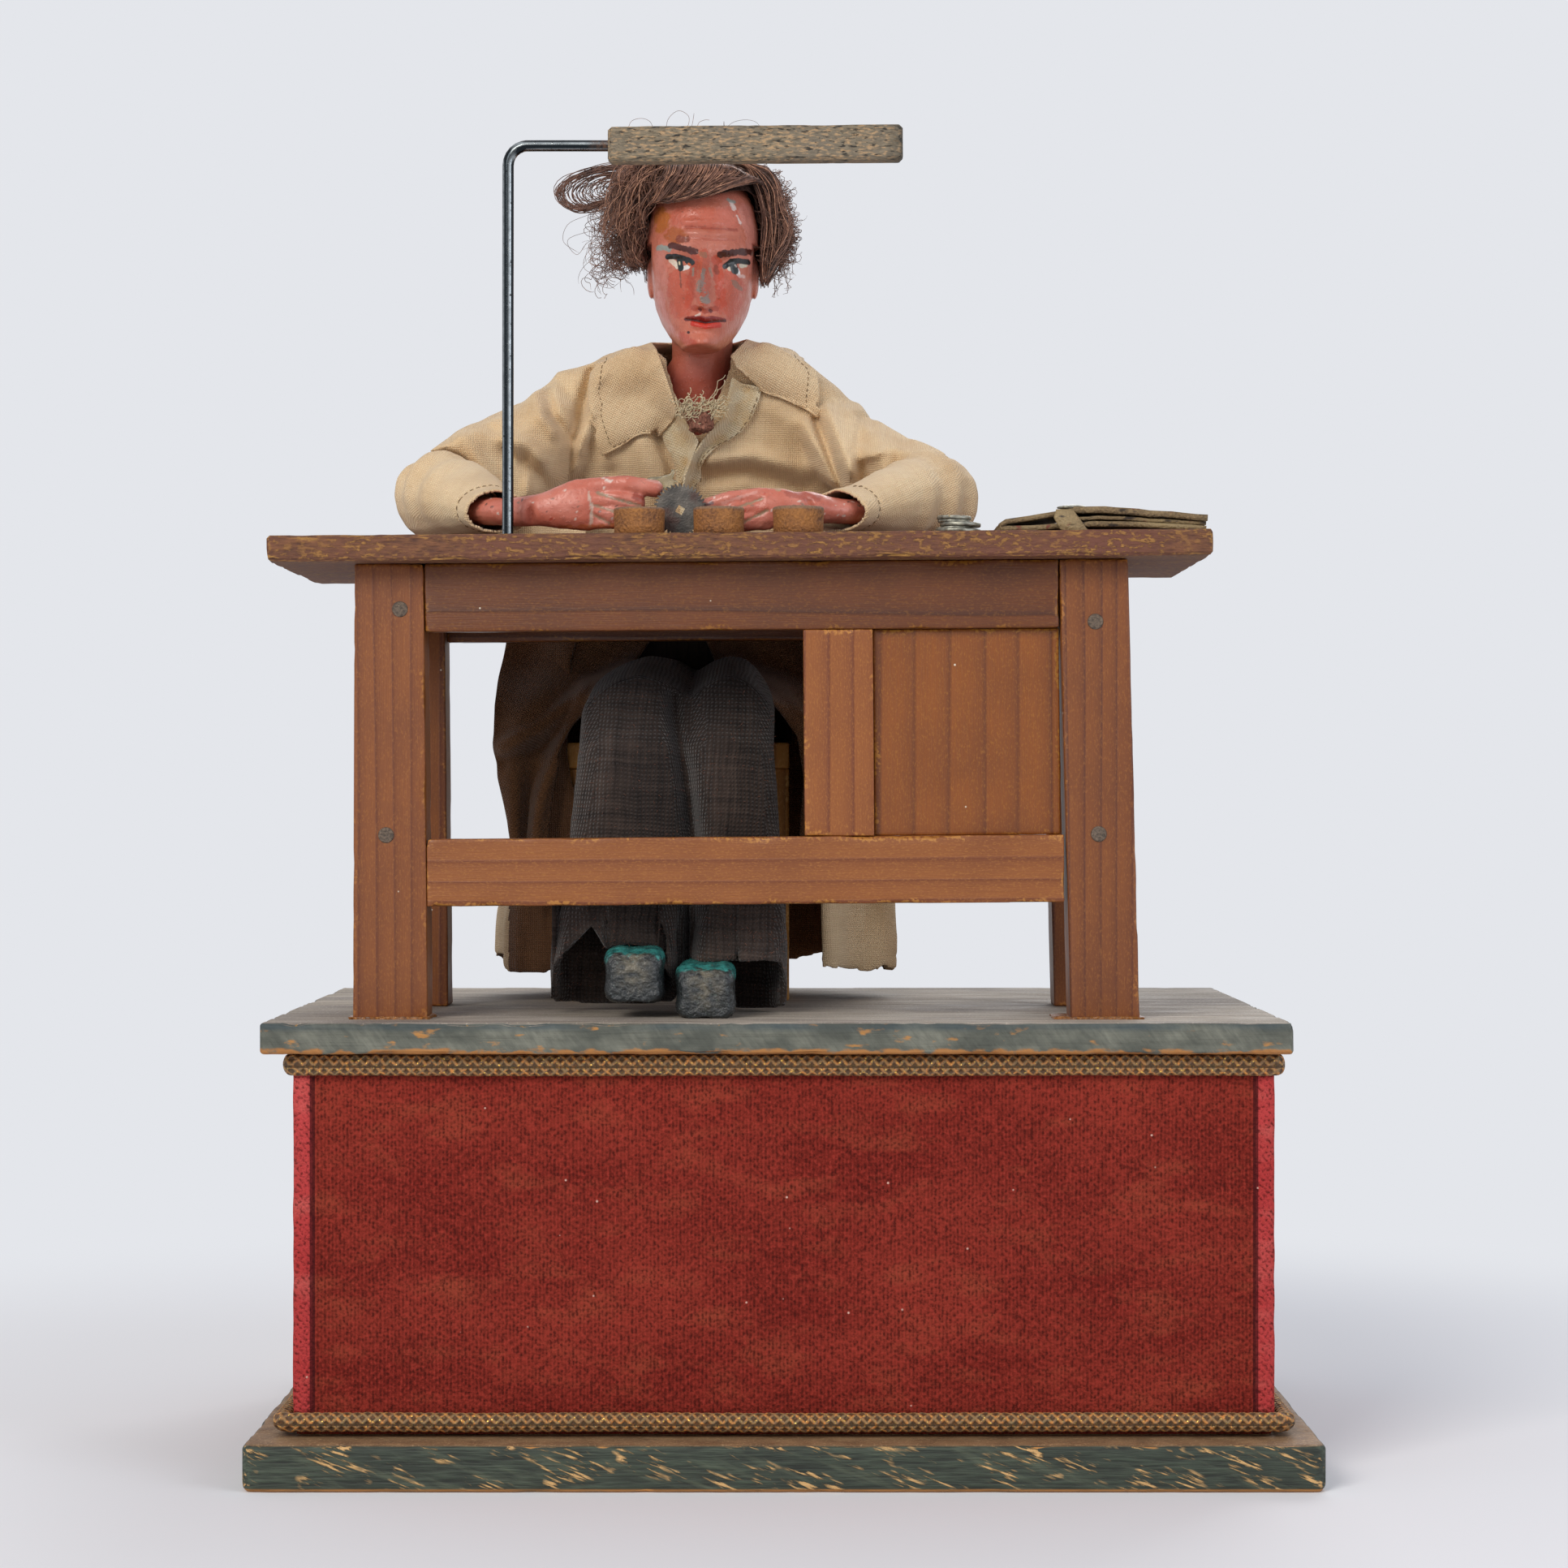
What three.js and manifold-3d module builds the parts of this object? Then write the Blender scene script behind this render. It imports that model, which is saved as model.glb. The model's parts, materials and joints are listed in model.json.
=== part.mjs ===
// Window display automaton: an artisan doll at a wooden bench, on a velvet box that hides its
// clockwork. Millimetres. +Z is up, -Y is the front, +X is the viewer's right. The origin is the
// centre of the plinth's underside.
import * as THREE from "three";
import { mergeVertices } from "three/addons/utils/BufferGeometryUtils.js";
import Module from "manifold-3d";

const wasm = await Module();
wasm.setup();

// Clearances and shared small sizes
const gap = 0.3;
const overrun = 5;
const restGap = 0.03;
const weldDistance = 0.0001;
const fineSides = 20;
const roundSides = 16;
const pinSides = 10;

// Driving dimensions: plinth, box and platform
const plinthWidth = 376;
const plinthDepth = 255;
const plinthThickness = 16.5;
const plinthCorner = 4;
const boxWidth = 342;
const boxDepth = 213.4;
const boxHeight = 134.5;
const boxWall = 9;
const velvetThickness = 1.3;
const lowerBraidDiameter = 7.3;
const lowerBraidLift = 1.6;
const upperBraidHeight = 8;
const upperBraidThickness = 4;
const velvetRoll = 3;
const platformWidth = 361;
const platformDepth = 235.5;
const platformThickness = 11;
const platformShiftX = -2.5;

// Driving dimensions: bench
const benchLeft = -153;
const benchSpan = 276.3;
const benchFront = -95.5;
const benchRear = 2.5;
const benchLegHeight = 161.6;
const benchTopThickness = 9.3;
const benchTopWidth = 332.8;
const benchTopLeft = -180.6;
const benchTopFront = -109.5;
const lapGap = 14;
const benchTilt = 0.0073;
const legWidth = 24.5;
const legDepth = 20;
const leftLegLean = 1.7;
const leftLegSplay = 0.3;
const rightLegSplay = 3;
const apronHeight = 24.4;
const railHeight = 24;
const railLift = 39.7;
const railThickness = 8;
const stileWidth = 24.8;
const stileLeft = 6.6;
const panelRecess = 4.6;
const panelThickness = 4.5;

// Driving dimensions: things on the bench and the lamp arm
const potRadius = 9.2;
const potHeight = 9.5;
const potPitch = 28.2;
const potMiddleX = -23;
const potY = -96.3;
const toothedWheelX = -37;
const metalDiscX = -136.7;
const discStackX = 62;
const walletX = 75.3;
const toothedWheelRadius = 9.6;
const toothedWheelThickness = 1;
const wireDiameter = 3.6;
const wireX = -94.2;
const wireY = -92.5;
const wireRise = 140.6;
const wireBend = 6;
const wireLean = 4;
const barLength = 104.8;
const barHeight = 12.6;
const barDepth = 9;

// Driving dimensions: figure
const figureX = -33;
const seatHeight = 100;
const seatThickness = 10;
const stoolWidth = 87;
const stoolDepth = 74;
const stoolFront = 18;
const stoolWall = 8;
const stoolShift = -8.5;
const torsoWidth = 72;
const torsoDepth = 38;
const torsoHeight = 113;
const torsoFront = 36;
const torsoLean = 17;
const neckPivotY = 30;
const neckPivotDrop = 7;
const neckRadius = 11.8;
const headHeight = 72;
const headHalfWidth = 21.5;
const headHalfDepth = 31.5;
const chinDrop = 7.5;
const headY = -2;
const coatThickness = 2.4;
const coatHalfWidth = 74;
const coatHalfDepth = 43;
const coatNeckRise = 41;
const coatNeckDrop = 10;
const coatWaistHeight = 140;
const coatWaistY = 56;
const skirtHalfWidth = 79;
const skirtHalfDepth = 55;
const skirtDrop = 127;
const elbowRadius = 17.4;
const elbowSpan = 183;
const elbowShift = -3.5;
const elbowY = -24;
const elbowLift = 20.1;
const handLift = 11.7;
const sleeveEndY = -71;
const wristY = -79.5;

// Driving dimensions: motor and linkage
const motorX = -34;
const motorFront = 24;
const motorBack = 64;
const plateThickness = 2.5;
const plateWidth = 132;
const plateHeight = 84;
const arborHeight = 41.5;
const gearModule = 1.25;
const barrelTeeth = 48;
const camPinionTeeth = 12;
const governorModule = 0.96;
const camWheelTeeth = 40;
const flyPinionTeeth = 10;
const camRadius = 12.5;
const leverReach = 48;
const leverPivotHeight = 60;
const rodRadius = 2;
const armRodY = 42;
const headRodY = 54;

// Places worked out from the sizes above
const boxBase = plinthThickness;
const platformBase = boxBase + boxHeight;
const platformTop = platformBase + platformThickness;
const rodX = figureX;
const benchTopHeight = benchLegHeight + benchTopThickness;
const benchTopBack = torsoFront - lapGap;
const torsoTop = seatHeight + torsoHeight;
const stoolX = figureX + stoolShift;
const neckPivotHeight = torsoTop - neckPivotDrop;
const coatRise = torsoTop + coatNeckRise - coatWaistHeight;
const chinHeight = coatWaistHeight + coatRise - chinDrop;
const elbowMiddleX = figureX + elbowShift;
const elbowHeight = benchTopHeight + elbowLift;
const handHeight = benchTopHeight + handLift;

// Colours with their roughness and metalness
const finishes = {
  velvet: { color: 0x8f2a24, roughness: 0.95, metalness: 0 },
  braid: { color: 0x7a5a3a, roughness: 0.8, metalness: 0 },
  plinthPaint: { color: 0x2f3a34, roughness: 0.6, metalness: 0 },
  platformPaint: { color: 0x6a6f6d, roughness: 0.8, metalness: 0 },
  boxWood: { color: 0xa47a4c, roughness: 0.8, metalness: 0 },
  benchWood: { color: 0x9a5a2c, roughness: 0.5, metalness: 0 },
  potWood: { color: 0x8a5a3a, roughness: 0.6, metalness: 0 },
  stoolWood: { color: 0xb8742c, roughness: 0.6, metalness: 0 },
  bareWood: { color: 0x77705f, roughness: 0.9, metalness: 0 },
  steel: { color: 0x3a3a3c, roughness: 0.4, metalness: 1 },
  brass: { color: 0xb08d45, roughness: 0.35, metalness: 1 },
  leather: { color: 0x6e4a32, roughness: 0.7, metalness: 0 },
  horn: { color: 0xcfc9b4, roughness: 0.4, metalness: 0 },
  skinPaint: { color: 0xc65548, roughness: 0.45, metalness: 0 },
  hair: { color: 0x5a4538, roughness: 0.7, metalness: 0 },
  linen: { color: 0xb59b78, roughness: 0.9, metalness: 0 },
  wool: { color: 0x2b2422, roughness: 0.95, metalness: 0 },
  shoePaint: { color: 0x4a4b4c, roughness: 0.6, metalness: 0 },
};

// Solids: closed geometry becomes a solid that can be joined and cut, and back again
function solidOf(geometry) {
  const bare = new THREE.BufferGeometry();
  bare.setAttribute("position", geometry.getAttribute("position"));
  bare.setIndex(geometry.getIndex());
  const merged = mergeVertices(bare, weldDistance);
  const places = merged.getAttribute("position");
  const corners = merged.getIndex().array;
  const kept = [];
  const a = new THREE.Vector3();
  const b = new THREE.Vector3();
  const c = new THREE.Vector3();
  let volume = 0;
  for (let i = 0; i < corners.length; i += 3) {
    const [p, q, r] = [corners[i], corners[i + 1], corners[i + 2]];
    if (p !== q && q !== r && r !== p) {
      kept.push(p, q, r);
      a.fromBufferAttribute(places, p);
      b.fromBufferAttribute(places, q);
      c.fromBufferAttribute(places, r);
      volume += a.dot(b.cross(c));
    }
  }
  if (volume < 0) kept.reverse();
  const mesh = new wasm.Mesh({
    numProp: 3,
    vertProperties: new Float32Array(places.array),
    triVerts: new Uint32Array(kept),
  });
  return new wasm.Manifold(mesh);
}

function geometryOf(solid) {
  const mesh = solid.getMesh();
  const geometry = new THREE.BufferGeometry();
  geometry.setAttribute("position", new THREE.BufferAttribute(mesh.vertProperties, 3));
  geometry.setIndex(new THREE.BufferAttribute(mesh.triVerts, 1));
  geometry.computeVertexNormals();
  return geometry;
}

function joined(...solids) {
  return solids.reduce((whole, piece) => whole.add(piece));
}

function cut(whole, ...pieces) {
  return pieces.reduce((rest, piece) => rest.subtract(piece), whole);
}

function point(x, y, z) {
  return new THREE.Vector3(x, y, z);
}

// A board between two corners
function board(low, high) {
  const size = high.clone().sub(low);
  const geometry = new THREE.BoxGeometry(size.x, size.y, size.z);
  const middle = low.clone().add(high).multiplyScalar(1 / 2);
  geometry.translate(middle.x, middle.y, middle.z);
  return solidOf(geometry);
}

// A board with eased edges and round corners, seen from above
function easedBoard(low, high, corner, ease) {
  const shape = new THREE.Shape();
  shape.moveTo(low.x + corner, low.y);
  shape.lineTo(high.x - corner, low.y);
  shape.absarc(high.x - corner, low.y + corner, corner, -Math.PI / 2, 0);
  shape.lineTo(high.x, high.y - corner);
  shape.absarc(high.x - corner, high.y - corner, corner, 0, Math.PI / 2);
  shape.lineTo(low.x + corner, high.y);
  shape.absarc(low.x + corner, high.y - corner, corner, Math.PI / 2, Math.PI);
  shape.lineTo(low.x, low.y + corner);
  shape.absarc(low.x + corner, low.y + corner, corner, Math.PI, Math.PI * 3 / 2);
  const geometry = new THREE.ExtrudeGeometry(shape, {
    depth: high.z - low.z - 2 * ease,
    bevelThickness: ease,
    bevelSize: ease,
    bevelOffset: -ease,
    bevelSegments: 1,
    curveSegments: 2,
  });
  geometry.translate(0, 0, low.z + ease);
  return solidOf(geometry);
}

// A straight round bar from one point to another
function bar(from, to, radius, sides = roundSides) {
  const along = to.clone().sub(from);
  const geometry = new THREE.CylinderGeometry(radius, radius, along.length(), sides);
  const turn = new THREE.Quaternion().setFromUnitVectors(point(0, 1, 0), along.clone().normalize());
  geometry.applyQuaternion(turn);
  const middle = from.clone().add(to).multiplyScalar(1 / 2);
  geometry.translate(middle.x, middle.y, middle.z);
  return solidOf(geometry);
}

// An outline in the XZ plane made solid from the front face to the back face
function plateAlongY(shape, front, back) {
  const geometry = new THREE.ExtrudeGeometry(shape, {
    depth: back - front,
    bevelEnabled: false,
    curveSegments: fineSides / 4,
  });
  geometry.rotateX(Math.PI / 2);
  geometry.translate(0, back, 0);
  return solidOf(geometry);
}

// A profile of radius and height points turned about an upright axis
function turnedUpright(profile, sides) {
  const geometry = new THREE.LatheGeometry(profile.map(([r, h]) => new THREE.Vector2(r, h)), sides);
  geometry.rotateX(Math.PI / 2);
  return solidOf(geometry);
}

// Rings of points, one after another, skinned and closed at both ends
function loft(rings) {
  const count = rings[0].length;
  const places = rings.flat();
  const corners = [];
  for (let ring = 0; ring + 1 < rings.length; ring += 1) {
    for (let side = 0; side < count; side += 1) {
      const a = ring * count + side;
      const b = ring * count + (side + 1) % count;
      corners.push(a, b, a + count, b, b + count, a + count);
    }
  }
  for (const [ring, flip] of [[0, true], [rings.length - 1, false]]) {
    const middle = point(0, 0, 0);
    rings[ring].forEach((place) => middle.addScaledVector(place, 1 / count));
    places.push(middle);
    const centre = places.length - 1;
    for (let side = 0; side < count; side += 1) {
      const a = ring * count + side;
      const b = ring * count + (side + 1) % count;
      corners.push(...(flip ? [b, a, centre] : [a, b, centre]));
    }
  }
  const geometry = new THREE.BufferGeometry().setFromPoints(places);
  geometry.setIndex(corners);
  return solidOf(geometry);
}

// A limb: oval rings square to a path. A station holds its place and its two half sizes.
function limb(stations, count, sideways = null) {
  const rings = stations.map((station, index) => {
    const before = stations[Math.max(index - 1, 0)].at;
    const after = stations[Math.min(index + 1, stations.length - 1)].at;
    const along = after.clone().sub(before).normalize();
    const side = sideways ? sideways.clone() : along.clone().cross(point(0, 0, 1)).normalize();
    const up = side.clone().cross(along).normalize();
    const ring = [];
    for (let step = 0; step < count; step += 1) {
      const angle = 2 * Math.PI * step / count;
      const fold = 1 + (station.fold ?? 0) * Math.sin((station.folds ?? 0) * angle + (station.turn ?? 0));
      const place = station.at.clone();
      place.addScaledVector(side, station.wide * Math.cos(angle) * fold);
      place.addScaledVector(up, station.tall * Math.sin(angle) * fold);
      ring.push(place);
    }
    return ring;
  });
  return loft(rings);
}

function between(from, to, share) {
  return from.clone().lerp(to, share);
}

// A polyline route swept with the stations exactly where they are given
class StationRoute extends THREE.Curve {
  constructor(places) {
    super();
    this.places = places;
  }

  getPoint(share) {
    const reach = share * (this.places.length - 1);
    const index = Math.min(Math.floor(reach + weldDistance), this.places.length - 2);
    return this.places[index].clone().lerp(this.places[index + 1], reach - index);
  }

  getPointAt(share) {
    return this.getPoint(share);
  }

  getTangentAt(share) {
    const index = Math.round(share * (this.places.length - 1));
    const here = this.places[index];
    const tangent = point(0, 0, 0);
    if (index > 0) tangent.add(here.clone().sub(this.places[index - 1]).normalize());
    if (index + 1 < this.places.length) {
      tangent.add(this.places[index + 1].clone().sub(here).normalize());
    }
    return tangent.normalize();
  }
}

function swept(places, halfThick, halfTall, sides) {
  const section = new THREE.Shape();
  for (let side = 0; side < sides; side += 1) {
    const angle = 2 * Math.PI * side / sides;
    const across = halfThick * Math.cos(angle);
    const upward = halfTall * Math.sin(angle);
    if (side === 0) section.moveTo(across, upward);
    else section.lineTo(across, upward);
  }
  section.closePath();
  const geometry = new THREE.ExtrudeGeometry(section, {
    steps: places.length - 1,
    extrudePath: new StationRoute(places),
    bevelEnabled: false,
  });
  return solidOf(geometry);
}

// A toothed outline about a centre, with a tooth or a gap on the +X side
function toothedShape(teeth, module, centreX, centreZ, toothAtStart) {
  const tipRadius = module * (teeth / 2 + 0.8);
  const rootRadius = module * (teeth / 2 - 1.05);
  const pitchAngle = 2 * Math.PI / teeth;
  const start = toothAtStart ? 0 : pitchAngle / 2;
  const flankShares = [[-0.3, rootRadius], [-0.12, tipRadius], [0.12, tipRadius], [0.3, rootRadius]];
  const shape = new THREE.Shape();
  for (let tooth = 0; tooth < teeth; tooth += 1) {
    for (const [share, radius] of flankShares) {
      const angle = start + (tooth + share) * pitchAngle;
      const x = centreX + radius * Math.cos(angle);
      const z = centreZ + radius * Math.sin(angle);
      if (shape.curves.length === 0 && tooth === 0 && share === flankShares[0][0]) shape.moveTo(x, z);
      else shape.lineTo(x, z);
    }
  }
  shape.closePath();
  return shape;
}

// Scene graph
const automaton = new THREE.Group();
const base = new THREE.Group();
const bench = new THREE.Group();
const figure = new THREE.Group();
const motor = new THREE.Group();
bench.position.set(benchLeft, 0, platformTop);
bench.rotation.y = -benchTilt;
figure.position.set(0, 0, platformTop);
motor.position.set(0, 0, boxBase);
automaton.add(base, bench, figure, motor);

function place(group, name, solid, finish) {
  const mesh = new THREE.Mesh(geometryOf(solid), new THREE.MeshStandardMaterial(finishes[finish]));
  mesh.name = name;
  group.add(mesh);
}

// Base: plinth, box panels, velvet, braids, rear door and platform
const boxHalf = boxWidth / 2;
const boxHalfDepth = boxDepth / 2;
const doorWidth = 149;
const doorHeight = 99;
const doorThickness = 8;
const doorLift = 16;
const doorClearance = 0.8;
const doorLeft = -125;
const doorHingeX = doorLeft + doorWidth + 2 * doorClearance;
const hingeRadius = 2;
const hingePinRadius = 0.9;
const hingeLeaf = 0.8;
const hingeLeafWidth = 14;
const hingeY = boxHalfDepth + gap + hingeRadius;
const hingeLift = 10;
const hingeKnuckles = 5;

function makePlinth() {
  const ease = 1.2;
  const low = point(-plinthWidth / 2, -plinthDepth / 2, 0);
  const high = point(plinthWidth / 2, plinthDepth / 2, plinthThickness);
  place(base, "plinth_board", easedBoard(low, high, plinthCorner, ease), "plinthPaint");
}

function makeBoxPanels() {
  const top = platformBase;
  const inner = boxHalfDepth - boxWall;
  const front = board(point(-boxHalf, -boxHalfDepth, boxBase), point(boxHalf, -inner, top));
  place(base, "box_front_panel", front, "boxWood");
  for (const [name, edge] of [["box_left_panel", -boxHalf], ["box_right_panel", boxHalf - boxWall]]) {
    const low = point(edge, -inner, boxBase);
    const high = point(edge + boxWall, boxHalfDepth, top);
    place(base, name, board(low, high), "boxWood");
  }
  const halfInner = boxHalf - boxWall;
  const back = board(point(-halfInner, inner, boxBase), point(halfInner, boxHalfDepth, top));
  const doorway = board(
    point(doorLeft, inner - overrun, boxBase + doorLift),
    point(doorHingeX, boxHalfDepth + overrun, boxBase + doorLift + doorHeight + 2 * doorClearance),
  );
  const buttonHole = bar(
    point(buttonX, inner - overrun, buttonZ),
    point(buttonX, boxHalfDepth + overrun, buttonZ),
    buttonPinRadius + gap,
    pinSides,
  );
  place(base, "box_back_panel", cut(back, doorway, buttonHole), "boxWood");
}

const buttonPinRadius = 1.5;
const buttonReach = 9;
const buttonX = doorLeft - buttonReach;
const buttonZ = boxBase + doorLift + doorHeight / 2;

function makeDoorButton() {
  const thickness = 3;
  const halfLength = 13;
  const halfWidth = 4;
  const shape = new THREE.Shape();
  shape.absarc(buttonX, buttonZ + halfLength - halfWidth, halfWidth, 0, Math.PI);
  shape.absarc(buttonX, buttonZ - halfLength + halfWidth, halfWidth, Math.PI, 2 * Math.PI);
  const front = boxHalfDepth + hingeLeaf + gap;
  const wing = plateAlongY(shape, front, front + thickness);
  const pinStart = point(buttonX, boxHalfDepth - boxWall, buttonZ);
  const pin = bar(pinStart, point(buttonX, front + thickness / 2, buttonZ), buttonPinRadius, pinSides);
  place(base, "door_button", joined(wing, pin), "brass");
}

// The knuckles of the long hinge: the fixed leaf and the door take turns
function hingeKnuckle(index) {
  const pitch = (doorHeight - 2 * hingeLift) / hingeKnuckles;
  const start = boxBase + doorLift + doorClearance + hingeLift + index * pitch;
  return [start + gap / 2, start + pitch - gap / 2];
}

function makeDoor() {
  const low = point(
    doorLeft + doorClearance,
    boxHalfDepth - doorThickness,
    boxBase + doorLift + doorClearance,
  );
  const high = point(low.x + doorWidth, boxHalfDepth, low.z + doorHeight);
  let door = board(low, high);
  for (let index = 1; index < hingeKnuckles; index += 2) {
    const [start, end] = hingeKnuckle(index);
    const knuckle = bar(point(doorHingeX, hingeY, start), point(doorHingeX, hingeY, end), hingeRadius);
    const leaf = board(
      point(doorHingeX - hingeLeafWidth, boxHalfDepth - hingeLeaf / 2, start),
      point(doorHingeX - hingePinRadius, boxHalfDepth + hingeLeaf, end),
    );
    door = joined(door, knuckle, leaf);
  }
  const bore = bar(
    point(doorHingeX, hingeY, low.z),
    point(doorHingeX, hingeY, high.z),
    hingePinRadius + gap,
    pinSides,
  );
  const knobRadius = 7;
  const knobLength = 11;
  const knobX = doorLeft + doorWidth / 8;
  const knobProfileShares = [[0, 0], [0.5, 0], [0.45, 0.4], [0.8, 0.55], [1, 0.75], [0.8, 0.95], [0, 1]];
  const knob = new THREE.LatheGeometry(
    knobProfileShares.map(([r, h]) => new THREE.Vector2(r * knobRadius, h * knobLength)),
    roundSides,
  );
  knob.translate(knobX, boxHalfDepth - gap, buttonZ);
  place(base, "rear_door", joined(cut(door, bore), solidOf(knob)), "boxWood");
}

function makeDoorHinge() {
  const [lowest] = hingeKnuckle(0);
  const [, highest] = hingeKnuckle(hingeKnuckles - 1);
  let hinge = bar(
    point(doorHingeX, hingeY, lowest),
    point(doorHingeX, hingeY, highest),
    hingePinRadius,
    pinSides,
  );
  for (let index = 0; index < hingeKnuckles; index += 2) {
    const [start, end] = hingeKnuckle(index);
    hinge = joined(
      hinge,
      bar(point(doorHingeX, hingeY, start), point(doorHingeX, hingeY, end), hingeRadius),
      board(
        point(doorHingeX, boxHalfDepth + gap / 2, start),
        point(doorHingeX + hingeRadius + gap, boxHalfDepth + gap / 2 + hingeLeaf, end),
      ),
    );
  }
  const leaf = board(
    point(doorHingeX + hingeRadius + gap / 2, boxHalfDepth, lowest),
    point(doorHingeX + hingeLeafWidth, boxHalfDepth + hingeLeaf, highest),
  );
  place(base, "door_hinge", joined(hinge, leaf), "brass");
}

function makeVelvet() {
  const top = platformBase;
  const outer = easedBoard(
    point(-boxHalf - velvetThickness, -boxHalfDepth - velvetThickness, boxBase),
    point(boxHalf + velvetThickness, boxHalfDepth + 2 * velvetRoll, top),
    velvetRoll,
    gap / 4,
  );
  const inner = board(
    point(-boxHalf, -boxHalfDepth, boxBase - overrun),
    point(boxHalf, boxHalfDepth + 2 * overrun, top + overrun),
  );
  const behind = board(
    point(-boxWidth, boxHalfDepth, boxBase - overrun),
    point(boxWidth, boxDepth, top + overrun),
  );
  place(base, "velvet_cover", cut(outer, inner, behind), "velvet");
}

// A braid's route: up the left side, round two corners across the front, and back
function braidRoute(offset, height) {
  const sideX = boxHalf + velvetThickness + offset;
  const frontY = -boxHalfDepth - velvetThickness - offset;
  const cornerSteps = 4;
  const reachRadius = velvetRoll + offset;
  const route = [point(-sideX, boxHalfDepth, height)];
  for (const [centreX, startAngle] of [
    [-sideX + reachRadius, Math.PI],
    [sideX - reachRadius, Math.PI * 3 / 2],
  ]) {
    for (let step = 0; step <= cornerSteps; step += 1) {
      const angle = startAngle + step / cornerSteps * Math.PI / 2;
      route.push(point(
        centreX + reachRadius * Math.cos(angle),
        frontY + reachRadius + reachRadius * Math.sin(angle),
        height,
      ));
    }
  }
  route.push(point(sideX, boxHalfDepth, height));
  return route;
}

function makeBraids() {
  const sides = 8;
  const lowerRadius = lowerBraidDiameter / 2;
  const lowerHeight = boxBase + lowerBraidLift + lowerRadius;
  const lower = swept(braidRoute(lowerRadius + gap, lowerHeight), lowerRadius, lowerRadius, sides);
  place(base, "lower_braid", lower, "braid");
  const upperHeight = platformBase - gap - upperBraidHeight / 2;
  const upperRoute = braidRoute(upperBraidThickness / 2 + gap, upperHeight);
  const upper = swept(upperRoute, upperBraidHeight / 2, upperBraidThickness / 2, sides);
  place(base, "upper_braid", upper, "braid");
}

function makePlatform() {
  const corner = 2;
  const ease = 0.8;
  const left = platformShiftX - platformWidth / 2;
  const slab = easedBoard(
    point(left, -platformDepth / 2, platformBase),
    point(left + platformWidth, platformDepth / 2, platformTop),
    corner,
    ease,
  );
  const holes = [armRodY, headRodY].map((y) => bar(
    point(rodX, y, platformBase - overrun),
    point(rodX, y, platformTop + overrun),
    rodRadius + gap,
    pinSides,
  ));
  place(base, "platform_board", cut(slab, ...holes), "platformPaint");
}

// Bench. Its group's origin is the foot of the left legs' outer face, on the platform.
const leftLegInner = leftLegLean + legWidth;
const rightLegInner = benchSpan - legWidth;

function legFace(side, height) {
  const drop = 1 - height / benchLegHeight;
  return side === "left" ? leftLegInner + leftLegSplay * drop : rightLegInner + rightLegSplay * drop;
}

function makeLegs() {
  for (const [row, front] of [["front", benchFront], ["rear", benchRear - legDepth]]) {
    for (const side of ["left", "right"]) {
      const ring = (height, level) => {
        const inner = legFace(side, height);
        const lean = leftLegLean * height / benchLegHeight;
        const xs = side === "left" ? [lean, inner] : [inner, inner + legWidth];
        const foot = (x) => (level ? restGap - x * Math.tan(benchTilt) : height);
        return [
          point(xs[0], front, foot(xs[0])),
          point(xs[1], front, foot(xs[1])),
          point(xs[1], front + legDepth, foot(xs[1])),
          point(xs[0], front + legDepth, foot(xs[0])),
        ];
      };
      const post = loft([ring(0, true), ring(benchLegHeight, false)]);
      place(bench, `bench_leg_${row}_${side}`, post, "benchWood");
    }
  }
}

function makeAprons() {
  const top = benchLegHeight;
  const bottom = top - apronHeight;
  const left = legFace("left", bottom) + gap / 2;
  const right = legFace("right", top) - gap / 2;
  const inset = 0.6;
  const front = board(
    point(left, benchFront + inset, bottom),
    point(right, benchFront + inset + railThickness, top),
  );
  place(bench, "apron_front", front, "benchWood");
  const rearY = benchRear - legDepth / 2;
  const rear = board(
    point(left, rearY - railThickness / 2, bottom),
    point(right, rearY + railThickness / 2, top),
  );
  place(bench, "apron_rear", rear, "benchWood");
  const sideFront = benchFront + legDepth + gap / 2;
  const sideBack = benchRear - legDepth - gap / 2;
  const middle = (legWidth - railThickness) / 2;
  for (const [name, x] of [["apron_left", middle], ["apron_right", rightLegInner + middle]]) {
    const low = point(x, sideFront, bottom);
    place(bench, name, board(low, point(x + railThickness, sideBack, top)), "benchWood");
  }
}

function makeLowerRail() {
  const left = legFace("left", railLift) + gap / 2;
  const right = legFace("right", railLift + railHeight) - gap / 2 - sawnEndGap;
  const low = point(left, benchFront + railInset, railLift);
  const high = point(right, benchFront + railInset + railThickness, railLift + railHeight);
  place(bench, "lower_rail", board(low, high), "benchWood");
}

const railInset = 0.2;
const sawnEndGap = 0.6;
const stileInset = 1;
const benchShift = benchTilt * benchLegHeight;

function makeStileAndPanel() {
  const bottom = railLift + railHeight;
  const top = benchLegHeight - apronHeight;
  const left = stileLeft - benchLeft + benchShift;
  const stile = board(
    point(left, benchFront + stileInset, bottom),
    point(left + stileWidth, benchFront + stileInset + railThickness, top),
  );
  place(bench, "stile", stile, "benchWood");
  const panelFront = benchFront + panelRecess;
  const panel = board(
    point(left + stileWidth + gap / 2, panelFront, bottom),
    point(legFace("right", top) - gap, panelFront + panelThickness, top),
  );
  place(bench, "cupboard_panel", panel, "benchWood");
}

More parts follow.
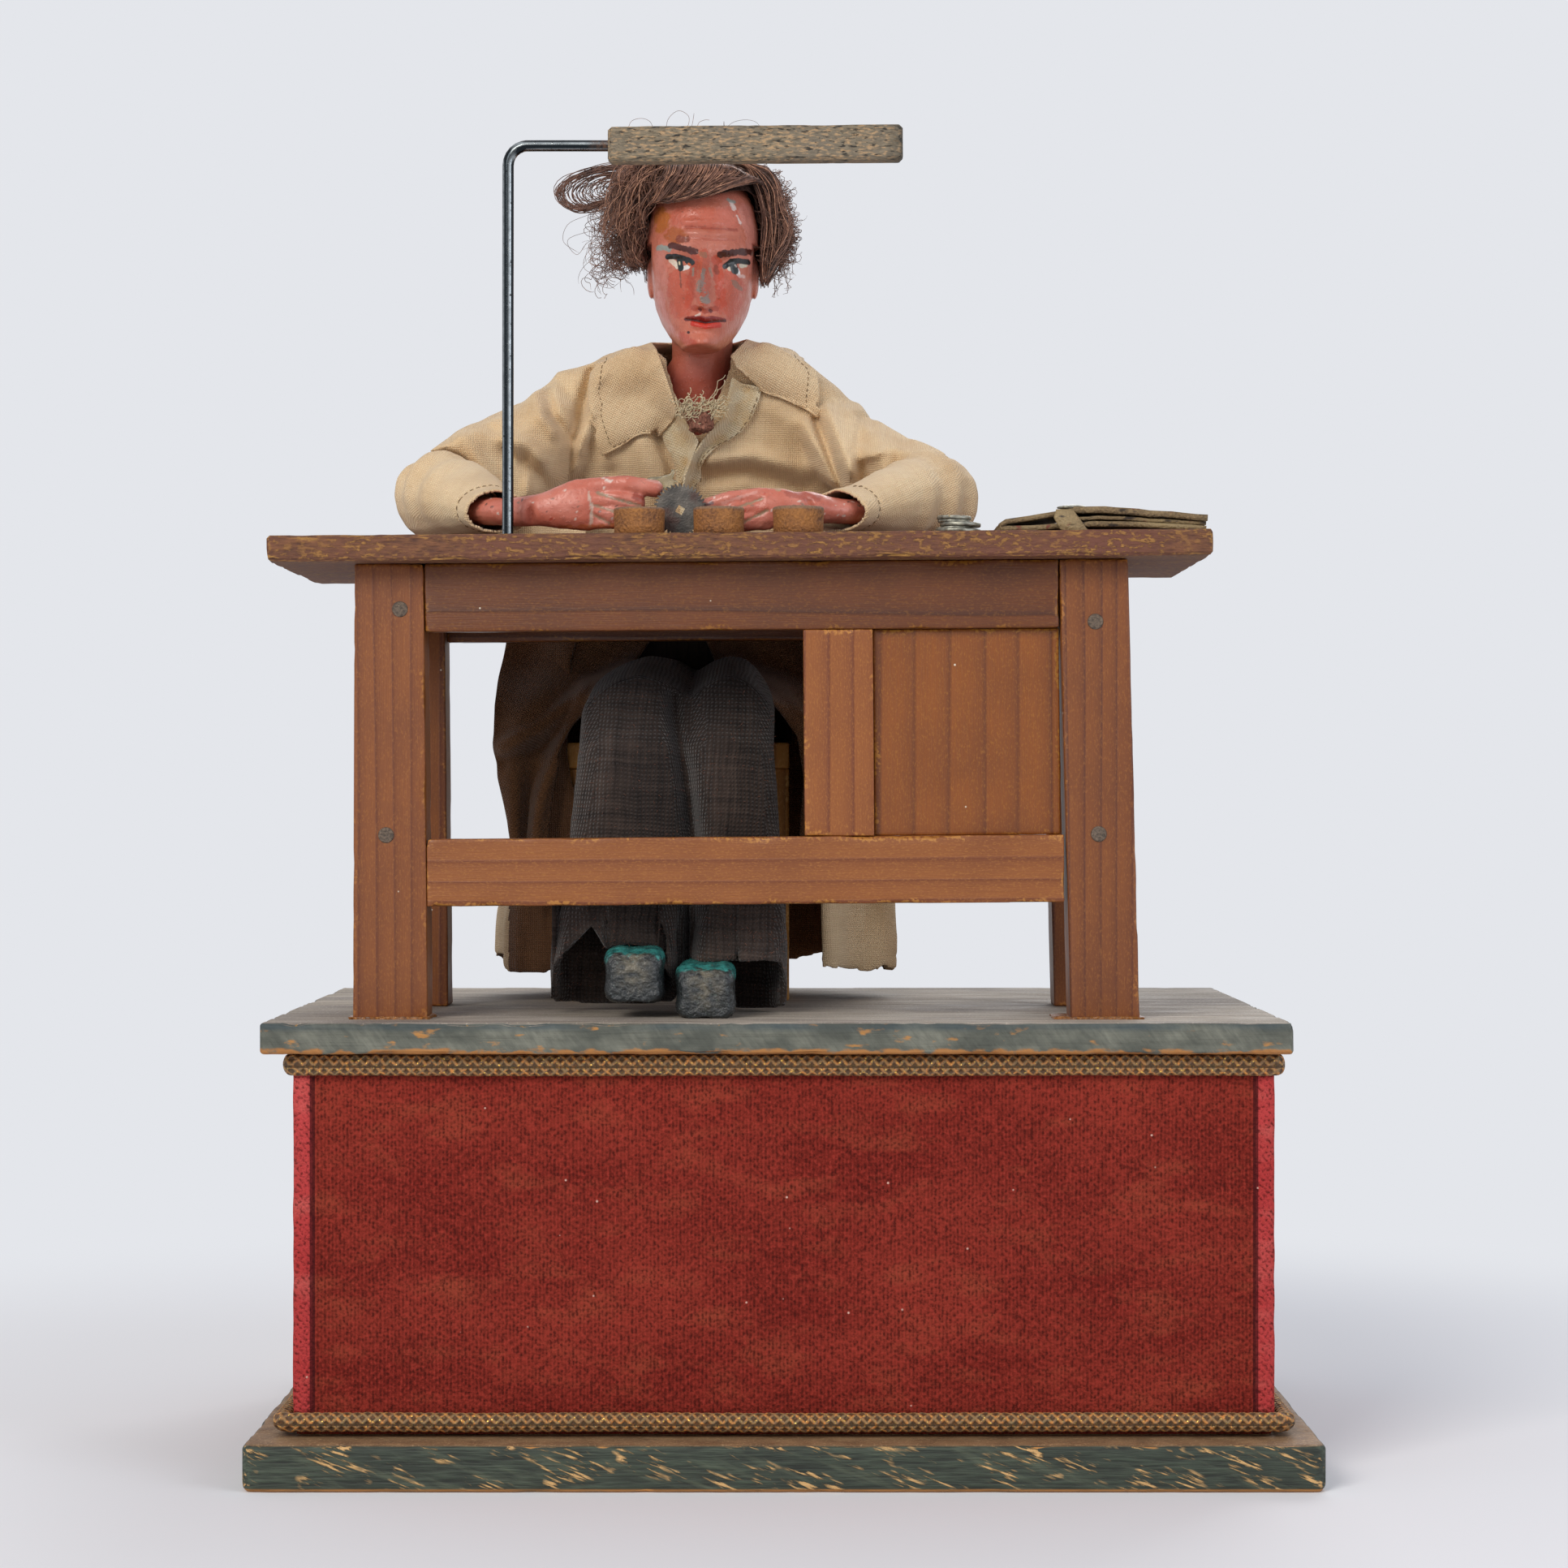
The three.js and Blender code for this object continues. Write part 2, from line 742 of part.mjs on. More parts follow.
function makeBenchTop() {
  const corner = 1.5;
  const ease = 1;
  const left = benchTopLeft - benchLeft;
  const slab = easedBoard(
    point(left, benchTopFront, benchLegHeight + restGap),
    point(left + benchTopWidth, benchTopBack, benchTopHeight),
    corner,
    ease,
  );
  const socket = bar(
    point(wireLocalX - wireLean, wireY, benchTopHeight - wireSeat - gap),
    point(wireLocalX - wireLean, wireY, benchTopHeight + overrun),
    wireDiameter / 2 + gap,
    pinSides,
  );
  place(bench, "bench_top", cut(slab, socket), "benchWood");
}

const wareHeight = benchTopHeight + restGap;
const wireSeat = 6;

// Things on the bench
function makePots() {
  const names = ["pot_left", "pot_middle", "pot_right"];
  const profileShares = [[0, 0], [0.96, 0], [1, 0.06], [0.99, 0.5], [1, 0.9], [0.95, 1], [0, 1]];
  names.forEach((name, index) => {
    const profile = profileShares.map(([r, h]) => [r * potRadius, h * potHeight]);
    const x = potMiddleX - benchLeft + benchShift + (index - 1) * potPitch;
    const pot = turnedUpright(profile, roundSides).translate([x, potY, wareHeight]);
    place(bench, name, pot, "potWood");
  });
}

function makeToothedWheel() {
  const teeth = 48;
  const toothDepth = 1;
  const holeHalf = 2.1;
  const centreX = toothedWheelX - benchLeft + benchShift;
  const front = potY + potRadius + gap;
  const centreZ = wareHeight + toothedWheelRadius;
  const shape = new THREE.Shape();
  for (let tooth = 0; tooth < teeth; tooth += 1) {
    const flankShares = [[0, toothedWheelRadius], [0.35, toothedWheelRadius - toothDepth]];
    for (const [share, radius] of flankShares) {
      const angle = 2 * Math.PI * (tooth + share) / teeth;
      const x = centreX + radius * Math.cos(angle);
      const z = centreZ + radius * Math.sin(angle);
      if (tooth === 0 && share === 0) shape.moveTo(x, z);
      else shape.lineTo(x, z);
    }
  }
  shape.closePath();
  const hole = new THREE.Path();
  hole.moveTo(centreX - holeHalf, centreZ);
  hole.lineTo(centreX, centreZ - holeHalf);
  hole.lineTo(centreX + holeHalf, centreZ);
  hole.lineTo(centreX, centreZ + holeHalf);
  hole.closePath();
  shape.holes.push(hole);
  place(bench, "toothed_wheel", plateAlongY(shape, front, front + toothedWheelThickness), "steel");
}

function makeDiscs() {
  const discRadius = 15.8;
  const discThickness = 1;
  const discX = metalDiscX - benchLeft + benchShift;
  const discY = -78;
  const disc = bar(
    point(discX, discY, wareHeight),
    point(discX, discY, wareHeight + discThickness),
    discRadius,
    fineSides,
  );
  place(bench, "metal_disc", disc, "steel");
  const stackRadius = 8.2;
  const stackHeight = 7;
  const stackX = discStackX - benchLeft + benchShift;
  const stackY = -93;
  const profileShares = [
    [0, 0], [1, 0], [0.95, 0.3], [0.62, 0.5], [0.62, 0.66], [0.84, 0.68], [0.84, 1], [0, 1],
  ];
  const profile = profileShares.map(([r, h]) => [r * stackRadius, h * stackHeight]);
  const stack = turnedUpright(profile, roundSides).translate([stackX, stackY, wareHeight]);
  place(bench, "disc_stack", stack, "steel");
}

function makeWallet() {
  const left = walletX - benchLeft + benchShift;
  const length = 75.4;
  const front = -103;
  const depth = 42;
  const height = 9.4;
  const lowHeight = 5;
  const outlineShares = [[0, 0], [1, 0], [1, 0.5], [0.94, 0.55], [0.31, 1], [0.27, 1], [0, 0.45]];
  const shape = new THREE.Shape();
  outlineShares.forEach(([along, up], index) => {
    const x = left + along * length;
    const z = wareHeight + up * (up > 1 / 2 ? height : 2 * lowHeight);
    if (index === 0) shape.moveTo(x, z);
    else shape.lineTo(x, z);
  });
  shape.closePath();
  place(bench, "tool_wallet", plateAlongY(shape, front, front + depth), "leather");
}

// Lamp arm: a wire pressed in the bench top that carries a wooden bar above the head
const wireTop = benchTopHeight + wireRise;
const wireLocalX = wireX - benchLeft + benchShift;
const barReach = 32.7;
const barLeft = wireLocalX + barReach;
const barSeat = 8;

function makeLamp() {
  const bendSteps = 6;
  const route = [point(wireLocalX - wireLean, wireY, benchTopHeight - wireSeat)];
  for (let step = 0; step <= bendSteps; step += 1) {
    const angle = Math.PI - step / bendSteps * Math.PI / 2;
    route.push(point(
      wireLocalX + wireBend + wireBend * Math.cos(angle),
      wireY,
      wireTop - wireBend + wireBend * Math.sin(angle),
    ));
  }
  route.push(point(barLeft + barSeat, wireY, wireTop));
  place(bench, "lamp_wire", swept(route, wireDiameter / 2, wireDiameter / 2, pinSides), "steel");
  const corner = 2;
  const ease = 1.2;
  const block = easedBoard(
    point(barLeft, wireY - barDepth / 2, wireTop - barHeight / 2),
    point(barLeft + barLength, wireY + barDepth / 2, wireTop + barHeight / 2),
    corner,
    ease,
  );
  const socket = bar(
    point(barLeft - overrun, wireY, wireTop),
    point(barLeft + barSeat + gap, wireY, wireTop),
    wireDiameter / 2 + gap,
    pinSides,
  );
  place(bench, "lamp_bar", cut(block, socket), "bareWood");
}

// Stool
function makeStool() {
  const left = stoolX - stoolWidth / 2;
  const back = stoolFront + stoolDepth;
  const rodHoles = [armRodY, headRodY].map((y) => bar(
    point(rodX, y, seatHeight - seatThickness - overrun),
    point(rodX, y, seatHeight + overrun),
    rodRadius + gap,
    pinSides,
  ));
  const seat = board(
    point(left, stoolFront, seatHeight - seatThickness),
    point(left + stoolWidth, back, seatHeight),
  );
  place(figure, "stool_seat", cut(seat, ...rodHoles), "stoolWood");
  const inset = 2;
  const sides = [["stool_side_left", left], ["stool_side_right", left + stoolWidth - stoolWall]];
  for (const [name, x] of sides) {
    const side = board(
      point(x, stoolFront + inset, 0),
      point(x + stoolWall, back - inset, seatHeight - seatThickness),
    );
    place(figure, name, side, "stoolWood");
  }
}

// Head and neck: one carving, hinged on a pin in the torso. Levels run from chin to crown.
const headLevelShares = [
  [0.00, 0.30, 0.42, -0.62],
  [0.05, 0.48, 0.60, -0.42],
  [0.13, 0.66, 0.80, -0.18],
  [0.24, 0.82, 0.92, -0.02],
  [0.38, 0.94, 0.99, 0.02],
  [0.52, 1.00, 1.00, 0.02],
  [0.66, 1.00, 0.98, 0.03],
  [0.78, 0.93, 0.90, 0.04],
  [0.89, 0.76, 0.72, 0.06],
  [0.96, 0.50, 0.48, 0.08],
  [1.00, 0.20, 0.20, 0.10],
];
const headShift = 2;
const headX = figureX + headShift;

// How far the face stands out at a place, as shares of the head's half depth
function faceRelief(across, up) {
  const reliefShares = [
    [0.00, 0.30, 0.10, 0.09, 0.26],
    [0.00, 0.40, 0.08, 0.10, 0.16],
    [0.00, 0.15, 0.32, 0.035, 0.06],
    [0.36, 0.44, 0.15, 0.045, -0.09],
    [-0.36, 0.44, 0.15, 0.045, -0.09],
    [0.34, 0.52, 0.26, 0.03, 0.06],
    [-0.34, 0.52, 0.26, 0.03, 0.06],
    [0.00, 0.03, 0.25, 0.04, 0.06],
    [0.50, 0.32, 0.16, 0.07, 0.04],
    [-0.50, 0.32, 0.16, 0.07, 0.04],
  ];
  return reliefShares.reduce((sum, [x, z, wide, tall, out]) => {
    const dx = (across - x) / wide;
    const dz = (up - z) / tall;
    return sum + out * Math.exp(-(dx * dx + dz * dz));
  }, 0);
}

function headLevel(share) {
  const above = headLevelShares.findIndex(([height]) => height >= share);
  const high = headLevelShares[Math.max(above, 1)];
  const low = headLevelShares[Math.max(above, 1) - 1];
  const mix = (share - low[0]) / (high[0] - low[0]);
  return low.map((value, index) => value + (high[index] - value) * mix);
}

function headForm(inflate, levels, count) {
  const rings = [];
  for (let level = 0; level <= levels; level += 1) {
    const share = level / levels;
    const [, wide, deep, back] = headLevel(share);
    const ring = [];
    for (let step = 0; step < count; step += 1) {
      const angle = 2 * Math.PI * step / count;
      const across = Math.sin(angle);
      const front = -Math.cos(angle);
      const relief = front < 0 ? faceRelief(across * wide, share) * -front : 0;
      const halfWide = wide * headHalfWidth + inflate;
      const halfDeep = deep * headHalfDepth + inflate;
      ring.push(point(
        headX + halfWide * across,
        headY + back * headHalfDepth + halfDeep * front - relief * headHalfDepth,
        chinHeight - inflate + share * (headHeight + 2 * inflate),
      ));
    }
    rings.push(ring);
  }
  return loft(rings);
}

const headLevels = 20;
const headCount = 28;
const scalpRoom = 0.9;
const neckTail = headRodY - neckPivotY;
const neckPinRadius = 1.8;
const neckPinSeat = 1;
const tailThickness = 5;

function neckForm(inflate) {
  const top = point(headX, headY + headHalfDepth / 3, chinHeight + headHeight / 3);
  const foot = point(figureX, neckPivotY, neckPivotHeight);
  const tallShares = [[0, 1.05], [0.35, 1], [0.7, 1], [1, 1.08]];
  const stations = tallShares.map(([share, wide]) => ({
    at: between(foot, top, share),
    wide: neckRadius * wide + inflate,
    tall: neckRadius * wide + inflate,
  }));
  return limb(stations, roundSides, point(1, 0, 0));
}

function earForm(side) {
  const earHalfHeight = 9;
  const earThickness = 3.4;
  const earDepth = 6;
  const earShare = 0.4;
  const levelShares = [[-1, 0.35], [-0.6, 0.9], [0.2, 1], [0.8, 0.8], [1, 0.3]];
  const middle = point(
    headX + side * headHalfWidth,
    headY + headHalfDepth / 5,
    chinHeight + earShare * headHeight,
  );
  const stations = levelShares.map(([up, wide]) => ({
    at: middle.clone().add(point(0, 0, up * earHalfHeight)),
    wide: earThickness * wide,
    tall: earDepth * wide,
  }));
  return limb(stations, pinSides, point(1, 0, 0));
}

function makeHead() {
  const tailBack = neckPivotY + neckTail;
  const tail = board(
    point(figureX - tailThickness / 2, neckPivotY, neckPivotHeight - tailThickness / 2),
    point(figureX + tailThickness / 2, tailBack + rodRadius, neckPivotHeight + tailThickness / 2),
  );
  const pinHole = bar(
    point(figureX - torsoWidth, neckPivotY, neckPivotHeight),
    point(figureX + torsoWidth, neckPivotY, neckPivotHeight),
    neckPinRadius + gap,
    pinSides,
  );
  const hub = bar(
    point(figureX - neckRadius, neckPivotY, neckPivotHeight),
    point(figureX + neckRadius, neckPivotY, neckPivotHeight),
    neckRadius / 2,
  );
  const skull = headForm(0, headLevels, headCount);
  const carving = joined(skull, neckForm(0), earForm(-1), earForm(1), hub, tail);
  place(figure, "head", cut(carving, pinHole), "skinPaint");
}

// Wig: a cap over the skull with clumps at both sides and a lock that stands out to the left
function makeWig() {
  const capThickness = 3.2;
  const levels = 9;
  const count = 20;
  const cap = headForm(capThickness, levels, count);
  const [hairlineShare, napeShare, frontShare] = [0.74, 0.42, 0.3];
  const hairline = chinHeight + hairlineShare * headHeight;
  const napeLine = chinHeight + napeShare * headHeight;
  const faceCut = board(
    point(headX - 2 * headHalfWidth, -4 * headHalfDepth, chinHeight - headHeight),
    point(headX + 2 * headHalfWidth, headY - frontShare * headHalfDepth, hairline),
  );
  const neckCut = board(
    point(headX - 3 * headHalfWidth, -4 * headHalfDepth, chinHeight - headHeight),
    point(headX + 3 * headHalfWidth, 4 * headHalfDepth, napeLine),
  );
  const clump = (placeShares) => limb(placeShares.map(([x, y, z, wide]) => ({
    at: point(headX + x * headHalfWidth, headY + y * headHalfDepth, chinHeight + z * headHeight),
    wide: wide * headHalfWidth,
    tall: wide * headHalfWidth,
  })), pinSides, point(0, 1, 0));
  const rightShares = [
    [0.55, 0.1, 0.97, 0.3], [1.05, 0.1, 0.86, 0.42], [1.25, 0.1, 0.66, 0.42], [1.22, 0.15, 0.5, 0.3],
    [1.1, 0.15, 0.4, 0.12],
  ];
  const leftShares = [
    [-0.55, 0.1, 0.97, 0.3], [-1.05, 0.1, 0.88, 0.46], [-1.45, 0.1, 0.68, 0.5], [-1.4, 0.1, 0.52, 0.34],
    [-1.3, 0.1, 0.44, 0.14],
  ];
  const lockShares = [
    [-0.9, 0, 0.9, 0.4], [-1.5, -0.05, 0.95, 0.3], [-2.1, -0.1, 0.9, 0.26], [-2.55, -0.1, 0.82, 0.12],
  ];
  const hair = joined(cut(cap, faceCut, neckCut), clump(rightShares), clump(leftShares), clump(lockShares));
  const scalp = headForm(scalpRoom, headLevels / 2, headCount);
  place(figure, "wig", cut(hair, scalp, earGap(-1), earGap(1)), "hair");
}

function earGap(side) {
  const x = headX + side * headHalfWidth;
  const half = 6.5;
  const [lowShare, highShare] = [0.2, 0.54];
  return board(
    point(x - half, headY - half, chinHeight + headHeight * lowShare),
    point(x + half, headY + 2 * half, chinHeight + headHeight * highShare),
  );
}

// Torso block with the neck slot, its pin, the rod holes and the slot of the arm yoke
const yokeLift = 72;
const yokeHeight = seatHeight + yokeLift;
const yokeHalfSpan = 46;
const yokeThickness = 5;
const yokeTravel = 4;
const nodRange = THREE.MathUtils.degToRad(7);

function nodded(solid, angle) {
  const turned = solid.translate([0, -neckPivotY, -neckPivotHeight]);
  const degrees = THREE.MathUtils.radToDeg(angle);
  return turned.rotate([degrees, 0, 0]).translate([0, neckPivotY, neckPivotHeight]);
}

function neckSweep(margin) {
  const shares = [0, 1];
  const copies = shares.map((share) => nodded(neckForm(margin), share * nodRange));
  return joined(...copies);
}

// The torso leans forward above the waist. Levels are height, front and back.
function torsoBlock() {
  const base = seatHeight + gap;
  const levelShares = [[0, 0, 0], [0.66, 0, 0.1], [1, 1, 1]];
  const cornerShare = 0.2;
  const half = torsoWidth / 2;
  const rings = levelShares.map(([up, frontLean, backLean]) => {
    const front = torsoFront - frontLean * torsoLean;
    const back = torsoFront + torsoDepth - backLean * torsoLean;
    const corner = cornerShare * torsoDepth;
    return [
      [-half + corner, front], [half - corner, front], [half, front + corner], [half, back - corner],
      [half - corner, back], [-half + corner, back], [-half, back - corner], [-half, front + corner],
    ].map(([x, y]) => point(figureX + x, y, base + up * torsoHeight));
  });
  return loft(rings);
}

// The crossbar that fills the shoulders of the coat
function shoulderBar(inflate) {
  const halfSpan = 58;
  const low = point(figureX - halfSpan - inflate, shoulderFront - inflate, shoulderHeight - inflate);
  const high = point(
    figureX + halfSpan + inflate,
    shoulderFront + shoulderDepth + inflate,
    shoulderHeight + shoulderThickness + inflate,
  );
  return board(low, high);
}

const shoulderFront = 30;
const shoulderDepth = 18;
const shoulderDrop = 14;
const shoulderHeight = torsoTop - shoulderDrop;
const shoulderThickness = 12;

function makeTorso() {
  const base = seatHeight + gap;
  const neckSideRoom = 1.4;
  const neckEndRoom = 2;
  const slotHalf = neckRadius + neckSideRoom;
  const slotFloor = neckPivotHeight - neckRadius - neckEndRoom;
  const neckSlot = board(
    point(figureX - slotHalf, -torsoDepth, slotFloor),
    point(figureX + slotHalf, neckPivotY + neckRadius + neckEndRoom, base + torsoHeight + overrun),
  );
  const tailSlot = board(
    point(figureX - tailThickness, -torsoDepth, slotFloor),
    point(figureX + tailThickness, headRodY + 3 * rodRadius, base + torsoHeight + overrun),
  );
  const yokeSlot = board(
    point(figureX - torsoWidth, armRodY - yokeThickness, yokeHeight - gap),
    point(figureX + torsoWidth, armRodY + yokeThickness, yokeHeight + yokeThickness + yokeTravel + 3 * gap),
  );
  const rodHoles = [[armRodY, yokeHeight], [headRodY, neckPivotHeight]].map(([y, top]) => bar(
    point(rodX, y, base - overrun),
    point(rodX, y, top),
    rodRadius + gap,
    pinSides,
  ));
  const pin = bar(
    point(figureX - slotHalf - neckPinSeat, neckPivotY, neckPivotHeight),
    point(figureX + slotHalf + neckPinSeat, neckPivotY, neckPivotHeight),
    neckPinRadius,
    pinSides,
  );
  const carcass = cut(joined(torsoBlock(), shoulderBar(0)), neckSlot, tailSlot, yokeSlot, ...rodHoles);
  place(figure, "torso", joined(carcass, pin), "boxWood");
}

// Coat body: levels from the waist to the neck as height, half width, half depth and set back
const coatLevelShares = [
  [0.00, 1.00, 1.00, 1.00],
  [0.14, 0.91, 0.80, 1.04],
  [0.29, 0.84, 0.77, 1.03],
  [0.44, 0.84, 0.79, 0.90],
  [0.60, 0.86, 0.77, 0.72],
  [0.74, 0.88, 0.70, 0.61],
  [0.83, 0.85, 0.63, 0.54],
  [0.89, 0.74, 0.56, 0.43],
  [0.93, 0.62, 0.49, 0.34],
  [0.97, 0.50, 0.43, 0.25],
  [1.00, 0.30, 0.41, 0.17],
];

const coatCount = 24;

function coatForm(inflate, extra, count = coatCount) {
  const foldDepth = 1.3;
  const dropStartShare = 0.83;
  const rings = coatLevelShares.map(([up, wide, deep, back], level) => {
    const ring = [];
    const last = level === coatLevelShares.length - 1;
    for (let step = 0; step < count; step += 1) {
      const angle = 2 * Math.PI * step / count;
      const sway = last ? 0 : foldDepth * (1 - up) * Math.sin(6 * angle + 5 * up);
      const halfWide = wide * coatHalfWidth + inflate + sway;
      const halfDeep = deep * coatHalfDepth + inflate + sway * Math.abs(Math.sin(angle));
      const dropShare = Math.max(0, up - dropStartShare) / (1 - dropStartShare);
      const frontDrop = coatNeckDrop * dropShare * Math.max(0, Math.cos(angle));
      let height = coatWaistHeight + up * coatRise - frontDrop;
      if (level === 0) height -= extra;
      if (last) height += extra;
      ring.push(point(
        figureX + halfWide * Math.sin(angle),
        back * coatWaistY - halfDeep * Math.cos(angle),
        height,
      ));
    }
    return ring;
  });
  return loft(rings);
}

function elbow(side) {
  return point(elbowMiddleX + side * elbowSpan / 2, elbowY, elbowHeight);
}

function upperSleeve(side) {
  const [outShare, backShare, upShare] = [0.64, 0.62, 0.74];
  const shoulder = point(
    figureX + side * coatHalfWidth * outShare,
    coatWaistY * backShare,
    coatWaistHeight + upShare * coatRise,
  );
  const bend = elbow(side);
  const shares = [[0, 0, 1.15, 1.05], [0.3, 0.1, 1.2, 1.1], [0.65, 0.1, 1.1, 1.1], [0.95, 0, 1.0, 1.0]];
  return limb(shares.map(([along, lift, wide, tall], index) => ({
    at: between(shoulder, bend, along).add(point(0, 0, lift * elbowRadius)),
    wide: wide * elbowRadius,
    tall: tall * elbowRadius,
    fold: 0.05,
    folds: 3,
    turn: index,
  })), pinSides);
}

// The flat collar: two pieces that follow the coat, each an outline in shares of the coat
function collarPiece(side, outlineShares) {
  const collarThickness = 2;
  const shape = new THREE.Shape();
  outlineShares.forEach(([x, z], index) => {
    const px = figureX + side * x * coatHalfWidth;
    const pz = coatWaistHeight + z * coatRise;
    if (index === 0) shape.moveTo(px, pz);
    else shape.lineTo(px, pz);
  });
  shape.closePath();
  const collarBackShare = 0.55;
  const prism = plateAlongY(shape, -coatHalfDepth, coatWaistY * collarBackShare);
  const under = coatForm(-coatThickness / 2, overrun, coatCount * 2 / 3);
  return cut(coatForm(collarThickness, collarThickness).intersect(prism), under);
}

function makeCoat() {
  const wall = cut(coatForm(0, 0), coatForm(-coatThickness, overrun, coatCount * 2 / 3));
  const leftCollar = collarPiece(-1, [[0.2, 0.98], [0.52, 0.99], [0.5, 0.66], [0.14, 0.76], [0.17, 0.84]]);
  const rightCollar = collarPiece(1, [[0.2, 0.98], [0.5, 0.99], [0.6, 0.81], [0.22, 0.86]]);
  let coat = joined(wall, leftCollar, rightCollar);
  for (const side of [-1, 1]) coat = joined(coat, upperSleeve(side));
  const opening = new THREE.Shape();
  const openingShares = [[-0.17, 1.1], [-0.15, 0.9], [-0.02, 0.68], [0.02, 0.68], [0.16, 0.9], [0.18, 1.1]];
  openingShares.forEach(([x, z], index) => {
    const px = figureX + x * coatHalfWidth;
    const pz = coatWaistHeight + z * coatRise;
    if (index === 0) opening.moveTo(px, pz);
    else opening.lineTo(px, pz);
  });
  opening.closePath();
  const throat = plateAlongY(opening, -coatHalfDepth, coatWaistY / 3);
  const joints = Object.values(arms).map((arm) => elbowRoom(arm));
  const neckRoom = 1;
  const chestRoom = board(
    point(figureX - torsoWidth / 2 - gap, torsoFront - torsoLean - gap, shoulderHeight),
    point(figureX + torsoWidth / 2 + gap, torsoFront + torsoDepth / 2, torsoTop + 2 * gap),
  );
  const shell = cut(coat, throat, neckSweep(neckRoom), chestRoom, shoulderBar(gap), ...joints);
  place(figure, "coat_body", shell, "linen");
}

// Room in the coat for the elbow ball, and for the sleeve that leaves it
function elbowRoom(arm) {
  const clearance = 1.3;
  const bend = elbow(arm.side);
  const away = arm.cuff.clone().sub(bend).normalize();
  const beyond = bend.clone().addScaledVector(away, 2 * elbowRadius);
  const sleeveSide = bar(bend, beyond, 2 * elbowRadius, 8);
  return joined(sleeveSide, ball(bend, elbowRadius + clearance));
}

function ball(centre, radius) {
  const geometry = new THREE.SphereGeometry(radius, roundSides, roundSides / 2);
  geometry.translate(centre.x, centre.y, centre.z);
  return solidOf(geometry);
}

// Skirt of the coat: a U-shaped wall of cloth round the stool, open where the legs come out
function makeSkirt() {
  const levels = 6;
  const spread = 34;
  const openHalfAngle = THREE.MathUtils.degToRad(38);
  const foldDepth = 4;
  const hemWave = 3;
  const skirtShift = -3;
  const centreX = figureX + skirtShift;
  const rings = [];
  for (let level = 0; level <= levels; level += 1) {
    const down = level / levels;
    const flare = Math.min(1, down * 4);
    const halfWide = coatHalfWidth + (skirtHalfWidth - coatHalfWidth) * flare;
    const halfDeep = coatHalfDepth + (skirtHalfDepth - coatHalfDepth) * flare;
    const outer = [];
    const inner = [];
    for (let step = 0; step <= spread; step += 1) {
      const angle = openHalfAngle + (2 * Math.PI - 2 * openHalfAngle) * step / spread;
      const wave = foldDepth * down * Math.sin(8 * angle);
      const height = coatWaistHeight - gap - down * skirtDrop + hemWave * down * Math.sin(5 * angle);
      for (const [list, inset] of [[outer, 0], [inner, coatThickness]]) {
        list.push(point(
          centreX - (halfWide + wave - inset) * Math.sin(angle),
          coatWaistY - (halfDeep + wave - inset) * Math.cos(angle),
          height,
        ));
      }
    }
    rings.push([...outer, ...inner.reverse()]);
  }
  place(figure, "coat_skirt", wallLoft(rings), "linen");
}

// A loft of long thin rings whose ends are closed by quads between the two faces
function wallLoft(rings) {
  const count = rings[0].length;
  const places = rings.flat();
  const corners = [];
  for (let ring = 0; ring + 1 < rings.length; ring += 1) {
    for (let side = 0; side < count; side += 1) {
      const a = ring * count + side;
      const b = ring * count + (side + 1) % count;
      corners.push(a, b, a + count, b, b + count, a + count);
    }
  }
  for (const [ring, flip] of [[0, true], [rings.length - 1, false]]) {
    for (let side = 0; side < count / 2 - 1; side += 1) {
      const a = ring * count + side;
      const b = a + 1;
      const c = ring * count + count - 1 - side;
      const d = c - 1;
      if (flip) corners.push(b, a, c, b, c, d);
      else corners.push(a, b, c, b, d, c);
    }
  }
  const geometry = new THREE.BufferGeometry().setFromPoints(places);
  geometry.setIndex(corners);
  return solidOf(geometry);
}

// Trousers: two legs from the hips over the knees to wide open cuffs. A leg's places across are
// counted from the figure's middle.
const hipY = torsoFront - gap;
const kneeY = -34;
const hemY = -66;
const kneeHeight = 112;
const cuffHeight = 3;
const hipRise = 4.5;
const thighRise = 4;
const kneeDrop = 3;
const thighRadius = 16.5;
const legs = {
  left: { hip: -16, knee: -21, cuff: -29, width: 21, cuffLift: 2, shoe: -20.5, shoeLift: 6 },
  right: { hip: 11, knee: 12.5, cuff: 16, width: 16.5, cuffLift: 0, shoe: 5, shoeLift: 0.3 },
};

function trouserLeg(leg, shrink) {
  const sizes = [
    [hipY, kneeHeight + hipRise, leg.hip, 1, 1],
    [(hipY + kneeY) / 2, kneeHeight + thighRise, (leg.hip + leg.knee) / 2, 1.02, 1],
    [kneeY, kneeHeight - kneeDrop, leg.knee, 1, 0.95],
    [kneeY - thighRadius / 2, kneeHeight - thighRadius, leg.knee, 1.02, 0.9],
    [kneeY - thighRadius * 4 / 5, kneeHeight / 2, (leg.knee + leg.cuff) / 2, 1.05, 0.95],
    [hemY + thighRadius / 2, kneeHeight / 4, leg.cuff, 1.1, 1.05],
    [hemY + thighRadius / 3, cuffHeight + leg.cuffLift, leg.cuff, 1.15, 1.25],
  ];
  return sizes.map(([y, z, x, wide, tall], index) => ({
    at: point(figureX + x, y, z),
    wide: leg.width * wide - shrink,
    tall: thighRadius * tall - shrink,
    fold: 0.05,
    folds: 4,
    turn: index * 0.7,
  }));
}

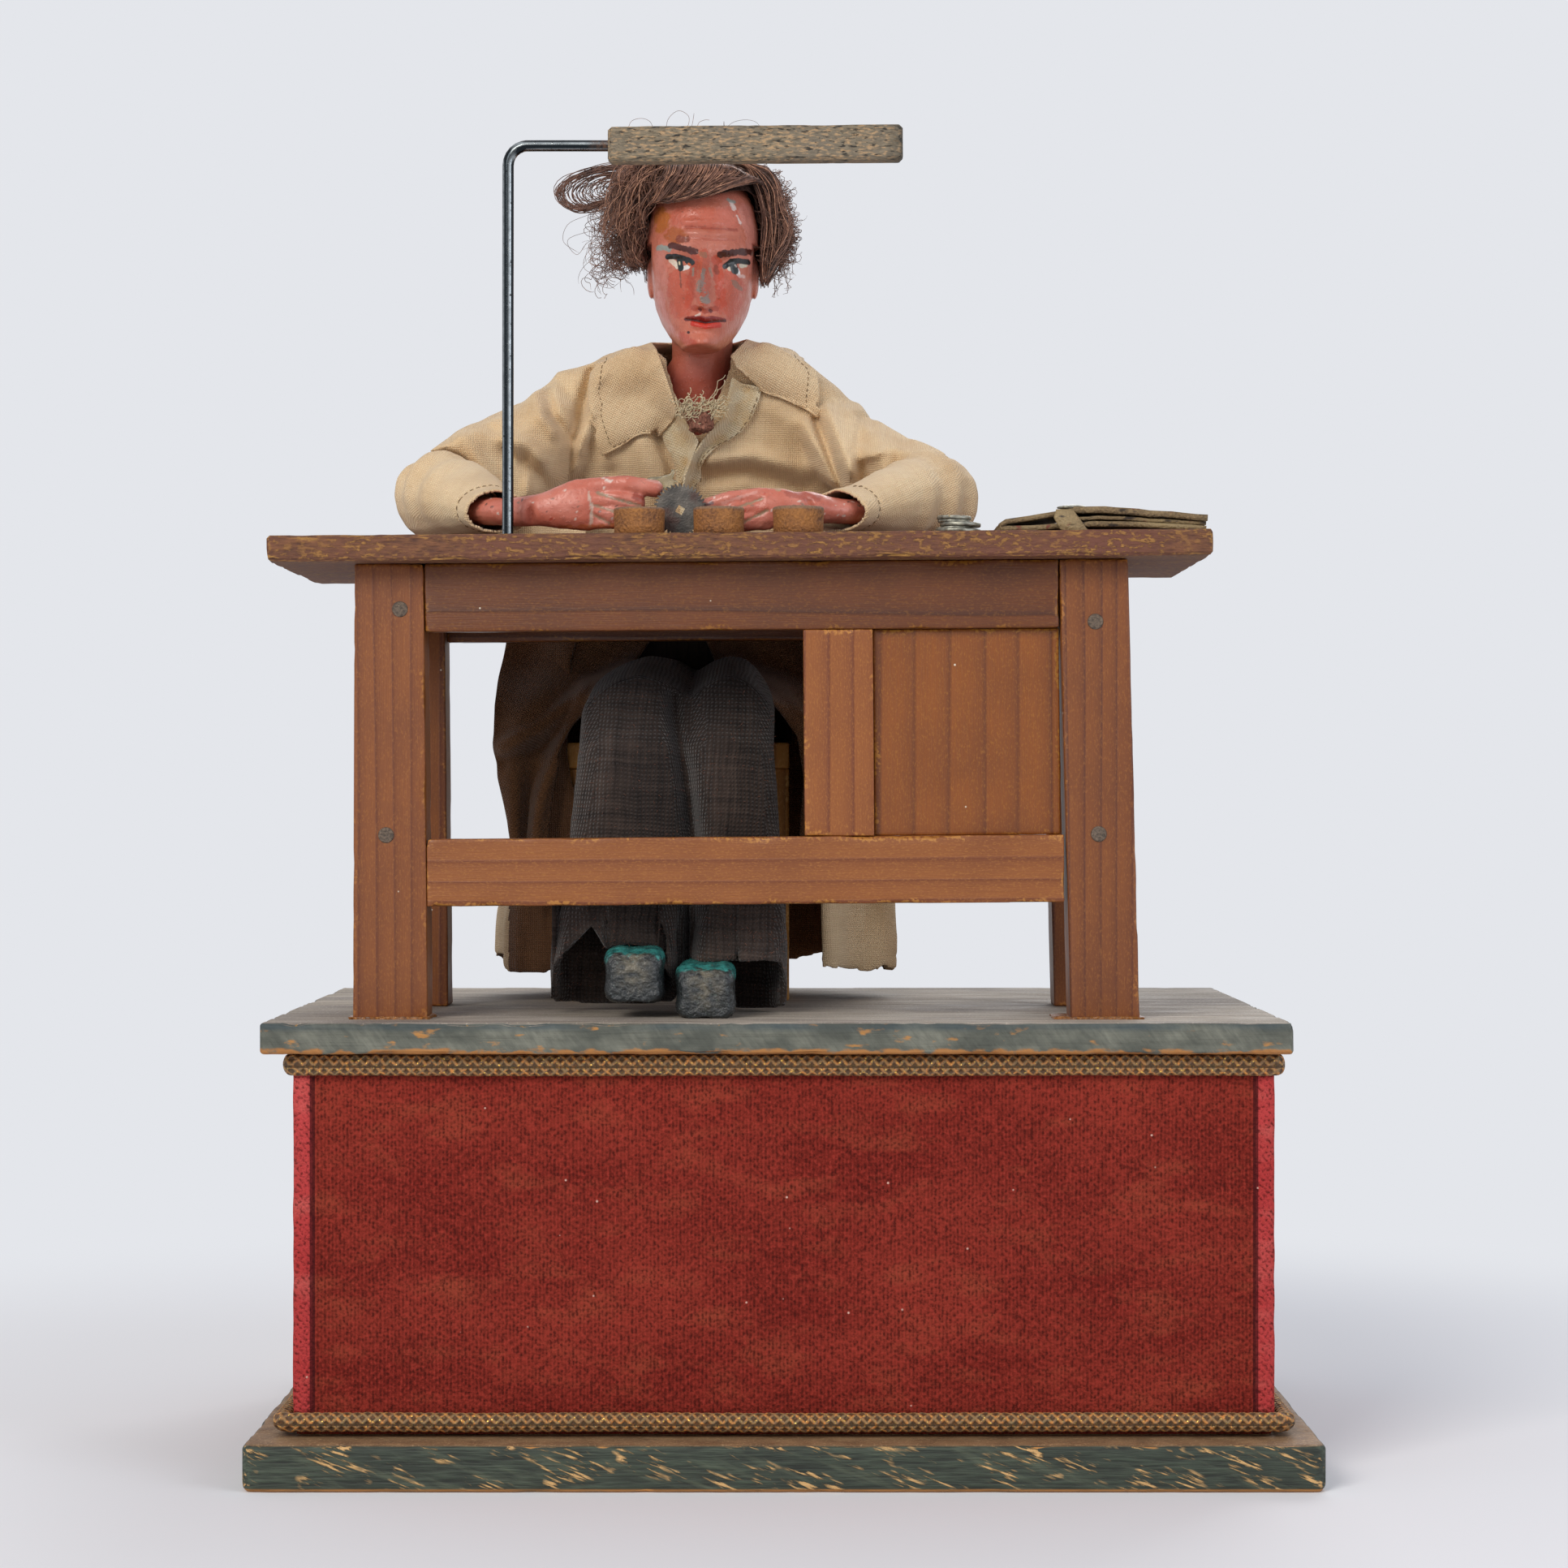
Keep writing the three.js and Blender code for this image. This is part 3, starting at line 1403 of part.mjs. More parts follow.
function makeTrousers() {
  const cloth = 3;
  const count = 16;
  const outer = Object.values(legs).map((leg) => limb(trouserLeg(leg, 0), count, point(1, 0, 0)));
  const hollows = Object.values(legs).map((leg) => {
    const stations = trouserLeg(leg, cloth).slice(4);
    const last = stations[stations.length - 1];
    const below = last.at.clone().add(point(0, 0, -2 * overrun));
    stations.push({ ...last, at: below });
    return limb(stations, count, point(1, 0, 0));
  });
  const shins = Object.values(legs).map((leg) => shinForm(leg, gap));
  const shoeRoom = 3 * gap;
  const shoes = Object.values(legs).map((leg) => shoeForm(leg, shoeRoom));
  const seatRoom = board(
    point(stoolX - stoolWidth, stoolFront - gap, 0),
    point(stoolX + stoolWidth, torsoFront + torsoDepth, seatHeight + gap),
  );
  const floorRoom = board(
    point(-boxWidth, -boxDepth, -2 * overrun),
    point(boxWidth, boxDepth, gap),
  );
  const cloths = cut(joined(...outer), ...hollows, ...shins, ...shoes, seatRoom, floorRoom);
  place(figure, "trousers", cloths, "wool");
}

// Shoes: carved blocks with a square toe, each on a round shin
const shoeLength = 46;
const shoeToeY = -93;
const shoeHalfWidth = 10.4;
const shoeHeight = 18.6;
const shinRadius = 6;
const shinLength = 50;

function shinForm(leg, inflate) {
  const ankleShare = 0.76;
  const x = figureX + leg.shoe;
  const y = shoeToeY + shoeLength * ankleShare;
  const foot = point(x, y, leg.shoeLift + shoeHeight / 2);
  const top = point(x, y + shinRadius, leg.shoeLift + shoeHeight / 2 + shinLength + inflate);
  return bar(foot, top, shinRadius + inflate);
}

function shoeForm(leg, inflate) {
  const count = 20;
  const squareness = 0.6;
  const half = shoeHeight / 2;
  const lengthShares = [
    [0, 0.78, 0.74], [0.05, 0.94, 0.9], [0.2, 1, 1], [0.45, 0.96, 1.02], [0.7, 0.82, 1.05],
    [0.95, 0.72, 1], [1, 0.55, 0.8],
  ];
  const rings = lengthShares.map(([along, wide, tall]) => {
    const ring = [];
    for (let step = 0; step < count; step += 1) {
      const angle = 2 * Math.PI * step / count;
      const roundX = Math.sign(Math.cos(angle)) * Math.abs(Math.cos(angle)) ** squareness;
      const roundZ = Math.sign(Math.sin(angle)) * Math.abs(Math.sin(angle)) ** squareness;
      const reach = roundZ < 0 ? half : half * (2 * tall - 1);
      ring.push(point(
        figureX + leg.shoe + roundX * (shoeHalfWidth * wide + inflate),
        shoeToeY - inflate + along * (shoeLength + 2 * inflate),
        leg.shoeLift + half + roundZ * (reach + inflate),
      ));
    }
    return ring;
  });
  return loft(rings);
}

function makeShoes() {
  for (const [side, leg] of Object.entries(legs)) {
    place(figure, `shoe_${side}`, joined(shoeForm(leg, 0), shinForm(leg, 0)), "shoePaint");
  }
}

// Forearms: a sleeve on the elbow ball, and a carved forearm whose hand rests on the bench.
// Reaches are counted from the figure's middle, lifts from the height of the hands.
const arms = {
  left: { side: -1, cuffReach: 71, wristReach: 57, cuffLift: 3, wristLift: 0.6, handLength: 48, drop: 0 },
  right: { side: 1, cuffReach: 53, wristReach: 41, cuffLift: 4, wristLift: 1.6, handLength: 39, drop: -0.16 },
};
for (const arm of Object.values(arms)) {
  arm.cuff = point(figureX + arm.side * arm.cuffReach, sleeveEndY, handHeight + arm.cuffLift);
  arm.wrist = point(figureX + arm.side * arm.wristReach, wristY, handHeight + arm.wristLift);
  arm.point = -arm.side;
}

function sleeveStations(arm, shrink) {
  const start = elbow(arm.side);
  const away = arm.cuff.clone().sub(start).normalize();
  const ballShares = [[-1, 0.12], [-0.87, 0.5], [-0.5, 0.87]];
  const knob = ballShares.map(([along, wide]) => ({
    at: start.clone().addScaledVector(away, along * elbowRadius),
    wide: wide * elbowRadius - shrink,
    tall: wide * elbowRadius - shrink,
  }));
  const shares = [[0, 1, 1], [0.35, 0.93, 0.9], [0.7, 0.8, 0.76], [0.93, 0.74, 0.68], [1, 0.72, 0.66]];
  return knob.concat(shares.map(([along, wide, tall], index) => ({
    at: between(start, arm.cuff, along),
    wide: elbowRadius * wide - shrink,
    tall: elbowRadius * tall - shrink,
    fold: along > 0 ? 0.03 : 0,
    folds: 3,
    turn: index,
  })));
}

function forearmStations(arm, inflate) {
  const radius = 7.6;
  const innerShare = 0.55;
  const inner = between(elbow(arm.side), arm.cuff, innerShare);
  return [
    { at: inner, wide: radius + inflate, tall: radius + inflate },
    { at: between(inner, arm.cuff, 1), wide: radius + inflate, tall: radius + inflate },
    { at: arm.wrist, wide: radius * 4 / 5 + inflate, tall: radius + inflate },
  ];
}

function fingerForm(arm, path, thick) {
  const across = point(arm.point, 0, 0);
  const spots = path.map(([along, out, up]) => arm.wrist.clone()
    .addScaledVector(across, along * arm.handLength)
    .add(point(0, out * arm.handLength, (up + arm.drop * along) * arm.handLength)));
  const last = spots[spots.length - 1];
  const tip = last.clone().addScaledVector(across, thick * arm.handLength * 3 / 5);
  const stations = spots.map((at) => ({ at, wide: thick * arm.handLength, tall: thick * arm.handLength }));
  stations.push({ at: tip, wide: thick * arm.handLength / 2, tall: thick * arm.handLength / 2 });
  return limb(stations, 10);
}

function handForm(arm) {
  const across = point(arm.point, 0, 0);
  const palmShares = [
    [0, 0.12, 0.15, 0], [0.22, 0.13, 0.19, 0.01], [0.42, 0.12, 0.205, 0.015], [0.54, 0.09, 0.17, 0.015],
  ];
  const palm = limb(palmShares.map(([along, wide, tall, up]) => ({
    at: arm.wrist.clone()
      .addScaledVector(across, along * arm.handLength)
      .add(point(0, 0, (up + arm.drop * along) * arm.handLength)),
    wide: wide * arm.handLength,
    tall: tall * arm.handLength,
  })), pinSides);
  const fingerShares = [
    [[[0.42, -0.02, 0.15], [0.7, -0.04, 0.165], [0.93, 0, 0.13]], 0.068],
    [[[0.42, -0.04, 0.05], [0.66, -0.06, 0.05], [0.8, -0.03, 0.02]], 0.066],
    [[[0.42, -0.04, -0.05], [0.6, -0.06, -0.055], [0.72, -0.03, -0.06]], 0.062],
    [[[0.4, -0.03, -0.12], [0.55, -0.05, -0.12], [0.64, -0.02, -0.12]], 0.052],
    [[[0.2, 0.08, 0.08], [0.42, 0.14, 0.11], [0.62, 0.12, 0.1]], 0.068],
  ];
  return joined(palm, ...fingerShares.map(([path, thick]) => fingerForm(arm, path, thick)));
}

function makeArms() {
  const count = 16;
  const flareRoom = 0.8;
  const handUnderside = 10;
  for (const [name, arm] of Object.entries(arms)) {
    const sleeve = limb(sleeveStations(arm, 0), count);
    const room = limb(forearmStations(arm, gap).map((station, index) => ({
      ...station,
      wide: station.wide + index * flareRoom,
      tall: station.tall + index * flareRoom,
    })), roundSides);
    const tableRoom = board(
      point(-boxWidth, -boxDepth, 0),
      point(boxWidth, boxDepth, handHeight - handUnderside),
    );
    place(figure, `forearm_sleeve_${name}`, cut(sleeve, room, tableRoom), "linen");
    const hand = joined(limb(forearmStations(arm, 0), roundSides), handForm(arm));
    place(figure, `forearm_${name}`, cut(hand, tableRoom), "skinPaint");
  }
}

// The pale toothed scrap held behind the left forefinger
function makeScrap() {
  const radius = 7.5;
  const thickness = 0.6;
  const teeth = 9;
  const toothDepth = 1.6;
  const arm = arms.left;
  const [alongShare, upShare, fingerShare] = [0.93, 0.13, 0.068];
  const centreX = arm.wrist.x + arm.handLength * alongShare;
  const centreZ = arm.wrist.z + arm.handLength * upShare;
  const front = arm.wrist.y + arm.handLength * fingerShare + gap;
  const shape = new THREE.Shape();
  shape.moveTo(centreX, centreZ);
  for (let tooth = 0; tooth <= 2 * teeth; tooth += 1) {
    const angle = Math.PI * 0.1 + Math.PI * 0.75 * tooth / (2 * teeth);
    const reach = radius - (tooth % 2) * toothDepth;
    shape.lineTo(centreX + reach * Math.cos(angle), centreZ + reach * Math.sin(angle));
  }
  shape.closePath();
  place(figure, "toothed_scrap", plateAlongY(shape, front, front + thickness), "horn");
}

// Motor. Its group stands on the plinth inside the box, and its arbors run along Y.
const barrelPitch = gearModule * barrelTeeth / 2;
const camPitch = gearModule * camPinionTeeth / 2;
const camWheelPitch = governorModule * camWheelTeeth / 2;
const flyPitch = governorModule * flyPinionTeeth / 2;
const barrelX = motorX - barrelPitch - camPitch;
const flyX = motorX + camWheelPitch + flyPitch;
const arborRadius = 1.8;
const pivotLength = 2;
const plateMargin = 3;
const plateLeft = barrelX - barrelPitch - plateMargin;
const leverPivotX = motorX + leverReach;
const wheelThickness = 2.5;
const wheelRoom = 4;
const greatWheelY = motorFront + plateThickness + wheelRoom;
const camWheelY = motorBack - wheelRoom - wheelThickness;

function plateShape() {
  const corner = 8;
  const right = plateLeft + plateWidth;
  const shape = new THREE.Shape();
  shape.moveTo(plateLeft, 0);
  shape.lineTo(right, 0);
  shape.lineTo(right, plateHeight - corner);
  shape.absarc(right - corner, plateHeight - corner, corner, 0, Math.PI / 2);
  shape.absarc(plateLeft + corner, plateHeight - corner, corner, Math.PI / 2, Math.PI);
  shape.closePath();
  return shape;
}

function arborHoles(front, back) {
  const holes = [motorX, flyX].map((x) => bar(
    point(x, front - overrun, arborHeight),
    point(x, back + overrun, arborHeight),
    arborRadius + gap,
    pinSides,
  ));
  holes.push(bar(
    point(barrelX, front - overrun, arborHeight),
    point(barrelX, back + overrun, arborHeight),
    keyArborRadius + gap,
    pinSides,
  ));
  return holes;
}

const keyArborRadius = 3;
const pillarRadius = 3;

function makePlates() {
  const front = plateAlongY(plateShape(), motorFront, motorFront + plateThickness);
  const back = plateAlongY(plateShape(), motorBack, motorBack + plateThickness);
  const inset = 8;
  const right = plateLeft + plateWidth;
  const pillarPlaces = [
    [plateLeft + inset, inset], [right - inset, inset],
    [plateLeft + inset, plateHeight - inset], [right - inset, plateHeight - inset],
  ];
  const pillars = pillarPlaces.map(([x, z]) => bar(
    point(x, motorFront + plateThickness, z),
    point(x, motorBack + plateThickness / 2, z),
    pillarRadius,
  ));
  const leverPin = bar(
    point(leverPivotX, motorFront + plateThickness, leverPivotHeight),
    point(leverPivotX, motorBack + plateThickness / 2, leverPivotHeight),
    arborRadius,
    pinSides,
  );
  const stopPin = bar(
    point(stopPivotX, motorBack, stopPivotHeight),
    point(stopPivotX, motorBack + plateThickness + stopThickness + 2 * gap, stopPivotHeight),
    arborRadius,
    pinSides,
  );
  const frontPlate = cut(front, ...arborHoles(motorFront, motorFront + plateThickness));
  place(motor, "motor_front_plate", frontPlate, "brass");
  const backPlate = cut(back, ...arborHoles(motorBack, motorBack + plateThickness));
  place(motor, "motor_back_plate", joined(backPlate, ...pillars, leverPin, stopPin), "brass");
}

const stopThickness = 2;
const brakeRadius = 5;
const stopReach = 14;
const stopRise = 22;
const stopPivotX = flyX + stopReach;
const stopPivotHeight = arborHeight + stopRise;

function makeBarrel() {
  const drumRadius = barrelPitch * 4 / 5;
  const start = greatWheelY;
  const drumGap = 1.5;
  const end = camWheelY - drumGap;
  const wheel = plateAlongY(
    toothedShape(barrelTeeth, gearModule, barrelX, arborHeight, false),
    start,
    start + wheelThickness,
  );
  const drumStart = point(barrelX, start, arborHeight);
  const drumEnd = point(barrelX, end, arborHeight);
  const drum = bar(drumStart, drumEnd, drumRadius, fineSides);
  const bore = bar(
    point(barrelX, start - overrun, arborHeight),
    point(barrelX, end + overrun, arborHeight),
    keyArborRadius + gap,
    pinSides,
  );
  place(motor, "spring_barrel", cut(joined(wheel, drum), bore), "brass");
}

function makeKey() {
  const keyReach = 8;
  const hubLength = 9;
  const hubShare = 2 / 3;
  const keyY = motorBack + plateThickness + keyReach;
  const hubEnd = keyY + hubShare * hubLength;
  const arbor = bar(
    point(barrelX, motorFront + gap, arborHeight),
    point(barrelX, keyY, arborHeight),
    keyArborRadius,
    pinSides,
  );
  const collarRadius = 5;
  const hub = bar(
    point(barrelX, hubEnd - hubLength, arborHeight),
    point(barrelX, hubEnd, arborHeight),
    collarRadius,
  );
  const wingRadius = 9;
  const wingThickness = 2.4;
  const wings = [-1, 1].map((side) => bar(
    point(barrelX + side * wingRadius, hubEnd, arborHeight - wingThickness / 2),
    point(barrelX + side * wingRadius, hubEnd, arborHeight + wingThickness / 2),
    wingRadius,
  ));
  const front = motorFront + plateThickness;
  const shoulder = bar(
    point(barrelX, front + gap, arborHeight),
    point(barrelX, greatWheelY - gap, arborHeight),
    collarRadius,
  );
  place(motor, "winding_key", joined(arbor, hub, shoulder, ...wings), "steel");
}

function camShape(lobes) {
  const steps = 20;
  const riseShare = 0.2;
  const shape = new THREE.Shape();
  for (let step = 0; step < steps; step += 1) {
    const angle = 2 * Math.PI * step / steps;
    const radius = camRadius * (1 - riseShare + riseShare * Math.cos(lobes * angle));
    const x = motorX + radius * Math.cos(angle);
    const z = arborHeight + radius * Math.sin(angle);
    if (step === 0) shape.moveTo(x, z);
    else shape.lineTo(x, z);
  }
  shape.closePath();
  return shape;
}

function makeCamShaft() {
  const camThickness = 4;
  const arbor = bar(
    point(motorX, motorFront + gap, arborHeight),
    point(motorX, motorBack + plateThickness - gap, arborHeight),
    arborRadius,
    pinSides,
  );
  const sleeve = bar(
    point(motorX, motorFront + plateThickness + gap, arborHeight),
    point(motorX, motorBack - gap, arborHeight),
    arborRadius * 2,
  );
  const pinion = plateAlongY(
    toothedShape(camPinionTeeth, gearModule, motorX, arborHeight, true),
    greatWheelY - gap,
    greatWheelY + wheelThickness + gap,
  );
  const wheel = plateAlongY(
    toothedShape(camWheelTeeth, governorModule, motorX, arborHeight, true),
    camWheelY,
    camWheelY + wheelThickness,
  );
  const cams = [[armRodY, 2], [headRodY, 1]].map(([y, lobes]) => plateAlongY(
    camShape(lobes),
    y - camThickness / 2,
    y + camThickness / 2,
  ));
  place(motor, "cam_shaft", joined(arbor, sleeve, pinion, wheel, ...cams), "brass");
}

function makeFly() {
  const vaneReach = 9;
  const vaneThickness = 1.2;
  const arbor = bar(
    point(flyX, motorFront + gap, arborHeight),
    point(flyX, motorBack + plateThickness + stopThickness + 3 * gap, arborHeight),
    arborRadius,
    pinSides,
  );
  const pinion = plateAlongY(
    toothedShape(flyPinionTeeth, governorModule, flyX, arborHeight, false),
    camWheelY - gap,
    camWheelY + wheelThickness + gap,
  );
  const vane = board(
    point(flyX - vaneThickness / 2, greatWheelY, arborHeight - vaneReach),
    point(flyX + vaneThickness / 2, camWheelY - vaneThickness, arborHeight + vaneReach),
  );
  const brake = bar(
    point(flyX, motorBack + plateThickness + gap, arborHeight),
    point(flyX, motorBack + plateThickness + gap + stopThickness, arborHeight),
    brakeRadius,
  );
  place(motor, "governor_fly", joined(arbor, pinion, vane, brake), "brass");
}

function makeStopLever() {
  const front = motorBack + plateThickness + gap;
  const pivot = point(stopPivotX, front, stopPivotHeight);
  const eye = 5;
  const half = 1.6;
  const handleLean = 6;
  const handleLength = 30;
  const shoe = point(flyX + brakeRadius + gap + half, front, arborHeight + half);
  const handle = point(stopPivotX + handleLean, front, stopPivotHeight + handleLength);
  const arm = (from, to) => {
    const along = to.clone().sub(from).normalize();
    const side = point(-along.z, 0, along.x).multiplyScalar(half);
    const shape = new THREE.Shape();
    shape.moveTo(from.x + side.x, from.z + side.z);
    shape.lineTo(to.x + side.x, to.z + side.z);
    shape.lineTo(to.x - side.x, to.z - side.z);
    shape.lineTo(from.x - side.x, from.z - side.z);
    shape.closePath();
    return plateAlongY(shape, front, front + stopThickness);
  };
  const boss = bar(pivot, pivot.clone().add(point(0, stopThickness, 0)), eye);
  const hole = bar(
    pivot.clone().add(point(0, -overrun, 0)),
    pivot.clone().add(point(0, overrun, 0)),
    arborRadius + gap,
    pinSides,
  );
  place(motor, "stop_lever", cut(joined(boss, arm(pivot, shoe), arm(pivot, handle)), hole), "steel");
}

// Levers over the cams, and the rods that they lift
const leverThickness = 5;
const leverDepth = 6;
const leverGap = 1.2;

function makeLevers() {
  for (const [name, y] of [["arm_lever", armRodY], ["head_lever", headRodY]]) {
    const front = y - leverThickness / 2;
    const back = y + leverThickness / 2;
    const tip = motorX - leverDepth;
    const beam = board(
      point(tip, front, leverPivotHeight - leverDepth / 2),
      point(leverPivotX, back, leverPivotHeight + leverDepth / 2),
    );
    const nose = bar(
      point(motorX, front, arborHeight + camRadius + leverGap + leverDepth / 2),
      point(motorX, back, arborHeight + camRadius + leverGap + leverDepth / 2),
      leverDepth / 2,
    );
    const boss = bar(
      point(leverPivotX, front, leverPivotHeight),
      point(leverPivotX, back, leverPivotHeight),
      leverDepth * 4 / 5,
    );
    const hole = bar(
      point(leverPivotX, front - overrun, leverPivotHeight),
      point(leverPivotX, back + overrun, leverPivotHeight),
      arborRadius + gap,
      pinSides,
    );
    place(motor, name, cut(joined(beam, nose, boss), hole), "brass");
  }
}

function makeRods() {
  const start = boxBase + leverPivotHeight + leverDepth / 2 + gap;
  const headTop = platformTop + neckPivotHeight - tailThickness / 2 - gap;
  const headRod = bar(point(rodX, headRodY, start), point(rodX, headRodY, headTop), rodRadius, pinSides);
  place(automaton, "head_rod", headRod, "steel");
  const yokeBase = platformTop + yokeHeight;
  const armRod = bar(
    point(rodX, armRodY, start),
    point(rodX, armRodY, yokeBase + yokeThickness / 2),
    rodRadius,
    pinSides,
  );
  const yoke = board(
    point(figureX - yokeHalfSpan, armRodY - yokeThickness / 2, yokeBase),
    point(figureX + yokeHalfSpan, armRodY + yokeThickness / 2, yokeBase + yokeThickness),
  );
  place(automaton, "arm_rod", joined(armRod, yoke), "steel");
}

makePlinth();
makeBoxPanels();
makeDoor();
makeDoorHinge();
makeDoorButton();
makeVelvet();
makeBraids();
makePlatform();
makeBenchTop();
makeLegs();
makeAprons();
makeLowerRail();
makeStileAndPanel();
makePots();
makeToothedWheel();
makeDiscs();
makeWallet();
makeLamp();
makeStool();
makeTorso();
makeTrousers();
makeShoes();
makeCoat();
makeSkirt();
makeArms();
makeScrap();
makeHead();
makeWig();
makePlates();
makeBarrel();
makeKey();
makeCamShaft();
makeFly();
makeStopLever();
makeLevers();
makeRods();

export default automaton;
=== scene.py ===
import json
import math
import random

import bmesh
import bpy
import numpy as np
from mathutils import Matrix, Vector, noise
from mathutils.bvhtree import BVHTree


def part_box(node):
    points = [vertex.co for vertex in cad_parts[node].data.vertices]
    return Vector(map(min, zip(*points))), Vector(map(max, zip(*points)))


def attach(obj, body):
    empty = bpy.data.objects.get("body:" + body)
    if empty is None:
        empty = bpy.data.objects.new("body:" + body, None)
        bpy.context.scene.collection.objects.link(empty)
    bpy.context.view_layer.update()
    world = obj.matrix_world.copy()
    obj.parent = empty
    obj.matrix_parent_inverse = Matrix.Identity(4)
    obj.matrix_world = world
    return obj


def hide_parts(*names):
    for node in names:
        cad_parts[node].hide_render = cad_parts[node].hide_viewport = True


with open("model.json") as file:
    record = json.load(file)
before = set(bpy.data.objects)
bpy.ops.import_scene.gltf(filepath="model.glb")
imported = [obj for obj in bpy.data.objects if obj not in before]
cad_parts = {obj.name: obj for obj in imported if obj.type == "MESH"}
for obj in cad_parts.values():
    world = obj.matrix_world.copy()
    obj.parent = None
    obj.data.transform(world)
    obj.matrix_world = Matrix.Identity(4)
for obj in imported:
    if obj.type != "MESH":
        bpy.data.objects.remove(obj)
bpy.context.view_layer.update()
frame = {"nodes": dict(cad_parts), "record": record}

mm = 0.001

# Studio. The photograph is a level front view of the object on pale seamless paper, under one
# broad soft light from the upper left with a weak fill. None of this belongs to the object.
scene = bpy.context.scene
scene.view_settings.view_transform = "Standard"


def srgb(code):
    """A hex colour as linear red, green and blue, with alpha one."""
    shares = [int(code[at:at + 2], 16) / 255 for at in (1, 3, 5)]
    return [s / 12.92 if s <= 0.04045 else ((s + 0.055) / 1.055) ** 2.4 for s in shares] + [1.0]


def add_node(tree, kind, inputs=None, out=0, stops=None, **settings):
    """Adds a shader node, sets or links its inputs, and returns one of its outputs, if it has any."""
    node = tree.nodes.new("ShaderNode" + kind)
    for key, value in settings.items():
        setattr(node, key, value)
    for key, value in (inputs or {}).items():
        if isinstance(value, bpy.types.NodeSocket):
            tree.links.new(value, node.inputs[key])
        else:
            node.inputs[key].default_value = srgb(value) if isinstance(value, str) else value
    for index, (at, value) in enumerate(stops or []):
        ramp = node.color_ramp.elements
        stop = ramp[index] if index < 2 else ramp.new(at)
        stop.position = at
        stop.color = srgb(value) if isinstance(value, str) else [value, value, value, 1.0]
    return node.outputs[out] if len(node.outputs) else node


camera = bpy.data.objects.new("camera", bpy.data.cameras.new("camera"))
camera.location = (0, -1367.5 * mm, 240 * mm)
camera.rotation_euler = (math.radians(90), 0, 0)
camera.data.lens = 82.3
camera.data.sensor_width = 36
camera.data.shift_y = 0.0098
camera.data.clip_start = 0.05
scene.collection.objects.link(camera)
scene.camera = camera

paper = "#e4e6eb"
world = bpy.data.worlds.new("studio air")
world.use_nodes = True
scene.world = world
world.node_tree.nodes.clear()
path = add_node(world.node_tree, "LightPath", out="Is Camera Ray")
seen = path
for ray in ("Is Glossy Ray", "Is Transmission Ray"):
    seen = add_node(world.node_tree, "Math", {0: seen, 1: path.node.outputs[ray]}, operation="MAXIMUM")
fill_air = add_node(world.node_tree, "Background", {"Color": "#f4f6ff", "Strength": 0.47})
seen_air = add_node(world.node_tree, "Background", {"Color": paper, "Strength": 1.0})
air = add_node(world.node_tree, "MixShader", {0: seen, 1: fill_air, 2: seen_air})
add_node(world.node_tree, "OutputWorld", {"Surface": air})


def soft_light(name, place, target, size, watts, colour):
    """A square lamp that faces a point."""
    lamp = bpy.data.lights.new(name, "AREA")
    lamp.size = size
    lamp.energy = watts
    lamp.color = srgb(colour)[:3]
    holder = bpy.data.objects.new(name, lamp)
    holder.location = place
    holder.rotation_euler = (Vector(target) - Vector(place)).to_track_quat("-Z", "Y").to_euler()
    scene.collection.objects.link(holder)


soft_light("key light", (-1.0, -1.9, 1.4), (0, 0, 0.2), 1.0, 33, "#fffaf2")
soft_light("fill light", (1.7, -1.3, 0.9), (0, 0, 0.2), 1.2, 12, "#f2f6ff")
soft_light("back light", (0.6, 1.7, 1.5), (0, 0, 0.3), 1.2, 14, "#ffffff")

floor_mesh = bpy.data.meshes.new("paper_floor")
sweep = bmesh.new()
bmesh.ops.create_grid(sweep, x_segments=8, y_segments=8, size=6.0)
sweep.to_mesh(floor_mesh)
sweep.free()
floor = bpy.data.objects.new("paper_floor", floor_mesh)
scene.collection.objects.link(floor)
floor_paper = bpy.data.materials.new("studio paper")
floor_paper.use_nodes = True
tree = floor_paper.node_tree
tree.nodes.clear()
place = add_node(tree, "TexCoord", out="Object")
reach = add_node(tree, "VectorMath", {0: place}, out="Value", operation="LENGTH")
fade = add_node(tree, "MapRange", {"Value": reach, 1: 0.33, 2: 0.68}, interpolation_type="SMOOTHSTEP")
path = add_node(tree, "LightPath", out="Is Camera Ray")
seen = add_node(tree, "Math", {0: path, 1: path.node.outputs["Is Glossy Ray"]}, operation="MAXIMUM")
fade = add_node(tree, "Math", {0: fade, 1: seen}, operation="MULTIPLY")
matt = add_node(tree, "BsdfDiffuse", {"Color": "#eeeff2"})
bright = add_node(tree, "Emission", {"Color": paper, "Strength": 1.0})
mixed = add_node(tree, "MixShader", {0: fade, 1: matt, 2: bright})
add_node(tree, "OutputMaterial", {"Surface": mixed})
floor_mesh.materials.append(floor_paper)

# Plinth board. A softwood board under the box, painted dark green long ago. Its edges are rubbed
# and scored down to pale wood, and its top is brown with dust.


def start_finish(name):
    """A new material with its shader, and the place on the piece that its patterns read."""
    finish = bpy.data.materials.new(name)
    finish.use_nodes = True
    tree = finish.node_tree
    tree.nodes.clear()
    shader = add_node(tree, "BsdfPrincipled")
    add_node(tree, "OutputMaterial", {"Surface": shader})
    return finish, tree, shader.node, add_node(tree, "TexCoord", out="Object")


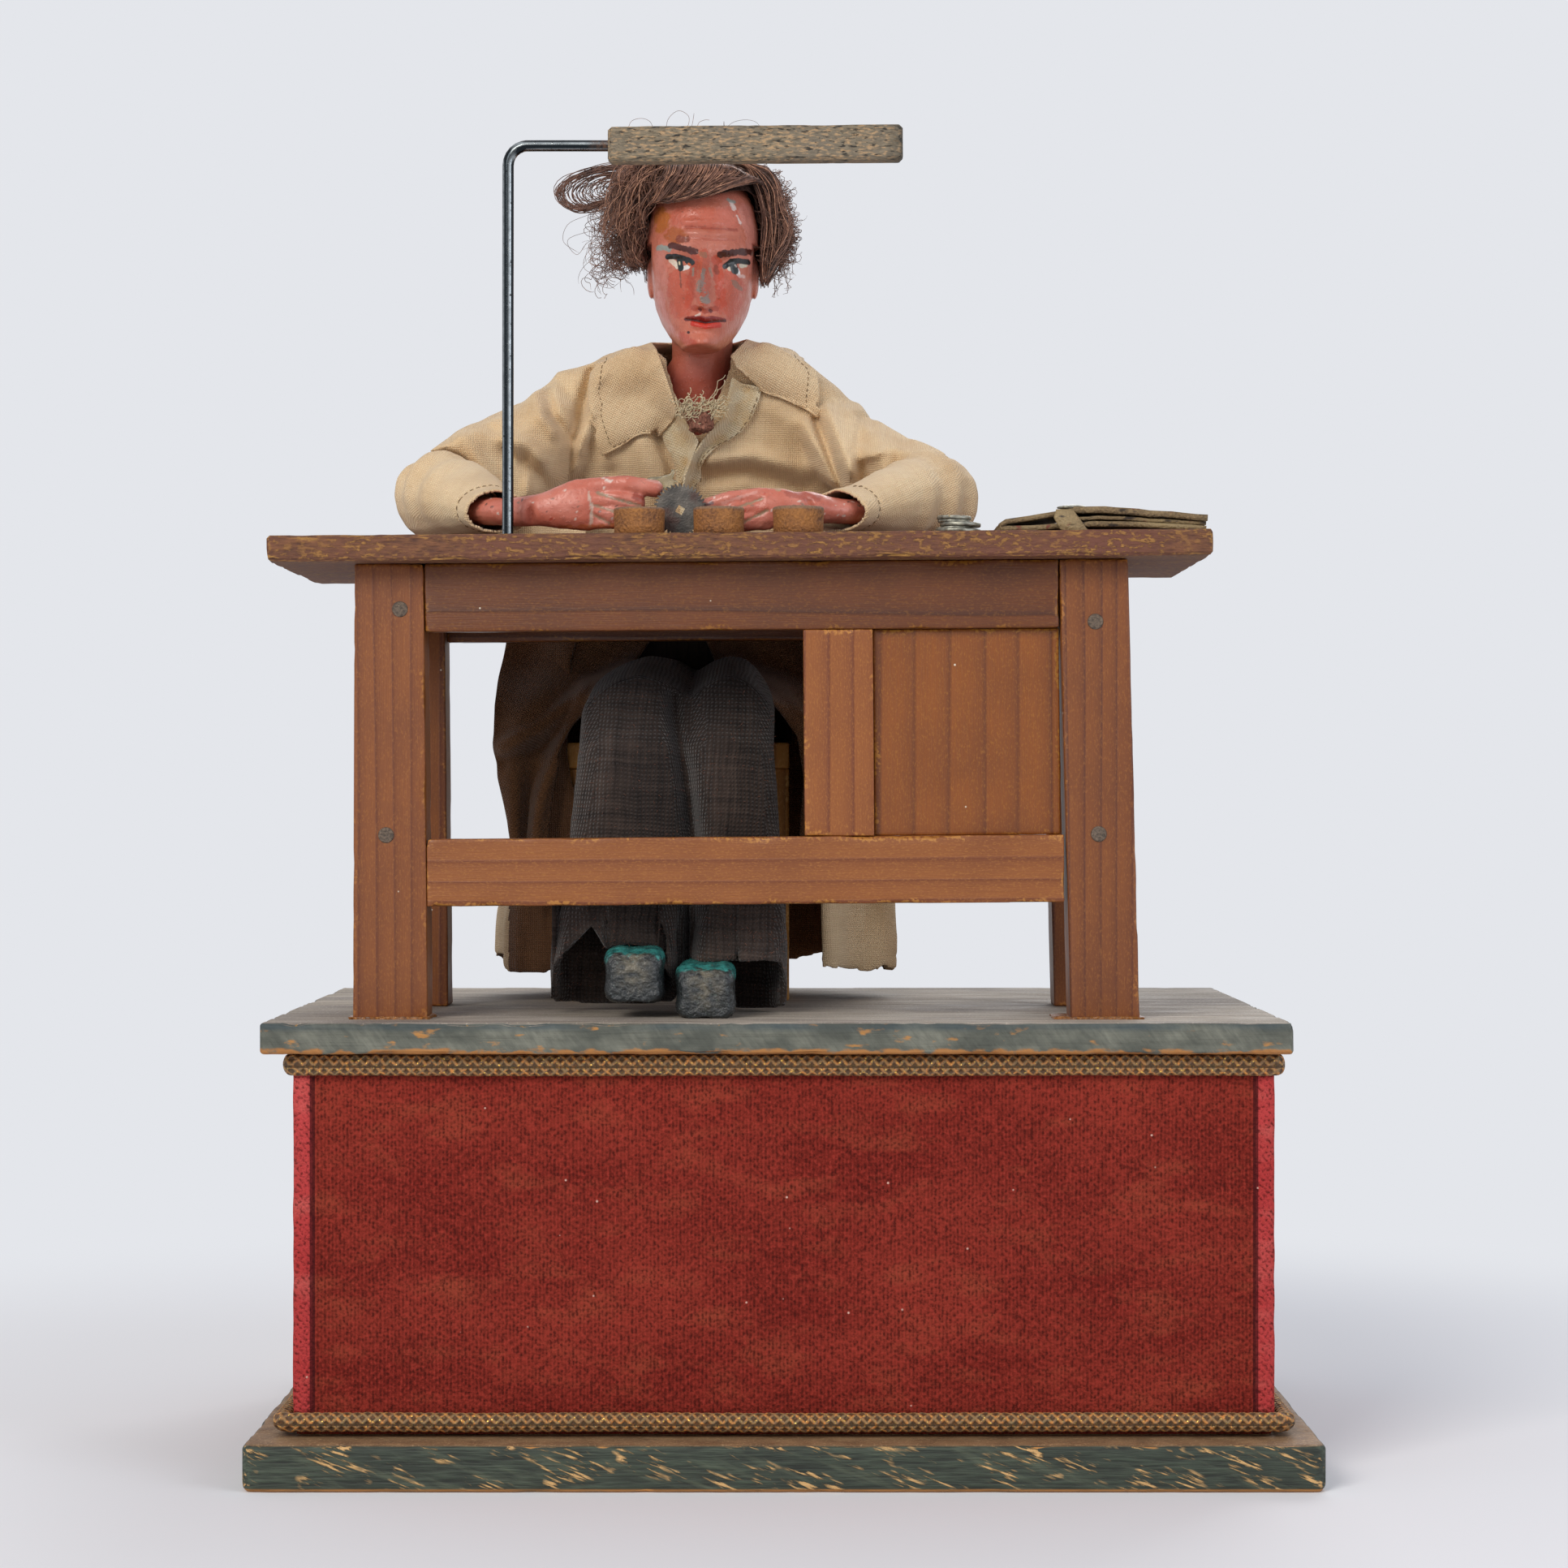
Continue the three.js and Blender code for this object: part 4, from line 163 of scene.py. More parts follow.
def set_surface(tree, shader, colour, roughness, height, depth):
    """Joins a colour, a roughness and a height pattern, depth metres deep, to the shader."""
    tree.links.new(colour, shader.inputs["Base Color"])
    if isinstance(roughness, tuple):
        pattern, at_low, at_high = roughness
        rough = add_node(tree, "MapRange", {0: pattern, 3: at_low, 4: at_high})
        tree.links.new(rough, shader.inputs["Roughness"])
    else:
        shader.inputs["Roughness"].default_value = roughness
    relief = add_node(tree, "Bump", {"Height": height, "Distance": depth})
    tree.links.new(relief, shader.inputs["Normal"])


def grains(tree, place, size, low, high, detail=4.0, stretch=(1, 1, 1), shift=(0, 0, 0), turn=(0, 0, 0)):
    """Noise of a grain size in metres, cut off between two levels: patches, or streaks that are turned."""
    longer = [1 / share for share in stretch]
    moved = add_node(tree, "Mapping", {0: place, 1: shift, 2: turn, 3: longer}, vector_type="TEXTURE")
    cloud = add_node(tree, "TexNoise", {0: moved, "Scale": 1 / size, "Detail": detail})
    return add_node(tree, "MapRange", {0: cloud, 1: low, 2: high})


def blend_in(tree, mask, under, over, strength=None):
    """Lays one colour over another where the mask is one, or as a thin coat of some strength."""
    if strength is not None:
        mask = add_node(tree, "Math", {0: mask, 1: strength}, operation="MULTIPLY")
    return add_node(tree, "Mix", {0: mask, 6: under, 7: over}, 2, data_type="RGBA")


def rub_edges(tree, colour, grain, low, high, bare):
    """Shows bare wood where the wear kept on a piece, broken up by a grain, passes two levels."""
    worn = add_node(tree, "Attribute", out="Fac", attribute_name="wear")
    ragged = add_node(tree, "Math", {0: worn, 1: grain}, operation="MULTIPLY")
    return blend_in(tree, add_node(tree, "MapRange", {0: ragged, 1: low, 2: high}), colour, bare)


def link_piece(name, form, finish, body="display_base", smooth=True):
    """Makes a piece of a bmesh, gives it its finish and lets it ride on a body."""
    mesh = bpy.data.meshes.new(name)
    form.to_mesh(mesh)
    form.free()
    mesh.polygons.foreach_set("use_smooth", [smooth] * len(mesh.polygons))
    mesh.materials.append(finish)
    piece = bpy.data.objects.new(name, mesh)
    scene.collection.objects.link(piece)
    if body:
        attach(piece, body)
    return piece


def merged_copy(node):
    """A CAD node's mesh with its corners joined, ready to be worked on."""
    form = bmesh.new()
    form.from_mesh(frame["nodes"][node].data)
    bmesh.ops.remove_doubles(form, verts=form.verts, dist=0.005 * mm)
    return form


def cut_across(form, axis, at):
    """Cuts a form by a plane across an axis, to give it points for wear or relief."""
    spot, across = Vector(), Vector()
    spot[axis], across[axis] = at, 1
    every = form.verts[:] + form.edges[:] + form.faces[:]
    bmesh.ops.bisect_plane(form, geom=every, dist=0.02 * mm, plane_co=spot, plane_no=across)


bench_foot = Vector((-153, 0, 162)) * mm


def worn_board(
    node, name, finish, round_off=0.8 * mm, chip=1.5 * mm, grid=4 * mm, turn=0.0, body="display_base"
):
    """A board of a CAD node with rounded, chipped and rubbed edges. Its wear is kept at each point."""
    lean = Matrix.Translation(bench_foot) @ Matrix.Rotation(turn, 4, "Y") @ Matrix.Translation(-bench_foot)
    form = merged_copy(node)
    form.transform(lean.inverted())
    bmesh.ops.dissolve_limit(form, angle_limit=0.01, verts=form.verts, edges=form.edges)
    sharp = [edge for edge in form.edges if edge.calc_face_angle(0) > 0.3]
    bmesh.ops.bevel(
        form, geom=sharp, offset=round_off, affect="EDGES", segments=2, profile=0.5, material=-1,
        clamp_overlap=True
    )
    low = [min(v.co[axis] for v in form.verts) for axis in range(3)]
    high = [max(v.co[axis] for v in form.verts) for axis in range(3)]
    for axis in range(3):
        length = high[axis] - low[axis]
        cuts = [low[axis] + 1.4 * mm, low[axis] + 3 * mm, high[axis] - 1.4 * mm, high[axis] - 3 * mm]
        steps = max(1, round(length / grid))
        cuts += [low[axis] + length * step / steps for step in range(1, steps)]
        for cut in cuts:
            cut_across(form, axis, cut)
    form.normal_update()
    wear = form.verts.layers.float.new("wear")
    for vert in form.verts:
        gaps = sorted(min(vert.co[axis] - low[axis], high[axis] - vert.co[axis]) for axis in range(3))
        near = max(0.0, 1 - gaps[1] / (3.5 * mm))
        coarse = noise.noise(vert.co * 70 + Vector((low[0] * 40, 3, 1)))
        fine = noise.noise(vert.co * 260)
        bite = max(0.0, coarse * 0.9 + fine * 0.7 - 0.05)
        vert[wear] = near * (0.35 + 0.9 * bite + 0.4 * fine)
        vert.co -= vert.normal * chip * near * near * bite
    form.transform(lean)
    piece = link_piece(name, form, finish, body)
    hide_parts(node)
    return piece


# Old oil paint on softwood: dull, scored by the saw, with dust in the hollows.
plinth_paint, tree, shader, place = start_finish("old green paint")
fibre = grains(tree, place, 0.9 * mm, 0.3, 0.7, 6, (0.08, 1, 1))
clouds = grains(tree, place, 22 * mm, 0.35, 0.68)
down = (0, math.radians(21), 0)
strokes = grains(tree, place, 1.1 * mm, 0.53, 0.6, 6, (0.12, 1, 1), turn=down)
gathered = grains(tree, place, 8 * mm, 0.5, 0.58, 3, (0.4, 1, 1), turn=down)
specks = grains(tree, place, 0.7 * mm, 0.6, 0.75, 2)
colour = blend_in(tree, clouds, "#2e382c", "#434f3f")
colour = blend_in(tree, fibre, "#1e231d", colour)
dull = grains(tree, place, 3.5 * mm, 0.55, 0.75, 5, (0.15, 1, 1), (0.1, 0, 0.2), down)
colour = blend_in(tree, dull, colour, "#5c6450", 0.6)
scored = add_node(tree, "Math", {0: strokes, 1: gathered}, operation="MULTIPLY")
colour = blend_in(tree, scored, colour, "#d0a66c")
pitted = add_node(tree, "Math", {0: scored, 1: specks}, operation="MULTIPLY")
colour = blend_in(tree, pitted, colour, "#2a2016")
tall = add_node(tree, "SeparateXYZ", {0: place}, 2)
lip = add_node(tree, "MapRange", {0: tall, 1: 1.5 * mm, 2: 1.0 * mm})
lip = add_node(
    tree, "Math", {0: lip, 1: grains(tree, place, 6 * mm, 0.1, 0.5, 4, (0.3, 1, 1))}, operation="MULTIPLY"
)
colour = blend_in(tree, lip, colour, "#a8743c")
upward = add_node(tree, "SeparateXYZ", {0: add_node(tree, "TexCoord", out="Normal")}, 2)
top = add_node(tree, "MapRange", {0: upward, 1: 0.75, 2: 0.95})
dust = blend_in(tree, grains(tree, place, 9 * mm, 0.3, 0.7, 6), "#71553a", "#957654")
dust = blend_in(tree, grains(tree, place, 0.8 * mm, 0.55, 0.75, 3), dust, "#c09f77")
colour = blend_in(tree, top, colour, dust)
colour = rub_edges(tree, colour, fibre, 0.34, 0.6, "#de9c52")
height = add_node(tree, "Math", {0: fibre, 1: 0.6, 2: scored}, operation="MULTIPLY_ADD")
set_surface(tree, shader, colour, (fibre, 0.75, 0.5), height, 0.35 * mm)
worn_board("plinth_board", "plinth", plinth_paint, 0.9 * mm, 1.6 * mm, 5 * mm)

# Drive box. Plain pine boards glued into a box, bare inside and at the back, where a door on a
# brass hinge with a turn button gives access to the motor.


def pine(name, grain, pith, light, dark, ring_gap=4 * mm, shine=0.45, stain="#6a3a1c", raw="#c98a48"):
    """Softwood: growth rings along grain about a pith outside the board, fibres, stains, worn edges."""
    finish, tree, shader, place = start_finish(name)
    along = [0.05 if axis == grain else 1.0 for axis in "XYZ"]
    long = add_node(tree, "Mapping", {0: place, 3: along})
    wander = add_node(tree, "TexNoise", {0: long, "Scale": 45.0, "Detail": 2.0}, "Color")
    drift = add_node(tree, "VectorMath", {0: wander, 1: (9 * mm,) * 3, 2: place}, operation="MULTIPLY_ADD")
    centred = add_node(tree, "Mapping", {0: drift, 1: [-p * mm for p in pith]})
    rings = add_node(
        tree, "TexWave", {0: centred, "Scale": 0.314 / ring_gap}, "Fac",
        wave_type="RINGS", rings_direction=grain, wave_profile="SAW",
    )
    late = add_node(
        tree, "ValToRGB", {0: rings}, stops=[(0.0, 0.0), (0.45, 0.06), (0.8, 0.4), (0.93, 1.0), (1.0, 0.1)]
    )
    late = add_node(
        tree, "Math", {0: late, 1: grains(tree, place, 30 * mm, -0.5, 0.6, 2, along)}, operation="MULTIPLY"
    )
    fibre = grains(tree, place, 0.5 * mm, 0.25, 0.75, 5, along)
    pores = grains(tree, place, 0.55 * mm, 0.52, 0.75, 2, [0.5 if axis == grain else 1.0 for axis in "XYZ"])
    colour = blend_in(tree, late, light, dark)
    colour = blend_in(tree, fibre, colour, stain, 0.35)
    clouds = grains(tree, place, 26 * mm, 0.45, 0.8, 5)
    colour = blend_in(tree, clouds, colour, stain, 0.55)
    colour = blend_in(tree, pores, colour, raw, 0.45)
    cell = add_node(tree, "TexVoronoi", {0: place, "Scale": 1 / (14 * mm)}, "Distance")
    fleck = add_node(tree, "MapRange", {0: cell, 1: 0.034, 2: 0.016})
    colour = blend_in(tree, fleck, colour, "#d8cdb8")
    colour = rub_edges(tree, colour, grains(tree, place, 1.3 * mm, 0.3, 0.65, 4), 0.22, 0.42, raw)
    height = add_node(tree, "Math", {0: fibre, 1: 0.5, 2: late}, operation="MULTIPLY_ADD")
    set_surface(tree, shader, colour, (fibre, shine, shine + 0.16), height, 0.1 * mm)
    return finish


# Bare sawn pine: pale, dry and dull, greyed by handling.
bare_pine = pine(
    "bare sawn pine", "X", (0, 60, -25), "#c09868", "#a47a4e", 4.4 * mm, 0.7, "#6f5236", "#dcc096"
)
for node in ("box_front_panel", "box_left_panel", "box_right_panel", "box_back_panel"):
    worn_board(node, node + "_worn", bare_pine, 0.5 * mm, 0.6 * mm, 12 * mm)
worn_board("rear_door", "rear_door_worn", bare_pine, 0.8 * mm, 0.8 * mm, 8 * mm, body="rear_door")

# Worn brass: yellow metal gone brown in its hollows, with rubbed bright marks.
brass, tree, shader, place = start_finish("worn brass")
tarnish = grains(tree, place, 6 * mm, 0.35, 0.7, 5)
scratch = grains(tree, place, 0.8 * mm, 0.4, 0.7, 3, (1, 0.15, 1))
colour = blend_in(tree, tarnish, "#c79a4a", "#7d5a2a")
colour = blend_in(tree, scratch, colour, "#e2c27a", 0.3)
shader.inputs["Metallic"].default_value = 1.0
set_surface(tree, shader, colour, (tarnish, 0.26, 0.5), scratch, 0.04 * mm)

# Mild steel: grey drawn metal under thin oil, with brown rust freckles.
steel, tree, shader, place = start_finish("oiled mild steel")
rust = grains(tree, place, 3.5 * mm, 0.58, 0.75, 6)
scratch = grains(tree, place, 0.7 * mm, 0.35, 0.7, 3, (1, 1, 0.1))
colour = blend_in(tree, scratch, "#6d6f72", "#8d8f92")
colour = blend_in(tree, rust, colour, "#5b3d2a")
tree.links.new(add_node(tree, "MapRange", {0: rust, 3: 1.0, 4: 0.3}), shader.inputs["Metallic"])
set_surface(tree, shader, colour, (rust, 0.3, 0.75), scratch, 0.05 * mm)


def refinish(finish, *nodes):
    """Gives CAD nodes whose shape is right their finish."""
    for node in nodes:
        mesh = frame["nodes"][node].data
        mesh.materials.clear()
        mesh.materials.append(finish)
        mesh.polygons.foreach_set("material_index", [0] * len(mesh.polygons))


refinish(
    brass, "door_hinge", "door_button", "motor_front_plate", "motor_back_plate", "spring_barrel", "cam_shaft",
    "governor_fly"
)
refinish(steel, "winding_key", "stop_lever", "arm_lever", "head_lever", "head_rod", "arm_rod")

# Velvet cover. Red cotton velvet glued round the front and sides of the box, its selvedge edges
# folded into narrow rolls that meet at the two front corners. The nap is worn in sideways streaks.
cover_low, cover_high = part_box("velvet_cover")
roll_width = 6.5 * mm


def chain(form, points, closed=False):
    """Joins points by edges, in their order."""
    return [form.edges.new(pair) for pair in zip(points, points[1:] + points[:closed])]


def draw_out(form, edges, step):
    """Draws edges out by a step into faces, and returns the edges at the far side."""
    made = bmesh.ops.extrude_edge_only(form, edges=edges)["geom"]
    bmesh.ops.translate(form, vec=step, verts=[v for v in made if isinstance(v, bmesh.types.BMVert)])
    return [e for e in made if isinstance(e, bmesh.types.BMEdge)]


def give_wall(piece, thick, offset=-1):
    """Gives a sheet its thickness in mm, on one side of it or on both."""
    wall = piece.modifiers.new("cloth thickness", "SOLIDIFY")
    wall.thickness = thick * mm
    wall.offset = offset


def velvet(name, deep, bright, worn, rolled):
    """Cotton velvet: rows of short pile that glow at grazing angles, with painted highlights on the tufts and
    painted shade between them, crushed and faded in streaks.
    """
    finish, tree, shader, place = start_finish(name)
    rows = add_node(
        tree, "TexWave", {0: place, "Scale": 0.314 / (1.3 * mm), "Distortion": 1.6, "Detail Scale": 3.0},
        "Fac", wave_type="BANDS", bands_direction="DIAGONAL" if rolled else "X",
    )
    tuft = grains(tree, place, 1.15 * mm, 0.32, 0.68, 4)
    crushed = grains(tree, place, 9 * mm, 0.52, 0.74, 7, (0.4, 0.4, 1), (0.03, 0, 0.02))
    shade = grains(tree, place, 34 * mm, 0.36, 0.66, 5, (0.6, 0.6, 1), (0.2, 0, 0.1))
    tall = add_node(tree, "SeparateXYZ", {0: place}, 2)
    upper = add_node(tree, "MapRange", {0: tall, 1: 105 * mm, 2: 138 * mm}, interpolation_type="SMOOTHSTEP")
    colour = blend_in(tree, shade, deep, bright)
    colour = blend_in(tree, upper, colour, bright, 0.35)
    colour = blend_in(tree, crushed, colour, worn, 0.5)
    pile = add_node(tree, "Math", {0: rows, 1: 0.35, 2: tuft}, operation="MULTIPLY_ADD")
    # The tips of the pile are painted lighter, a painted highlight, and the gaps between them darker, a
    # painted shade.
    lit = add_node(tree, "MapRange", {0: pile, 1: 0.75, 2: 1.3, 3: 0.0, 4: 0.55})
    colour = blend_in(tree, lit, colour, "#aa3c31")
    dark = add_node(tree, "MapRange", {0: pile, 1: 0.1, 2: 0.7, 3: 0.8, 4: 0.0})
    colour = blend_in(tree, dark, colour, "#3a0f0b")
    seam = add_node(tree, "SeparateXYZ", {0: place})
    seam = add_node(tree, "Math", {0: seam}, operation="ABSOLUTE")
    seam = add_node(tree, "Math", {0: seam, 1: cover_high.x - roll_width, 2: 0.9 * mm}, operation="COMPARE")
    colour = blend_in(tree, seam, colour, "#3c1016", 0.75)
    cell = add_node(tree, "TexVoronoi", {0: place, "Scale": 1 / (13 * mm)}, "Distance")
    lint = add_node(tree, "MapRange", {0: cell, 1: 0.04, 2: 0.02})
    colour = blend_in(tree, lint, colour, "#d9b0a0")
    shader.inputs["Sheen Weight"].default_value = 0.35
    shader.inputs["Sheen Roughness"].default_value = 0.4
    shader.inputs["Sheen Tint"].default_value = srgb("#ff6a50")
    shader.inputs["Specular IOR Level"].default_value = 0.15
    set_surface(tree, shader, colour, 0.95, pile, 0.5 * mm)
    return finish


nap = velvet("worn red velvet", "#74221a", "#8c3226", "#a04c34", False)
selvedge = velvet("red velvet selvedge", "#b33a3a", "#c64a4a", "#d06d64", True)
form = bmesh.new()
front = cover_low.y + 0.9 * mm
side = cover_high.x - 0.9 * mm
route = [Vector((-side, cover_high.y, 0))]
for corner, sign in ((Vector((-side, front, 0)), -1), (Vector((side, front, 0)), 1)):
    bend = [
        corner + Vector((-sign * 2 * mm * (1 - math.cos(a)), 2 * mm * (1 - math.sin(a)), 0))
        for a in (0, 0.5, 1.05, 1.57)
    ]
    route += bend if sign < 0 else bend[::-1]
route.append(Vector((side, cover_high.y, 0)))
rim = [form.verts.new((at.x, at.y, cover_low.z + 0.4 * mm)) for at in route]
rise = cover_high.z - cover_low.z - 0.8 * mm
draw_out(form, chain(form, rim), (0, 0, rise))
for axis in range(3):
    lowest = min(v.co[axis] for v in form.verts)
    highest = max(v.co[axis] for v in form.verts)
    steps = round((highest - lowest) / (3 * mm))
    for step in range(1, steps):
        cut_across(form, axis, lowest + (highest - lowest) * step / steps)
form.normal_update()
for vert in form.verts:
    swell = noise.noise(vert.co * 22) * 0.35 + noise.noise(vert.co * 60) * 0.15
    outward = Vector((vert.normal.x, vert.normal.y, 0))
    if outward.dot(Vector((vert.co.x, vert.co.y, 0))) < 0:
        outward = -outward
    vert.co += outward.normalized() * swell * mm
cover_area = sum(face.calc_area() for face in form.faces)
cover = link_piece("velvet_wrap", form, nap)
give_wall(cover, 0.5, 0)
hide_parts("velvet_cover")

for name, sign in (("left", -1), ("right", 1)):
    form = bmesh.new()
    middle = sign * (cover_high.x - roll_width / 2)
    profile = []
    for step in range(9):
        turn_by = math.pi * step / 8
        profile.append(form.verts.new((
            middle - sign * math.cos(turn_by) * roll_width / 2,
            front - math.sin(turn_by) * 1.3 * mm + 0.5 * mm,
            cover_low.z + 7 * mm,
        )))
    edges = chain(form, profile)
    rows = 44
    for row in range(rows):
        tall = (cover_high.z - cover_low.z - 14 * mm) / rows
        sway = noise.noise(Vector((row * 0.35, sign, 2))) * 0.25 * mm
        edges = draw_out(form, edges, (sway, 0, tall))
    bmesh.ops.recalc_face_normals(form, faces=form.faces)
    roll = link_piece("velvet_roll_" + name, form, selvedge)
    give_wall(roll, 0.5, 0)

# Braids. A thin round braid at the foot of the velvet and a flatter one under the platform, both of
# brown and orange silk with a gold thread, glued round the front and sides to hide the raw edges.


def braided(name, node, flatness, dip):
    """A braid laid round three sides of the box: a tube whose skin is raised in crossing strands."""
    low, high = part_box(node)
    tall = (high.z - low.z) / 2
    deep = tall * flatness
    mid = (low.z + high.z) / 2
    corner = 4 * mm
    left = low.x + deep
    front = low.y + deep
    path = [Vector((left, high.y, mid)), Vector((left, front + corner, mid))]
    path += [
        Vector((left + corner * (1 - math.cos(a)), front + corner * (1 - math.sin(a)), mid))
        for a in (0.5, 1.05, 1.5)
    ]
    path += [Vector((-at.x, at.y, at.z)) for at in path[::-1]]
    lengths = [0.0]
    for first, second in zip(path, path[1:]):
        lengths.append(lengths[-1] + (second - first).length)
    sides = 26
    gap = 0.62 * mm
    count = round(lengths[-1] / gap)
    pitch = 3.6 * mm
    form = bmesh.new()
    u_layer = form.verts.layers.float.new("around")
    v_layer = form.verts.layers.float.new("along")
    rim = []
    leg = 0
    for row in range(count + 1):
        along = lengths[-1] * row / count
        while leg < len(path) - 2 and lengths[leg + 1] < along:
            leg += 1
        share = (along - lengths[leg]) / (lengths[leg + 1] - lengths[leg])
        at = path[leg].lerp(path[leg + 1], share)
        run = (path[min(leg + 1, len(path) - 1)] - path[leg]).normalized()
        outward = Vector((run.y, -run.x, 0))
        at = at + Vector((0, 0, dip * mm * noise.noise(Vector((along * 14, tall * 900, 0)))))
        ring = []
        for step in range(sides):
            turned = 2 * math.pi * step / sides
            strands = 5 * turned / math.pi
            one = math.sin(math.pi * (along / pitch * 2 + strands))
            two = math.sin(math.pi * (along / pitch * 2 - strands))
            raised = 1 + 0.04 * max(one, two) + 0.05 * noise.noise(Vector((along * 500, turned, 0)))
            vert = form.verts.new(
                at + outward * (deep * 0.9 * raised * math.cos(turned))
                + Vector((0, 0, tall * 0.9 * raised * math.sin(turned)))
            )
            vert[u_layer] = turned / (2 * math.pi)
            vert[v_layer] = along / pitch
            ring.append(vert)
        if rim:
            for step in range(sides):
                after = (step + 1) % sides
                form.faces.new((rim[step], rim[after], ring[after], ring[step]))
        else:
            form.faces.new(ring)
        rim = ring
    form.faces.new(rim[::-1])
    bmesh.ops.recalc_face_normals(form, faces=form.faces)
    piece = link_piece(name, form, braid_silk)
    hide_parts(node)
    return piece


# Plaited silk round a cord: brown, orange and grey-green strands with gold glints, with shade painted dark
# between them.
braid_silk, tree, shader, place = start_finish("plaited silk and gold thread")
around = add_node(tree, "Attribute", out="Fac", attribute_name="around")
along = add_node(tree, "Attribute", out="Fac", attribute_name="along")
twice = add_node(tree, "Math", {0: along, 1: 2.0}, operation="MULTIPLY")
ridges = []
for slope in (10.0, -10.0):
    slant = add_node(tree, "Math", {0: around, 1: slope, 2: twice}, operation="MULTIPLY_ADD")
    half_turns = add_node(tree, "Math", {0: slant, 1: math.pi}, operation="MULTIPLY")
    ridges.append(add_node(tree, "Math", {0: half_turns}, operation="SINE"))
top = add_node(tree, "Math", {0: ridges[0], 1: ridges[1]}, operation="MAXIMUM")
over = add_node(tree, "Math", {0: ridges[0], 1: ridges[1]}, operation="GREATER_THAN")
colour = blend_in(tree, over, "#836142", "#a87744")
tone = grains(tree, place, 4 * mm, 0.35, 0.68, 3)
colour = blend_in(tree, tone, colour, "#856f4c")
colour = blend_in(tree, grains(tree, place, 1.4 * mm, 0.5, 0.7, 2, shift=(1, 0, 0)), colour, "#cf8842")
gold = grains(tree, place, 0.8 * mm, 0.62, 0.7, 2, shift=(0, 0, 1))
colour = blend_in(tree, gold, colour, "#ffd164")
# Painted shade: the low places between the strands are painted dark.
deep = add_node(tree, "MapRange", {0: top, 1: -0.1, 2: 0.75, 3: 0.85, 4: 0.0})
colour = blend_in(tree, deep, colour, "#412d1d")
tree.links.new(add_node(tree, "Math", {0: gold, 1: 0.8}, operation="MULTIPLY"), shader.inputs["Metallic"])
set_surface(
    tree, shader, colour, (gold, 0.7, 0.3), add_node(tree, "Math", {0: top, 1: tone}, operation="ADD"),
    0.35 * mm
)
braided("lower_braid_plaited", "lower_braid", 1.0, 0.5)
braided("upper_braid_plaited", "upper_braid", 0.62, 0.4)

# Platform board. A sawn board under the bench, painted grey. Its front edge shows slanting saw
# marks under the paint and raw orange wood along its lower rim, and its top is dusty and stained,
# its colour made paler still as painted light against the bench's shade.
platform_paint, tree, shader, place = start_finish("old grey paint on sawn board")
upward = add_node(tree, "SeparateXYZ", {0: add_node(tree, "TexCoord", out="Normal")}, 2)
top = add_node(tree, "MapRange", {0: upward, 1: 0.7, 2: 0.95})
saw = grains(tree, place, 1.5 * mm, 0.35, 0.7, 4, (1, 1, 0.25), turn=(0, math.radians(-38), 0))
patch = grains(tree, place, 12 * mm, 0.38, 0.66, 5, (0.6, 1, 1))
edge = blend_in(tree, patch, "#4f524a", "#797a6d")
edge = blend_in(tree, saw, edge, "#40433d", 0.5)
raw = grains(tree, place, 3.5 * mm, 0.64, 0.72, 7, (0.45, 1, 1), (0.15, 0, 0.05))
edge = blend_in(tree, raw, edge, "#ac7a41")
streak = grains(tree, place, 2.6 * mm, 0.35, 0.7, 6, (0.05, 1, 1))
# The top: pale from dust, and paler still as painted light.
board = blend_in(tree, streak, "#877e71", "#c7bcaf")
board = blend_in(tree, grains(tree, place, 30 * mm, 0.45, 0.75, 5, (0.4, 1, 1)), board, "#706762")
board = blend_in(tree, grains(tree, place, 0.9 * mm, 0.6, 0.75, 3), board, "#f3e4d2")
colour = blend_in(tree, top, edge, board)
depth = add_node(tree, "SeparateXYZ", {0: place}, 2)
rim = add_node(tree, "MapRange", {0: depth, 1: 154.2 * mm, 2: 151.2 * mm})
rim = add_node(
    tree, "Math", {0: rim, 1: grains(tree, place, 3.2 * mm, 0.25, 0.7, 6, (0.5, 1, 1))}, operation="MULTIPLY"
)
blue = add_node(tree, "MapRange", {0: depth, 1: 158.6 * mm, 2: 160.4 * mm})
blue = add_node(
    tree, "Math", {0: blue, 1: grains(tree, place, 8 * mm, 0.3, 0.6, 5, (0.3, 1, 1))}, operation="MULTIPLY"
)
blue = add_node(
    tree, "Math", {0: blue, 1: add_node(tree, "MapRange", {0: top, 3: 0.8, 4: 0.0})}, operation="MULTIPLY"
)
colour = blend_in(tree, blue, colour, "#39464a")
rim = add_node(tree, "MapRange", {0: rim, 1: 0.22, 2: 0.4})
colour = blend_in(tree, rim, colour, "#a5703a")
colour = rub_edges(tree, colour, grains(tree, place, 2.2 * mm, 0.3, 0.7, 5), 0.5, 0.72, "#a98148")
height = add_node(tree, "Math", {0: saw, 1: 0.5, 2: streak}, operation="MULTIPLY_ADD")
set_surface(tree, shader, colour, (patch, 0.8, 0.62), height, 0.4 * mm)
worn_board("platform_board", "platform", platform_paint, 1.0 * mm, 2.4 * mm, 4 * mm)

